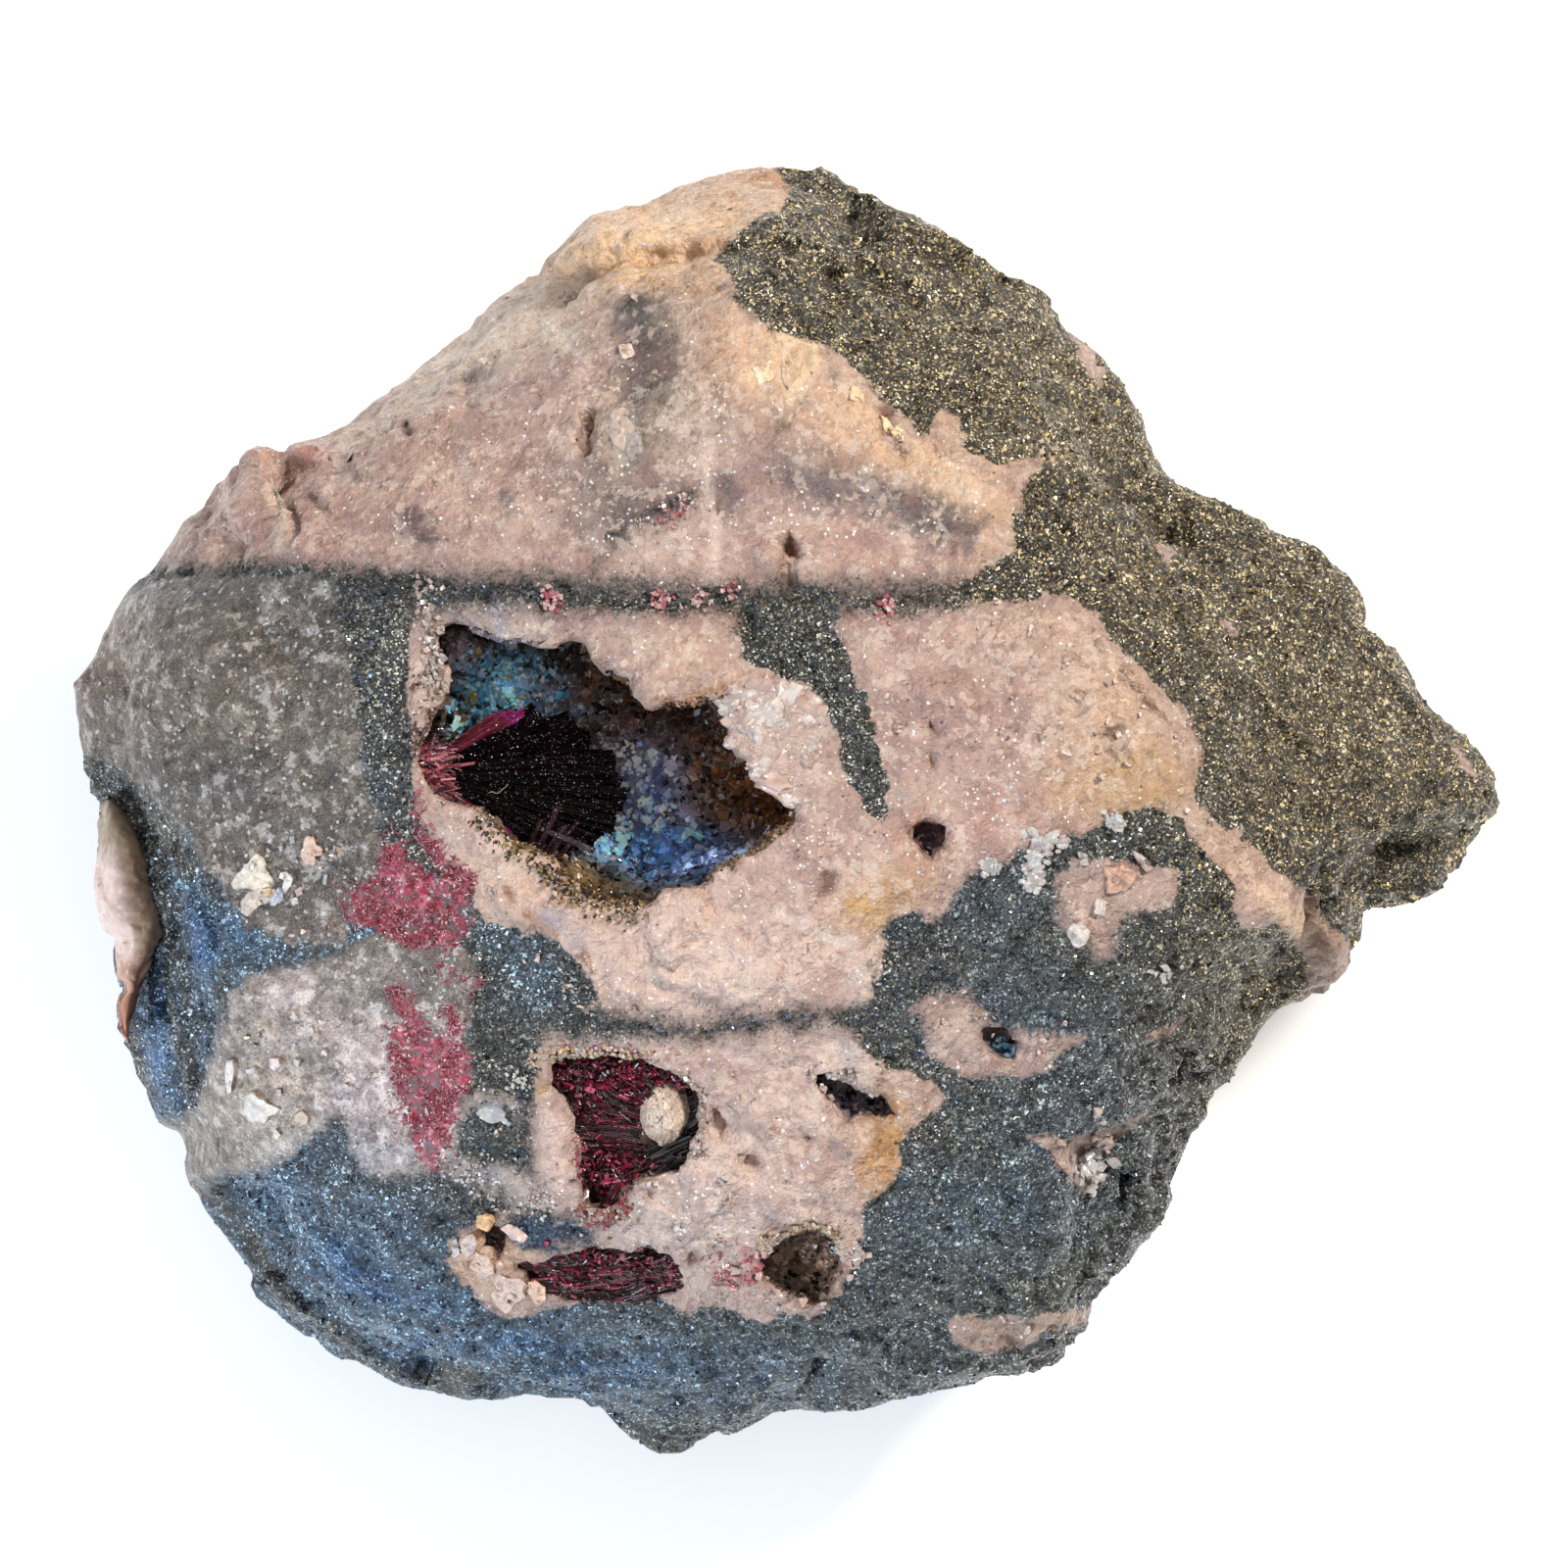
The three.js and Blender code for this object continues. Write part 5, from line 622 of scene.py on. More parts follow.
def relief(V, N):
    u, v, pink, quartz, red, vug, deep = zone_fields(V)
    isp = smooth(0.5 - pink / 0.5); isq = smooth(0.5 - quartz / 0.5) * (1 - isp); iso = 1 - isp - isq
    back = smooth((20.0 - V[:, 2]) / 8.0)
    c1, g1, r1 = chips(V, 1.25, 201, gap=True)
    c2, g2, r2 = chips(V + 0.25 * vnoise(V / 0.7, 7)[:, None], 0.55, 211, gap=True)
    # layering of the ore runs from upper left to lower right
    q = V @ np.array([[0.766, 0.643, 0], [-0.643, 0.766, 0], [0, 0, 1.0]])
    lay = vnoise(q / [7.0, 0.75, 1.2], 221) + 0.6 * vnoise(q / [3.5, 0.4, 0.8], 222)
    low = vnoise(V / 2.6, 231) + 0.5 * vnoise(V / 1.3, 232)
    ore = 0.24 * low + 0.34 * c1 + 0.18 * c2 + lay * (0.20 * smooth((u - 560) / 200) + 0.30 * smooth((u - 1130) / 60) * smooth((v - 960) / 60) + 0.30 * smooth((640 - u) / 80) * smooth((v - 1190) / 60) + 0.28 * smooth((230 - u) / 30) * smooth((v - 860) / 40)) + 0.05 * vnoise(V / 0.3, 233)
    blocky = smooth((v - 880) / 160.0)
    ridge = 0.5 - np.abs(vnoise(V / 3.1, 241)) - 0.5 * np.abs(vnoise(V / 1.4, 242))
    pk = 0.13 * low + 0.22 * ridge + (0.13 + 0.13 * blocky) * c1 + (0.07 + 0.07 * blocky) * c2 + 0.02 * vnoise(V / 0.35, 234)
    qz = 0.09 * low + 0.12 * c1 + 0.05 * c2
    d = ore * iso + pk * isp + qz * isq
    # the ore is weathered a little below the carbonate at their contact
    d = d - 0.16 * np.exp(-((pink - 0.35) / 0.45) ** 2) * (1 - isq)
    # cracks
    for path, w, h in CRACKS:
        P = np.asarray(path, float); dd = np.full(len(V), 1e9)
        for a, b in zip(P[:-1], P[1:]):
            e = b - a; t = np.clip(((u - a[0]) * e[0] + (v - a[1]) * e[1]) / (e @ e), 0, 1)
            dd = np.minimum(dd, np.hypot(u - a[0] - e[0] * t, v - a[1] - e[1] * t))
        d = d - h * np.exp(-(dd / w) ** 2) * (V[:, 2] > 18)
    w1 = 5.0 * vnoise(V / 0.7, 311) + 2.5 * vnoise(V / 0.3, 313); w2 = 5.0 * vnoise(V / 0.7, 312) + 2.5 * vnoise(V / 0.3, 314)
    top = V[:, 2] > 20
    for P, h, gx, gy in PLATES:
        i, _ = near(P, u, v); dist = poly_dist(P, u[i] + w1[i], v[i] + w2[i]) * UNIT
        c = np.mean(P, axis=0)
        rise = h - gx * (u[i] - c[0]) * UNIT - gy * (v[i] - c[1]) * UNIT
        d[i] = d[i] + rise * smooth(0.5 - dist / 0.30) * top[i]
    d = d - 0.45 * hollows(u, v, V) * top
    # folds of the plate that hangs over the main cavity, and the knuckled left end of the upper dolomite
    fold = np.exp(-(((u - 672) / 90) ** 2 + ((v - 665) / 55) ** 2) ** 2) * isp
    d = d + fold * (0.16 * vnoise(V * [1 / 1.3, 1 / 9.0, 0.1], 321) + 0.08 * vnoise(V * [1 / 0.55, 1 / 5.0, 0.1], 322))
    knuckle = np.exp(-(((u - 250) / 110) ** 2 + ((v - 510) / 75) ** 2) ** 2) * isp
    kc, kg, _ = chips(V * [1.5, 0.8, 1.0], 3.2, 331, gap=True)
    d = d + knuckle * (0.55 * kc - 0.25 * np.exp(-(kg / 0.35) ** 2))
    inv = smooth(0.3 - vug / 0.5)
    d = mix(d, 0.22 * c1 + 0.12 * c2, inv)
    d = d * mix(1.0, 1.5, back)
    return d

CRACKS = [
 ([(1052,498),(1066,520),(1090,545),(1130,585),(1150,600)], 3.0, 0.5),
 ([(1180,620),(1215,640),(1245,668)], 3.0, 0.35),
 ([(1275,700),(1300,735),(1330,770)], 4.0, 0.5),
 ([(286,470),(292,505),(300,540)], 4.0, 0.8),
 ([(594,418),(600,440),(596,468)], 3.0, 0.5),
 ([(1395,640),(1420,700),(1470,765)], 4.0, 0.5),
 ([(1230,1100),(1290,1050),(1340,1022)], 4.0, 0.7),
 ([(1200,1170),(1190,1215),(1150,1260)], 4.0, 0.6),
 ([(196,905),(218,950),(216,1010),(206,1060),(200,1120)], 3.5, 0.6), ([(168,900),(172,960),(166,1010),(176,1080),(186,1140)], 4.0, 0.7), ([(138,1000),(146,1050),(160,1120)], 3.5, 0.5), ([(205,1036),(212,1052),(208,1066)], 5.0, 0.8),
 ([(116,800),(140,832),(160,866),(172,900)], 4.0, 0.5),
 ([(1175,1110),(1215,1098),(1262,1090),(1300,1070)], 4.0, 0.7), ([(1160,1150),(1200,1140),(1250,1140)], 4.0, 0.6), ([(1150,1190),(1186,1186),(1225,1180)], 3.5, 0.6), ([(1120,1290),(1150,1262),(1160,1220)], 4.0, 0.6), ([(1060,1310),(1100,1290),(1128,1258)], 3.5, 0.4),
 ([(1405,870),(1450,868),(1500,866)], 4.0, 0.8), ([(1390,905),(1440,900),(1480,898)], 4.0, 0.6), ([(1330,880),(1380,905),(1410,925)], 3.5, 0.5),
 ([(1170,400),(1190,440),(1230,470)], 3.5, 0.4), ([(900,205),(960,260),(1010,300)], 3.0, 0.3), ([(1120,640),(1160,700),(1210,760)], 3.0, 0.35), ([(840,640),(852,700),(874,770)], 3.0, 0.2),
 ([(228,1196),(244,1240),(268,1275),(290,1310),(330,1342)], 4.0, 0.45), ([(340,1345),(400,1388),(440,1398)], 3.0, 0.25), ([(560,1380),(590,1362),(640,1358)], 3.0, 0.25), ([(1330,1010),(1290,1060),(1240,1110)], 3.0, 0.35),
]

N = gradient(field, RV); N /= np.linalg.norm(N, axis=1, keepdims=True) + 1e-9
base_flat = RV[:, 2] < 0.25
disp = relief(RV, N)
disp = np.where(base_flat, 0.0, disp) * smooth(RV[:, 2] / 1.0)
zs_dist = np.abs(outline_map(*plan(RV)[:2])) * UNIT
_eu, _ev = plan(RV)[:2]
knob_ = (0.42 * chips(RV, 1.9, 351) + 0.26 * chips(RV, 1.0, 352)) * np.exp(-(zs_dist / 2.0) ** 2) * np.maximum(smooth((_eu - 900) / 120.0), smooth((_ev - 1180) / 80.0))
disp = disp + knob_
disp = np.where(zs_dist < 1.0, np.minimum(disp, 0.14), disp)
RV = RV + N * disp[:, None]
RV[:, 2] = np.where(base_flat, 0.0, np.maximum(RV[:, 2], 0.0))

def add_mesh(name, V, quads=None, tris=None, ngons=None, smooth_shade=True):
    """A mesh object from point and face arrays, in metres in the frame's axes."""
    me = bpy.data.meshes.new(name); V = np.array(V, float); V[:, 2] = np.maximum(V[:, 2], 0.0)
    me.vertices.add(len(V))
    me.vertices.foreach_set("co", ((V + SHIFT) * 0.001).astype(np.float32).ravel())
    loops, sizes = [], []
    for F in (quads, tris):
        if F is not None and len(F):
            for G in (F if isinstance(F, list) else [F]):
                loops.append(np.asarray(G).ravel()); sizes.append(np.full(len(G), np.asarray(G).shape[1]))
    if ngons:
        loops.append(np.array([i for f in ngons for i in f])); sizes.append(np.array([len(f) for f in ngons]))
    loops = np.concatenate(loops).astype(np.int32); sizes = np.concatenate(sizes)
    me.loops.add(len(loops)); me.polygons.add(len(sizes))
    me.loops.foreach_set("vertex_index", loops)
    me.polygons.foreach_set("loop_start", np.concatenate([[0], np.cumsum(sizes)[:-1]]).astype(np.int32))
    me.polygons.foreach_set("use_smooth", np.full(len(sizes), smooth_shade))
    me.update(calc_edges=True); me.validate()
    ob = bpy.data.objects.new(name, me)
    bpy.context.scene.collection.objects.link(ob)
    return ob

def put(ob, name, arr):
    """A per-point colour attribute (three or four numbers)."""
    a = ob.data.attributes.new(name, "FLOAT_COLOR", "POINT")
    full = np.ones((len(arr), 4), np.float32); full[:, :arr.shape[1]] = arr
    a.data.foreach_set("color", full.ravel())

rock = add_mesh("rock_skin", RV, quads=[RQF, RQP], ngons=RNG)

def soft_contact(u, v):
    """1 where the contacts of the veins are smoky and blurred, 0 where they are sharp."""
    k = np.exp(-((v - 598) / 34.0) ** 2) * smooth((1010 - u) / 60.0)
    k = np.maximum(k, 0.8 * np.exp(-(((u - 700) / 320) ** 2 + ((v - 1045) / 26) ** 2) ** 2))
    k = np.maximum(k, 0.8 * np.exp(-(((u - 500) / 70) ** 2 + ((v - 1180) / 80) ** 2) ** 2))
    k = np.maximum(k, 0.7 * np.exp(-(((u - 600) / 90) ** 2 + ((v - 1255) / 30) ** 2) ** 2))
    k = np.maximum(k, 0.6 * np.exp(-(((u - 1050) / 130) ** 2 + ((v - 980) / 110) ** 2) ** 2))
    return k

def dress(ob, V):
    """Zone distances and mineral tints as attributes, read by the rock's material; the ore tints and glint colours also
    carry painted lamp light.
    """
    u, v, pink, quartz, red, vug, deep = zone_fields(V)
    wu, wv = wander(V, u, v); u, v = u + wu, v + wv
    put(ob, "zone_a", np.stack([pink, quartz, red], -1))
    put(ob, "zone_b", np.stack([vug, deep, soft_contact(u, v)], -1))
    fl = soft_spots(u, v, (0.0,), [q[:5] + ((1.0,),) + q[6:] for q in FLAKY])[:, 0]; gl = soft_spots(u, v, (0.0,), [q[:5] + ((1.0,),) + q[6:] for q in GLITTER])[:, 0]
    put(ob, "zone_c", np.stack([fl, gl, 0 * fl], -1))
    tint = soft_spots(u, v, PINK_BASE, PINK_SPOTS)
    w1 = vnoise(V / 0.6, 341) + 0.6 * vnoise(V / 0.28, 343)
    for P, hw, col, k, rg in STROKES:
        i, dist = near(P, u, v, sign=False)
        f = k * smooth(0.5 + (hw - dist + rg * 1.6 * w1[i]) / max(hw, 5.0)) * (V[i, 2] > 20)
        tint[i] += (np.asarray(col, float) - tint[i]) * f[:, None]
    hol = hollows(u, v, V)
    tint = mix(tint, np.array([128.0, 92.0, 80.0]), 0.85 * hol[:, None])
    put(ob, "tint_pink", lin(tint))
    ore = soft_spots(u, v, ORE_BASE, ORE_SPOTS)
    blue = smooth((ore[:, 2] - ore[:, 0] + 4.0) / 34.0)[:, None]
    # Where the ore is blue its tint is raised almost twofold: partly the ore's own blue tarnish, partly painted light
    # of the cool lamp.
    put(ob, "tint_ore", lin(ore) * mix(np.array([1.0, 1.07, 1.10]), np.array([1.95, 1.95, 1.95]), blue))
    # Glint colours are painted lamp reflections: gold towards the upper right under the warm lamp, blue-white where the
    # ore is blue under the cool lamp, greyish elsewhere.
    warm_lamp_side = np.maximum(smooth((680 - v + 0.25 * (u - 700)) / 220.0), smooth((u - 1090 - 0.12 * (v - 600)) / 200.0))[:, None] * smooth((u - 420) / 200.0)[:, None]
    put(ob, "tint_glint", mix(mix(np.array([0.58, 0.56, 0.47]), np.array([1.0, 0.78, 0.42]), warm_lamp_side), np.array([0.40, 0.66, 0.88]), blue) * 0.92)
    put(ob, "tint_quartz", lin(soft_spots(u, v, QUARTZ_BASE, QUARTZ_SPOTS)))
    put(ob, "tint_vug", lin(soft_spots(u, v, VUG_BASE, VUG_SPOTS)))

VUG_BASE = (120, 100, 90)
VUG_SPOTS = [
 (560,668,70,26,0,(36,22,14),0.95), (660,725,80,34,0,(42,26,18),0.95), (515,700,48,36,0,(120,206,236),0.95), (550,705,30,16,0,(150,140,160),0.8), (478,668,26,30,0,(150,130,140),0.7),
 (450,722,22,24,0,(110,84,62),0.8), (760,810,70,50,30,(88,50,20),0.95), (660,800,50,40,0,(110,124,170),0.9), (690,870,90,34,0,(90,130,200),0.95), (600,905,50,26,20,(120,92,54),0.8), (530,860,30,20,20,(120,92,60),0.8),
 (590,1100,50,26,0,(70,20,34),0.6), (680,1150,40,50,0,(30,22,26),0.9), (735,1150,22,46,0,(92,104,150),0.8), (620,1215,30,18,0,(90,40,40),0.6),
 (610,1300,90,22,0,(70,26,38),0.6), (815,1295,44,36,0,(142,116,100),0.9), (865,1120,40,26,0,(90,84,110),0.7), (1022,1068,22,16,0,(40,50,66),0.9), (946,858,20,22,0,(86,62,70),0.8), (502,1268,16,16,0,(50,34,30),0.8),
]
dress(rock, RV)
print("skin faces", len(rock.data.polygons), "t", round(time.time() - T0, 1))

# ------------------------------------------------------------------ material helpers
class Nodes:
    """Short hand for building one material's node tree."""
    def __init__(self, name):
        self.mat = bpy.data.materials.new(name); self.mat.use_nodes = True
        self.t = self.mat.node_tree; self.t.nodes.clear()
        self.out = self.t.nodes.new("ShaderNodeOutputMaterial")
        self.b = self.principled()
        self.t.links.new(self.b.outputs["BSDF"], self.out.inputs["Surface"])
        self.obj = self.t.nodes.new("ShaderNodeTexCoord").outputs["Object"]
    def principled(self):
        return self.t.nodes.new("ShaderNodeBsdfPrincipled")
    def blend(self, f, a, b):
        n = self.t.nodes.new("ShaderNodeMixShader")
        self.link(f, n.inputs[0]); self.link(a, n.inputs[1]); self.link(b, n.inputs[2])
        return n.outputs[0]
    def link(self, a, b):
        self.t.links.new(a, b)
    def setin(self, sock, val):
        if hasattr(val, "is_output") or isinstance(val, bpy.types.NodeSocket):
            self.link(val, sock)
        else:
            sock.default_value = val
    def attr(self, name, part="Color"):
        n = self.t.nodes.new("ShaderNodeAttribute"); n.attribute_name = name
        return n.outputs[part]
    def split(self, col):
        n = self.t.nodes.new("ShaderNodeSeparateColor"); self.link(col, n.inputs[0]); return n.outputs
    def math(self, op, a, b=None, c=None, clamp=False):
        n = self.t.nodes.new("ShaderNodeMath"); n.operation = op; n.use_clamp = clamp
        self.setin(n.inputs[0], a)
        if b is not None: self.setin(n.inputs[1], b)
        if c is not None: self.setin(n.inputs[2], c)
        return n.outputs[0]
    def vmath(self, op, a, b=None, scale=None):
        n = self.t.nodes.new("ShaderNodeVectorMath"); n.operation = op
        self.setin(n.inputs[0], a)
        if b is not None: self.setin(n.inputs[1], b)
        if scale is not None: self.setin(n.inputs["Scale"], scale)
        return n.outputs["Value"] if op in ("LENGTH", "DISTANCE", "DOT_PRODUCT") else n.outputs["Vector"]
    def noise(self, mm, detail=2.0, rough=0.5, vec=None, dist=0.0, w=0.0):
        n = self.t.nodes.new("ShaderNodeTexNoise"); n.inputs["Scale"].default_value = 1000.0 / mm
        n.inputs["Detail"].default_value = detail; n.inputs["Roughness"].default_value = rough; n.inputs["Distortion"].default_value = dist
        self.link(vec or self.obj, n.inputs["Vector"])
        return n.outputs["Fac"]
    def noisec(self, mm, detail=2.0, vec=None):
        n = self.t.nodes.new("ShaderNodeTexNoise"); n.inputs["Scale"].default_value = 1000.0 / mm
        n.inputs["Detail"].default_value = detail
        self.link(vec or self.obj, n.inputs["Vector"])
        return n.outputs["Color"]
    def voro(self, mm, feature="F1", vec=None, out="Color", rand=1.0):
        n = self.t.nodes.new("ShaderNodeTexVoronoi"); n.feature = feature; n.inputs["Scale"].default_value = 1000.0 / mm
        n.inputs["Randomness"].default_value = rand
        self.link(vec or self.obj, n.inputs["Vector"])
        return n.outputs[out]
    def map(self, x, a, b, c=0.0, d=1.0, smooth=True):
        n = self.t.nodes.new("ShaderNodeMapRange"); n.interpolation_type = "SMOOTHSTEP" if smooth else "LINEAR"
        self.setin(n.inputs["Value"], x)
        for s, val in zip(("From Min", "From Max", "To Min", "To Max"), (a, b, c, d)):
            self.setin(n.inputs[s], val)
        return n.outputs["Result"]
    def mixc(self, f, a, b, mode="MIX"):
        n = self.t.nodes.new("ShaderNodeMix"); n.data_type = "RGBA"; n.blend_type = mode; n.clamp_factor = True
        self.setin(n.inputs[0], f)
        for s, val in ((n.inputs[6], a), (n.inputs[7], b)):
            if isinstance(val, (tuple, list)):
                val = tuple(val) + (1.0,) if len(val) == 3 else tuple(val)
            self.setin(s, val)
        return n.outputs[2]
    def scale(self, col, k):
        n = self.t.nodes.new("ShaderNodeVectorMath"); n.operation = "SCALE"
        self.setin(n.inputs[0], col); self.setin(n.inputs["Scale"], k)
        return n.outputs["Vector"]
    def bump(self, height, strength, dist_mm, normal=None):
        n = self.t.nodes.new("ShaderNodeBump"); n.inputs["Strength"].default_value = strength
        n.inputs["Distance"].default_value = dist_mm * 0.001
        self.link(height, n.inputs["Height"])
        if normal is not None: self.link(normal, n.inputs["Normal"])
        return n.outputs["Normal"]
    def warp(self, mm, amount, vec=None):
        """The position, pushed about by noise, so cell edges break up."""
        d = self.vmath("SUBTRACT", self.noisec(mm, 1.0), (0.5, 0.5, 0.5))
        return self.vmath("ADD", vec or self.obj, self.vmath("SCALE", d, scale=amount * 0.001))
    def stretch(self, deg, sx, sy, sz):
        """The position turned about Z, then scaled along each axis: for layering."""
        n = self.t.nodes.new("ShaderNodeMapping"); n.vector_type = "TEXTURE"
        n.inputs["Rotation"].default_value = (0, 0, math.radians(deg)); n.inputs["Scale"].default_value = (sx, sy, sz)
        self.link(self.obj, n.inputs["Vector"])
        return n.outputs["Vector"]
    def flakes(self, cell_colour, amount, normal):
        """Tip the normal at random in each cell, so single facets catch the light."""
        d = self.vmath("SUBTRACT", cell_colour, (0.5, 0.5, 0.5))
        d = self.vmath("SCALE", d, scale=amount)
        s = self.vmath("ADD", normal, d)
        return self.vmath("NORMALIZE", s)

def srgb(r, g, b):
    return tuple(float(x) for x in lin((r, g, b)))

# ------------------------------------------------------------------ the rock's material
def rock_material():
    """Five surfaces in one: ore, dolomite, quartz, red crust and cavity wall. Each is blended in where
    the skin's zone attributes, roughened by noise, say so."""
    m = Nodes("rock_ore_and_dolomite")
    za = m.split(m.attr("zone_a")); zb = m.split(m.attr("zone_b")); zc = m.split(m.attr("zone_c"))
    n_mid = m.noise(0.9, 3.0, 0.6); n_fine = m.noise(0.26, 1.0, 0.6)
    rag = m.math("ADD", m.math("MULTIPLY", m.math("SUBTRACT", n_mid, 0.5), 1.0), m.math("MULTIPLY", m.math("SUBTRACT", n_fine, 0.5), 0.55))
    dp = m.math("ADD", za[0], m.math("MULTIPLY", rag, m.math("ADD", 0.8, m.math("MULTIPLY", zb[2], 1.6))))
    soft = m.math("ADD", 0.10, m.math("MULTIPLY", zb[2], 0.50))
    is_pink = m.map(m.math("DIVIDE", dp, soft), 1.0, -1.0)
    is_quartz = m.map(m.math("ADD", za[1], m.math("MULTIPLY", rag, 1.4)), 0.35, -0.35)
    n_strand = m.noise(0.55, 3.0, 0.75, dist=0.6)
    redd = m.math("ADD", za[2], m.math("MULTIPLY", m.math("SUBTRACT", n_strand, 0.52), 3.2))
    is_red = m.math("MULTIPLY", m.map(redd, 0.12, -0.22), 0.92)
    in_vug = m.map(m.math("ADD", zb[0], m.math("MULTIPLY", rag, 0.3)), 0.12, -0.12)

    # --- ore: dense metallic grains under a quarter of a millimetre, thickest on the swells; their glints are painted highlights, bright lamp-tinted cells in the base colour
    o = m.b
    g1 = m.voro(0.10); g1s = m.split(g1); g2s = m.split(m.voro(0.20, vec=m.warp(0.4, 0.22)))
    lumps = m.noise(1.9, 2.0, 0.62)
    beds = m.noise(1.1, 3.0, 0.65, vec=m.stretch(-38, 4.5, 0.8, 1.5))
    body = m.math("ADD", m.math("MULTIPLY", lumps, 0.62), m.math("MULTIPLY", beds, 0.38))
    rich = m.map(body, 0.34, 0.66, 0.10, 1.0, smooth=False)
    spark = m.math("MAXIMUM", m.math("POWER", g1s[0], 11.0), m.math("MULTIPLY", m.math("POWER", g2s[0], 22.0), 0.9))
    glint = m.math("MINIMUM", m.math("MULTIPLY", spark, m.math("ADD", 0.45, m.math("MULTIPLY", rich, 1.7))), 1.0)
    glint = m.math("MULTIPLY", glint, m.math("SUBTRACT", 1.0, m.math("MULTIPLY", zb[2], 0.75)))
    ore = m.attr("tint_ore")
    dark = m.scale(ore, m.math("MULTIPLY", m.map(body, 0.32, 0.68, 0.16, 0.84, smooth=False), m.math("ADD", 0.30, m.math("MULTIPLY", g1s[1], 0.95))))
    # darker cells where the ore body is thin: painted shade of tiny pores
    painted_pore_shade = m.math("MULTIPLY", m.map(g2s[1], 0.22, 0.14), m.map(body, 0.60, 0.44))
    dark = m.scale(dark, m.math("SUBTRACT", 1.0, m.math("MULTIPLY", painted_pore_shade, 0.75)))
    # painted glint colour: the lamp-tinted tint_glint, partly near-white
    warm = m.mixc(m.map(g1s[2], 0.62, 0.86), m.attr("tint_glint"), m.mixc(0.55, m.attr("tint_glint"), (0.86, 0.93, 0.98)))
    m.link(m.mixc(m.math("MULTIPLY", glint, 0.95), dark, warm), o.inputs["Base Color"])
    m.link(m.map(glint, 0.0, 0.6, 0.10, 0.75, smooth=False), o.inputs["Metallic"])
    m.link(m.map(g1s[1], 0.0, 1.0, 0.28, 0.55, smooth=False), o.inputs["Roughness"])
    h = m.math("ADD", m.noise(0.55, 3.0, 0.75), m.math("MULTIPLY", m.noise(2.2, 1.0, 0.5), 1.1))
    m.link(m.flakes(g1, 0.85, m.bump(h, 1.0, 0.34)), o.inputs["Normal"])

    # --- dolomite: cloudy and translucent, with grey smoke, angular milky flakes, specks and tiny painted sparkles
    d = m.principled()
    pink = m.attr("tint_pink")
    cloud = m.noise(3.4, 3.0, 0.62); c4 = m.split(m.voro(0.13)); cd = m.voro(0.85, out="Distance"); c3 = m.split(m.voro(0.85))
    w1 = m.warp(0.7, 0.55); f1v = m.voro(0.34, vec=w1); f1 = m.split(f1v); f2v = m.voro(0.75, vec=w1); f2 = m.split(f2v)
    swarm = m.noise(2.3, 2.0, 0.6)
    grain = m.math("ADD", m.math("MULTIPLY", m.math("SUBTRACT", n_mid, 0.5), 0.80), m.math("MULTIPLY", m.math("SUBTRACT", n_fine, 0.5), 0.26))
    grain = m.math("ADD", grain, m.math("MULTIPLY", m.math("SUBTRACT", f2[2], 0.5), 0.13))
    grain = m.math("ADD", grain, m.math("MULTIPLY", m.math("SUBTRACT", f1[2], 0.5), 0.13))
    pcol = m.scale(pink, m.math("ADD", 0.99, grain))
    pcol = m.mixc(m.math("MULTIPLY", m.map(cloud, 0.50, 0.66), 0.55), pcol, m.mixc(0.45, pink, srgb(240, 222, 206)))
    pcol = m.mixc(m.math("MULTIPLY", m.map(cloud, 0.48, 0.35), 0.62), pcol, m.mixc(0.50, pink, srgb(146, 108, 108)))
    milk = m.noise(1.3, 4.0, 0.70)
    pcol = m.mixc(m.math("MULTIPLY", m.map(milk, 0.56, 0.61), 0.42), pcol, srgb(242, 226, 216))
    fth = m.math("SUBTRACT", m.map(swarm, 0.40, 0.66, 1.06, 0.70, smooth=False), m.math("MULTIPLY", zc[0], 0.30))
    flake = m.math("MAXIMUM", m.map(f1[0], fth, m.math("ADD", fth, 0.03)), m.map(f2[0], m.math("ADD", fth, 0.10), m.math("ADD", fth, 0.13)))
    pcol = m.mixc(m.math("MULTIPLY", flake, m.math("ADD", 0.14, m.math("MULTIPLY", f1[1], 0.40))), pcol, srgb(246, 226, 214))
    dint = m.math("MULTIPLY", m.map(f1[1], 0.90, 0.94), m.map(swarm, 0.52, 0.40))
    pcol = m.mixc(m.math("MULTIPLY", dint, 0.40), pcol, srgb(138, 100, 92))
    smoke = m.map(m.math("ADD", za[0], m.math("MULTIPLY", rag, 1.8)), -1.5, -0.1)
    pcol = m.mixc(m.math("MULTIPLY", smoke, m.math("ADD", 0.10, m.math("MULTIPLY", zb[2], 0.55))), pcol, srgb(84, 76, 74))
    speck = m.math("MULTIPLY", m.map(cd, 0.13, 0.07), m.map(c3[2], 0.62, 0.74))
    pcol = m.mixc(m.math("MULTIPLY", speck, 0.75), pcol, srgb(70, 50, 42))
    tw = m.noise(1.5, 2.0, 0.6)
    tth = m.math("SUBTRACT", m.map(tw, 0.44, 0.66, 1.0, 0.955, smooth=False), m.math("MULTIPLY", zc[1], 0.055))
    twinkle = m.map(c4[2], tth, m.math("ADD", tth, 0.012))
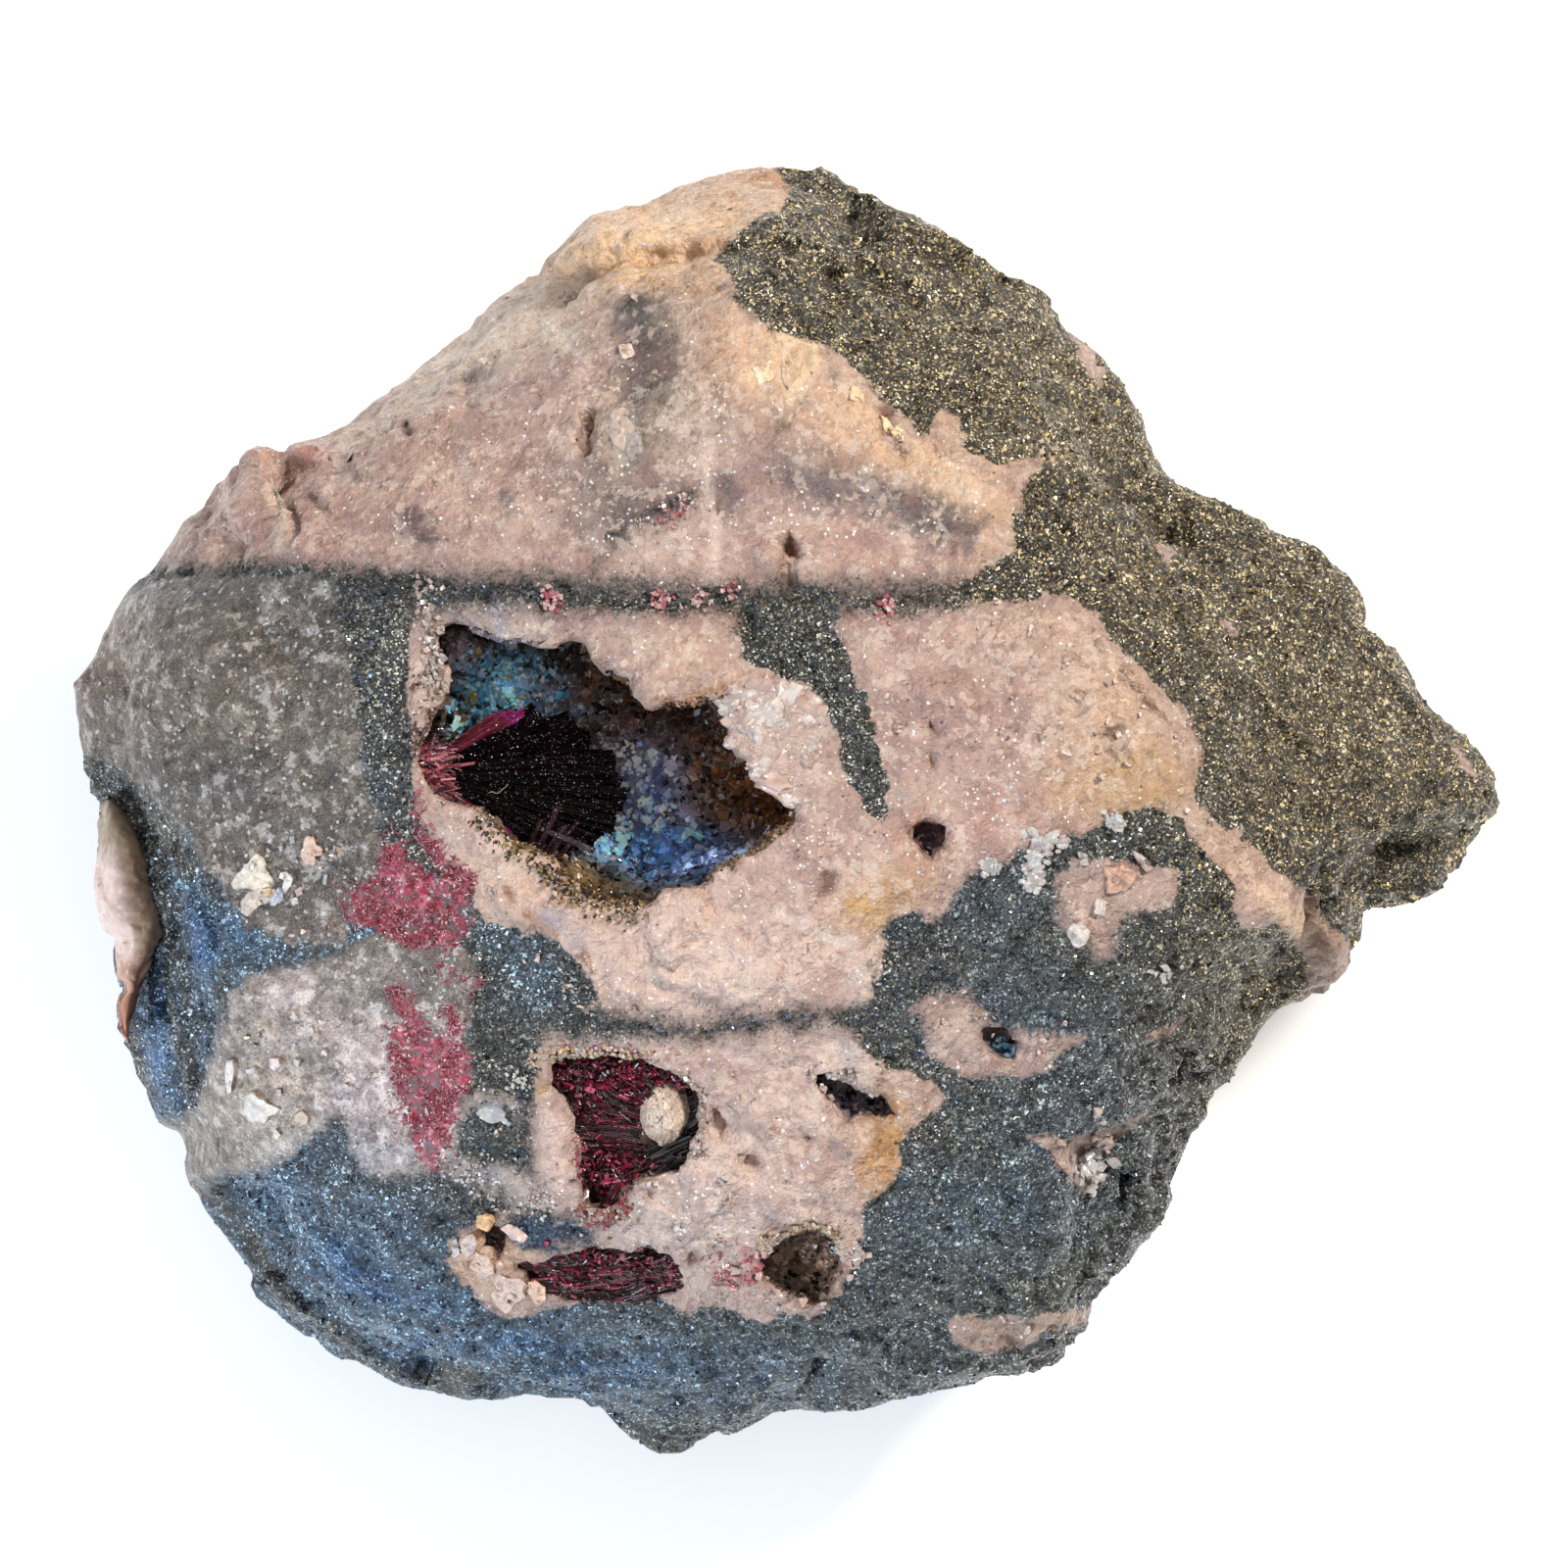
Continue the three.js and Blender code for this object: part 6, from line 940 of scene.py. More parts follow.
    # twinkle: painted sparkle highlights in the base colour, warm or cool like the two lamps, thickest in the glitter
    # zones
    pcol = m.mixc(m.math("MULTIPLY", twinkle, m.map(c4[1], 0.0, 1.0, 0.15, 1.0)), pcol, m.mixc(m.map(c4[0], 0.55, 0.7), (1.0, 0.96, 0.90), (0.66, 0.79, 1.0)))
    dust = m.map(m.math("ADD", c4[1], m.math("MULTIPLY", zb[2], m.map(za[0], -1.0, -0.05, 0.0, 0.22, smooth=False))), 1.0, 1.04)
    pcol = m.mixc(m.math("MULTIPLY", dust, 0.72), pcol, srgb(62, 58, 60))
    m.link(m.vmath("MULTIPLY", pcol, (1.0, 0.96, 0.915)), d.inputs["Base Color"])
    m.link(m.map(f1[1], 0.0, 1.0, 0.24, 0.60, smooth=False), d.inputs["Roughness"])
    hp = m.math("MULTIPLY", m.noise(0.75, 4.0, 0.66), 1.4)
    nd = m.bump(hp, 1.0, 0.42)
    nd = m.flakes(f2v, 0.13, nd)
    m.link(m.flakes(f1v, 0.24, nd), d.inputs["Normal"])
    d.inputs["Subsurface Weight"].default_value = SKIN_SSS
    d.inputs["Subsurface Radius"].default_value = (1.0, 0.62, 0.5)
    d.inputs["Subsurface Scale"].default_value = 0.0006

    # --- grey quartz: glassy and dark, with frosted threads, milky angular patches, ore dust and painted sparkle dots
    q = m.principled()
    qz = m.attr("tint_quartz"); streak = m.noise(1.3, 3.0, 0.70, dist=1.0)
    qcol = m.scale(qz, m.math("MAXIMUM", 0.12, m.math("ADD", -0.42, m.math("MULTIPLY", m.math("ADD", m.math("MULTIPLY", n_mid, 0.60), m.math("MULTIPLY", milk, 0.40)), 2.5))))
    qcol = m.mixc(m.math("MULTIPLY", m.map(streak, 0.54, 0.66), 0.40), qcol, m.scale(qz, 1.8))
    qcol = m.mixc(m.math("MULTIPLY", m.map(streak, 0.46, 0.34), 0.60), qcol, m.scale(qz, 0.30))
    frost = m.map(m.math("ADD", m.math("MULTIPLY", n_mid, 0.50), m.math("MULTIPLY", milk, 0.60)), 0.585, 0.64)
    pale = m.split(m.vmath("ADD", qz, (0, 0, 0)))
    qth = m.math("SUBTRACT", m.map(swarm, 0.42, 0.66, 1.02, 0.55, smooth=False), m.map(pale[0], 0.20, 0.34, 0.0, 0.22, smooth=False))
    qfl = m.math("MAXIMUM", m.map(f1[0], qth, m.math("ADD", qth, 0.03)), m.map(f2[0], m.math("ADD", qth, 0.08), m.math("ADD", qth, 0.11)))
    qcol = m.mixc(m.math("MULTIPLY", qfl, m.math("ADD", 0.10, m.math("MULTIPLY", f1[1], 0.32))), qcol, m.mixc(0.35, m.scale(qz, 1.9), srgb(236, 226, 222)))
    qcol = m.mixc(m.math("MULTIPLY", frost, 0.62), qcol, m.mixc(0.5, m.scale(qz, 2.0), srgb(240, 236, 236)))
    q2 = m.split(m.voro(0.17))
    # near-white dots in a few cells: painted sparkle highlights
    qcol = m.mixc(m.math("MULTIPLY", m.map(q2[0], 0.960, 0.985), 0.75), qcol, srgb(226, 228, 232))
    qcol = m.mixc(m.math("MULTIPLY", m.map(q2[1], 0.90, 0.97), 0.42), qcol, srgb(54, 50, 50))
    m.link(qcol, q.inputs["Base Color"])
    m.link(m.map(q2[2], 0.0, 1.0, 0.16, 0.46, smooth=False), q.inputs["Roughness"])
    m.link(m.flakes(f2v, 0.26, m.bump(m.math("MULTIPLY", m.noise(0.6, 3.0, 0.7), 1.6), 1.0, 0.32)), q.inputs["Normal"])

    # --- red crust
    r = m.principled()
    rcol = m.mixc(m.map(n_strand, 0.35, 0.62), srgb(98, 4, 38), srgb(192, 30, 78))
    r2 = m.split(m.voro(0.16)); r3 = m.noise(1.0, 3.0, 0.65)
    rcol = m.mixc(m.math("MULTIPLY", m.map(r2[0], 0.7, 0.95), 0.5), rcol, srgb(226, 150, 160))
    rcol = m.mixc(m.math("MULTIPLY", m.map(r2[1], 0.8, 0.95), 0.6), rcol, srgb(60, 30, 40))
    rcol = m.mixc(m.math("MULTIPLY", m.map(r3, 0.50, 0.58), 0.85), rcol, srgb(92, 80, 82))
    rcol = m.mixc(m.math("MULTIPLY", m.map(r3, 0.42, 0.36), 0.65), rcol, srgb(206, 140, 152))
    # near-white dots in a few cells: painted glints
    rcol = m.mixc(m.math("MULTIPLY", m.map(r2[2], 0.95, 0.98), 0.8), rcol, srgb(226, 224, 236))
    m.link(rcol, r.inputs["Base Color"]); r.inputs["Roughness"].default_value = 0.42
    m.link(m.bump(n_strand, 0.9, 0.2), r.inputs["Normal"])

    # --- cavity walls
    w = m.principled()
    w2 = m.split(m.voro(0.3))
    vcol = m.scale(m.attr("tint_vug"), m.math("ADD", 0.5, m.math("MULTIPLY", n_mid, 1.2)))
    vcol = m.mixc(m.math("MULTIPLY", m.map(w2[1], 0.82, 0.93), 0.75), vcol, (0.02, 0.015, 0.012))
    m.link(vcol, w.inputs["Base Color"]); m.link(m.map(w2[0], 0.0, 1.0, 0.15, 0.5, smooth=False), w.inputs["Roughness"])
    m.link(m.flakes(m.voro(0.3), 0.5, m.bump(n_mid, 0.9, 0.25)), w.inputs["Normal"])

    s = m.blend(is_quartz, o.outputs[0], q.outputs[0])
    s = m.blend(is_pink, s, d.outputs[0])
    s = m.blend(is_red, s, r.outputs[0])
    s = m.blend(in_vug, s, w.outputs[0])
    m.link(s, m.out.inputs["Surface"])
    for x in (o, d, q, r, w):
        x.inputs["IOR"].default_value = 1.55
    return m.mat

SKIN_SSS = 0.0
ROCK_MAT = rock_material()
rock.data.materials.append(ROCK_MAT)

# ------------------------------------------------------------------ crystals, made in bulk
def frame_of(d, n):
    """Unit axes for many laths: along d, across, and out (close to n)."""
    d = d / (np.linalg.norm(d, axis=1, keepdims=True) + 1e-12)
    w = np.cross(d, n); w = w / (np.linalg.norm(w, axis=1, keepdims=True) + 1e-12)
    t = np.cross(w, d)
    return d, w, t

def laths(A, B, wid, thk, n, taper, tip, rng, sides=6):
    """Closed laths from A to B: flattened six-sided section, slanting end. Returns vertices, faces and
    a lath coordinate (across, along, random) for every vertex."""
    m = len(A); wid = np.broadcast_to(wid, (m,)).astype(float); thk = np.broadcast_to(thk, (m,)).astype(float)
    taper = np.broadcast_to(taper, (m,)).astype(float); tip = np.broadcast_to(tip, (m,)).astype(float)
    d, w, t = frame_of(B - A, np.broadcast_to(n, A.shape).astype(float))
    L = np.linalg.norm(B - A, axis=1)
    sec = np.array([[1, 0], [0.70, 1], [-0.70, 1], [-1, 0], [-0.70, -1], [0.70, -1]]) if sides == 6 else np.array([[1, 1], [-1, 1], [-1, -1], [1, -1]]) * 0.8
    k = len(sec); slant = rng.uniform(-0.6, 0.6, m); r = rng.random(m)
    V = np.zeros((m, 2 * k, 3)); C = np.zeros((m, 2 * k, 3))
    for i, (a, b) in enumerate(sec):
        V[:, i] = A + w * (a * wid * 0.5)[:, None] + t * (b * thk * 0.5)[:, None]
        V[:, k + i] = B + w * (a * wid * 0.5 * taper)[:, None] + t * (b * thk * 0.5 * taper)[:, None] + d * (a * slant * wid * 0.5 + (1 - abs(b)) * tip)[:, None]
        C[:, i] = np.stack([a * wid * 0.5, 0 * L, r], -1); C[:, k + i] = np.stack([a * wid * 0.5, L, r], -1)
    F = [[i, (i + 1) % k, k + (i + 1) % k, k + i] for i in range(k)]
    base = (np.arange(m) * 2 * k)[:, None, None]
    Q = (np.array(F)[None] + base).reshape(-1, 4)[:, ::-1]
    caps = (np.array([list(range(k)), [k + i for i in range(k)][::-1]])[None] + base).reshape(-1, k)
    return V.reshape(-1, 3), [Q, caps], C.reshape(-1, 3)

def rot_random(m, rng):
    q = rng.normal(size=(m, 4)); q /= np.linalg.norm(q, axis=1, keepdims=True)
    w, x, y, z = q.T
    return np.stack([1 - 2 * (y * y + z * z), 2 * (x * y - z * w), 2 * (x * z + y * w), 2 * (x * y + z * w), 1 - 2 * (x * x + z * z), 2 * (y * z - x * w),
                     2 * (x * z - y * w), 2 * (y * z + x * w), 1 - 2 * (x * x + y * y)], -1).reshape(m, 3, 3)

def rot_onto(n, spin, tilt, rng):
    """Rotations whose third axis is near n, spun about it and tipped a little."""
    m = len(n)
    z = n + rng.normal(size=(m, 3)) * np.broadcast_to(tilt, (m,))[:, None]
    z /= np.linalg.norm(z, axis=1, keepdims=True)
    h = np.where(np.abs(z[:, :1]) < 0.8, [[1.0, 0, 0]], [[0, 1.0, 0]])
    x = np.cross(h, z); x /= np.linalg.norm(x, axis=1, keepdims=True); y = np.cross(z, x)
    c, s = np.cos(spin)[:, None], np.sin(spin)[:, None]
    x2 = x * c + y * s; y2 = -x * s + y * c
    return np.stack([x2, y2, z], -1)

BOX = np.array([[i, j, k] for i in (-1, 1) for j in (-1, 1) for k in (-1, 1)], float) * 0.5
BOXF = np.array([[0, 1, 3, 2], [4, 6, 7, 5], [0, 4, 5, 1], [2, 3, 7, 6], [0, 2, 6, 4], [1, 5, 7, 3]])

def rhombs(P, R, size, rng, skew=0.26, rough=0.10):
    """Closed cleavage rhombs at P, turned by R, edges size (m,3), corners a little broken."""
    m = len(P)
    B = np.broadcast_to(BOX, (m, 8, 3)) * size[:, None, :]
    B = B + rng.normal(size=(m, 8, 3)) * rough * size.min(1)[:, None, None]
    X = B.copy(); X[:, :, 0] += skew * B[:, :, 1]; X[:, :, 1] += skew * B[:, :, 2]
    V = P[:, None] + np.einsum("mij,mkj->mki", R, X)
    Q = (BOXF[None] + (np.arange(m) * 8)[:, None, None]).reshape(-1, 4)
    return V.reshape(-1, 3), Q

# skin points, by area, where a test on the zone fields holds
_sf = np.concatenate([RQF, RQP]); _sc = RV[_sf].mean(1)
_e1 = RV[_sf[:, 2]] - RV[_sf[:, 0]]; _e2 = RV[_sf[:, 3]] - RV[_sf[:, 1]]
_sn = np.cross(_e1, _e2); _sa = np.linalg.norm(_sn, axis=1) * 0.5; _sn /= (2 * _sa[:, None] + 1e-12)
_zu, _zv, _zp, _zq, _zr, _zvug, _zd = zone_fields(_sc)

def skin_points(mask, n, rng, weight=None):
    w = _sa * mask
    if weight is not None:
        w = w * weight
    f = rng.choice(len(_sf), n, p=w / w.sum())
    a, b = rng.random(n)[:, None], rng.random(n)[:, None]
    q = RV[_sf[f]]
    p = mix(mix(q[:, 0], q[:, 1], a), mix(q[:, 3], q[:, 2], a), b)
    return p, _sn[f], f

def attr(ob, name, arr):
    put(ob, name, arr)

def per(arr, k):
    return np.repeat(arr, k, axis=0)

PIECES = [(rock, "rock")]

# --- the crimson spray -------------------------------------------------------
ERY_ROOT = at(438, 787, 1.35)
FAN = np.array([[36, 88], [34, 92], [28, 110], [23.8, 131], [19, 146], [15.6, 158], [9, 164], [5.3, 168], [3.4, 186], [-3, 188], [-8.5, 191], [-11.8, 199], [-15, 198], [-19, 193], [-22, 188], [-25.1, 176], [-29, 150], [-33, 138], [-38.7, 122]])
FAN_GROUPS = [  # angle from, angle to, u of the end or 0, reach, lift of the group (mm), blades
 (20.5, 30, 0, 128, 0.20, 10), (13.5, 20.5, 0, 157, 0.48, 10), (4.0, 13.5, 600, 163, 0.78, 14), (-7.0, 4.5, 627, 189, 0.26, 14), (-12.5, -6.5, 0, 200, 0.62, 9),
 (-17.5, -12, 0, 194, 0.34, 8), (-24.5, -17, 0, 184, 0.60, 9), (-31, -24, 0, 165, 0.28, 9), (-38.5, -30.5, 0, 138, 0.46, 9)]
GLOW_GROUPS = [(29.5, 33.0, 0, 112, 0.10, 3), (33.0, 38.5, 0, 97, 0.02, 4), (-41.5, -37.0, 0, 116, 0.30, 4)]
def fan_piece(name, groups, seed, needles):
    rng = np.random.default_rng(seed); rows = []
    for a0, a1, ue, R, up, k in groups:
        for j in range(k):
            th = mix(a0, a1, (j + 0.5) / k) + rng.normal() * 0.5
            r = (ue - 438) / math.cos(math.radians(th)) if ue else R + rng.normal() * 1.5
            rows.append((th, r * (1.0 if j % 3 else rng.uniform(0.84, 0.97)), rng.uniform(4, 20), rng.uniform(0.42, 0.85) * r / 165, up + rng.uniform(-0.07, 0.07)))
            rows.append((th + rng.normal() * 1.2, r * rng.uniform(0.90, 0.985), rng.uniform(4, 24), rng.uniform(0.6, 1.1), up + rng.uniform(0.35, 0.9)))
    rows = np.array(rows); m = len(rows)
    th, R, start, wid, lay = rows.T
    a = np.radians(th)
    u0 = 438 + np.cos(a) * start; v0 = 787 - np.sin(a) * start - th * 0.10
    u1 = 438 + np.cos(a) * R; v1 = 787 - np.sin(a) * R
    sink = np.interp(th, [-39, -20, 0, 20, 36], [2.6, 3.4, 3.1, 2.3, 1.6]) * (R / 190.0) * 1.1
    A = at(u0, v0, 1.05 + lay * 0.45 + rng.uniform(0, 0.2, m)); B = at(u1, v1, 0.55 + lay + sink)
    n = np.stack([0.3 * np.sin(a * 4) + rng.normal(size=m) * 0.16, 0.25 * rng.normal(size=m), np.ones(m)], -1)
    V, F, C = laths(A, B, wid, rng.uniform(0.12, 0.24, m), n, rng.uniform(1.05, 1.3, m), 0.0, rng)
    # fine needles lying along the blades, never past their ends
    k = needles
    th2 = rng.uniform(min(q[0] for q in groups), max(q[1] for q in groups), k); g = np.array([next((i for i, q in enumerate(groups) if q[0] <= t <= q[1]), 0) for t in th2], int)
    G = np.array([q[:5] for q in groups])[g]
    a2 = np.radians(th2); Rg = np.where(G[:, 2] > 0, (G[:, 2] - 438) / np.cos(a2), G[:, 3])
    R2 = Rg * rng.uniform(0.5, 0.985, k); s2 = rng.uniform(6, 0.75 * R2)
    s_ = np.interp(th2, [-39, -20, 0, 20, 36], [2.6, 3.4, 3.1, 2.3, 1.6]) * 1.1
    up = G[:, 4] + 0.50 - rng.uniform(0.03, 0.12, k)
    dA = mix(1.05 + G[:, 4] * 0.45, 0.55 + G[:, 4] + s_ * Rg / 190, s2 / Rg) - rng.uniform(0.02, 0.14, k)
    dB = mix(1.05 + G[:, 4] * 0.45, 0.55 + G[:, 4] + s_ * Rg / 190, R2 / Rg) - rng.uniform(0.02, 0.14, k)
    A2 = at(438 + np.cos(a2) * s2, 787 - np.sin(a2) * s2, dA); B2 = at(438 + np.cos(a2) * R2, 787 - np.sin(a2) * R2 + rng.normal(size=k) * 0.8, dB)
    V2, F2, C2 = laths(A2, B2, rng.uniform(0.07, 0.18, k), rng.uniform(0.06, 0.12, k), np.array([[0.1, 0.1, 1.0]]) + rng.normal(size=(k, 3)) * 0.4, rng.uniform(0.8, 1.0, k), 0.03, rng)
    o = len(V)
    ob = add_mesh(name, np.concatenate([V, V2]), quads=[F[0], F[1], F2[0] + o, F2[1] + o], smooth_shade=False)
    attr(ob, "lath", np.concatenate([C, C2]))
    return ob

def root_tuft():
    """Short rosy blades packed at the spray's root, running into the rock."""
    rng = np.random.default_rng(43); m = 340
    a = np.radians(rng.normal(size=m) * 34 - 4); r = rng.uniform(8, 30, m)
    u0 = 433 + rng.normal(size=m) * 9; v0 = 786 + rng.uniform(-24, 26, m)
    A = at(u0, v0, 1.25 + rng.uniform(-0.7, 0.3, m)); B = at(u0 + np.cos(a) * r, v0 - np.sin(a) * r * 0.8, 0.80 + rng.uniform(-0.1, 0.7, m))
    V, F, C = laths(A, B, rng.uniform(0.06, 0.24, m), rng.uniform(0.05, 0.12, m), np.array([[0, 0, 1.0]]) + rng.normal(size=(m, 3)) * 0.6, rng.uniform(0.6, 1.0, m), 0.04, rng)
    ob = add_mesh("erythrite_spray_root", V, quads=F, smooth_shade=False)
    attr(ob, "lath", C); attr(ob, "tone", per(lin(mixtones(rng, m, [(166, 52, 70), (206, 116, 124), (66, 10, 24), (176, 74, 92), (120, 28, 48), (58, 22, 26), (226, 160, 156)])), 12))
    return ob

def mixtones(rng, m, tones):
    T = np.asarray(tones, float); i = rng.integers(0, len(T), m); j = rng.integers(0, len(T), m)
    return mix(T[i], T[j], rng.random((m, 1)))

# --- prisms that cross below the spray --------------------------------------
def cross_prisms():
    rng = np.random.default_rng(47)
    rows = [(543,879,1.55, 570,822,1.0, .40,.34), (549,880,1.75, 577,842,1.2, .44,.38), (553,846,1.35, 606,868,1.1, .38,.34), (560,872,1.5, 590,838,1.25, .26,.24),
            (538,868,1.6, 552,836,1.35, .28,.24), (566,880,1.75, 584,856,1.35, .30,.28), (534,866,1.5, 556,858,1.2, .20,.18)]
    A = np.array([at(r[0], r[1], r[2]) for r in rows]); B = np.array([at(r[3], r[4], r[5]) for r in rows])
    V, F, C = laths(A, B, [r[6] for r in rows], [r[7] for r in rows], np.array([[0.3, 0.2, 1.0]]), 0.96, 0.05, rng)
    ob = add_mesh("erythrite_prisms", V, quads=F, smooth_shade=False)
    attr(ob, "lath", C)
    return ob

# --- fibrous sheaves of the middle and lower cavities -----------------------
def strands(name, beds, seed, tones, wid=(0.05, 0.16), more=1.7):
    """Bundles of fine laths. A bed is (u0, v0, u1, v1, half-width, depth0, depth1, count, wander)."""
    rng = np.random.default_rng(seed); As, Bs, T = [], [], []
    for u0, v0, u1, v1, hw, d0, d1, k, wan in beds:
        k = int(k * more)
        e = np.array([u1 - u0, v1 - v0], float); L = np.hypot(*e); e /= L; p = np.array([-e[1], e[0]])
        off = rng.uniform(-1, 1, k) * hw; s0 = rng.uniform(-0.08, 0.42, k) * L; s1 = s0 + rng.uniform(0.35, 0.95, k) * L; s1 = np.minimum(s1, 1.05 * L)
        sw = rng.normal(size=k) * wan * L
        a = np.array([u0, v0]) + e * s0[:, None] + p * off[:, None]; b = np.array([u0, v0]) + e * s1[:, None] + p * (off + sw)[:, None]
        da = mix(d0, d1, s0 / L) + rng.uniform(-0.3, 0.3, k); db = mix(d0, d1, s1 / L) + rng.uniform(-0.35, 0.3, k)
        As.append(at(a[:, 0], a[:, 1], da)); Bs.append(at(b[:, 0], b[:, 1], db)); shade = mixtones(rng, k, tones); band = np.sin(off / hw * 5.0 + rng.normal()) * 0.35 + 0.85; T.append(shade * band[:, None])
    A, B, T = np.concatenate(As), np.concatenate(Bs), np.concatenate(T); m = len(A)
    V, F, C = laths(A, B, rng.uniform(*wid, m), rng.uniform(0.05, 0.11, m), np.array([[0, 0, 1.0]]) + rng.normal(size=(m, 3)) * 0.6, rng.uniform(0.6, 1.0, m), 0.04, rng)
    ob = add_mesh(name, V, quads=F, smooth_shade=False)
    attr(ob, "lath", C); attr(ob, "tone", per(lin(T), 12))
    return ob

FIB = [(92, 10, 32), (60, 6, 20), (150, 24, 62), (28, 4, 10), (40, 5, 14), (70, 8, 26), (22, 4, 8), (214, 92, 124)]
SHEAF_MID = [
 (560,1090,640,1104,12,1.0,1.3,110,.12),(575,1078,660,1086,10,0.9,1.2,90,.10),(630,1082,692,1104,12,0.9,1.2,90,.14),(580,1102,650,1116,12,1.3,1.7,110,.16),
 (578,1122,656,1130,9,1.5,1.9,90,.06),(584,1140,652,1148,9,1.6,2.0,90,.05),(590,1158,652,1166,9,1.7,2.1,90,.05),(592,1176,654,1182,9,1.7,2.1,90,.05),(590,1194,652,1198,9,1.6,2.2,90,.06),
 (618,1212,648,1204,8,1.3,1.8,40,.1),(600,1120,640,1190,18,2.2,2.4,60,.2),(622,1230,640,1200,6,1.0,1.6,26,.1),
 (560,1112,590,1150,6,1.0,1.6,26,.2)]
SHEAF_MID_BLACK = [(640,1200,704,1166,14,2.2,2.9,120,.05),(650,1212,700,1186,8,1.9,2.5,60,.05),(652,1172,712,1128,16,2.6,3.2,90,.06),(648,1140,700,1120,14,3.0,3.4,50,.1)]
SHEAF_LOW = [(532,1288,604,1292,7,0.7,1.0,90,.06),(556,1304,640,1288,8,0.9,1.2,110,.08),(596,1306,694,1288,9,0.9,1.1,130,.08),(632,1324,694,1304,8,0.8,1.2,90,.08),(541,1312,600,1314,7,0.7,1.0,70,.08),
 (600,1318,650,1326,5,0.9,1.1,40,.08),(575,1284,600,1300,5,0.8,1.2,30,.2)]

spray = fan_piece("erythrite_spray", FAN_GROUPS, 41, 360); spray_edge = fan_piece("erythrite_spray_edge", GLOW_GROUPS, 42, 0); spray_root = root_tuft(); prisms_ob = cross_prisms()
sheaf_mid = strands("erythrite_sheaf_mid", SHEAF_MID, 53, FIB)
def tangle(name, paths, seed, tones):
    """Broken, jumbled blades of the middle cavity: paths of (u, v, spread, depth from, depth to, count)."""
    rng = np.random.default_rng(seed); As, Bs, T = [], [], []
    for u, v, sp, d0, d1, k in paths:
        q = np.array([u, v]) + rng.normal(size=(k, 2)) * sp * np.array([1.0, 0.55]); a = rng.normal(size=k) * 0.9; L = rng.uniform(2, 9, k)
        z = rng.uniform(d0, d1, k)
        As.append(at(q[:, 0], q[:, 1], z)); Bs.append(at(q[:, 0] + np.cos(a) * L, q[:, 1] + np.sin(a) * L, z + rng.normal(size=k) * 0.25)); T.append(mixtones(rng, k, tones))
    A, B, T = np.concatenate(As), np.concatenate(Bs), np.concatenate(T); m = len(A)
    V, F, C = laths(A, B, rng.uniform(0.10, 0.34, m), rng.uniform(0.08, 0.2, m), rng.normal(size=(m, 3)), rng.uniform(0.7, 1.1, m), 0.02, rng)
    ob = add_mesh(name, V, quads=F, smooth_shade=False)
    attr(ob, "lath", C); attr(ob, "tone", per(lin(T), 12))
    return ob
sheaf_knot = tangle("erythrite_sheaf_tangle", [(585,1092,16,0.5,1.2,260),(625,1090,18,0.5,1.2,300),(665,1096,16,0.5,1.3,240),(600,1110,14,0.9,1.6,200),(650,1112,12,0.9,1.5,160),(592,1138,10,1.2,1.8,90),(610,1182,14,1.3,2.0,120),(595,1200,8,1.0,1.8,80),(625,1200,14,1.3,2.0,110),
    (600,1290,26,0.4,1.0,120),(660,1296,22,0.4,1.0,110),(570,1300,14,0.5,1.0,70)], 58, FIB + [(176, 30, 70), (120, 14, 44)])
sheaf_dark = strands("erythrite_sheaf_dark", SHEAF_MID_BLACK, 57, [(34, 8, 16), (60, 10, 26), (24, 6, 12)], (0.10, 0.26))
sheaf_low = strands("erythrite_sheaf_low", SHEAF_LOW, 59, FIB)
PIECES += [(spray, "erythrite"), (spray_edge, "erythrite"), (spray_root, "erythrite"), (prisms_ob, "erythrite"), (sheaf_mid, "erythrite"), (sheaf_dark, "erythrite"), (sheaf_knot, "erythrite"), (sheaf_low, "erythrite")]
print("erythrite", round(time.time() - T0, 1))

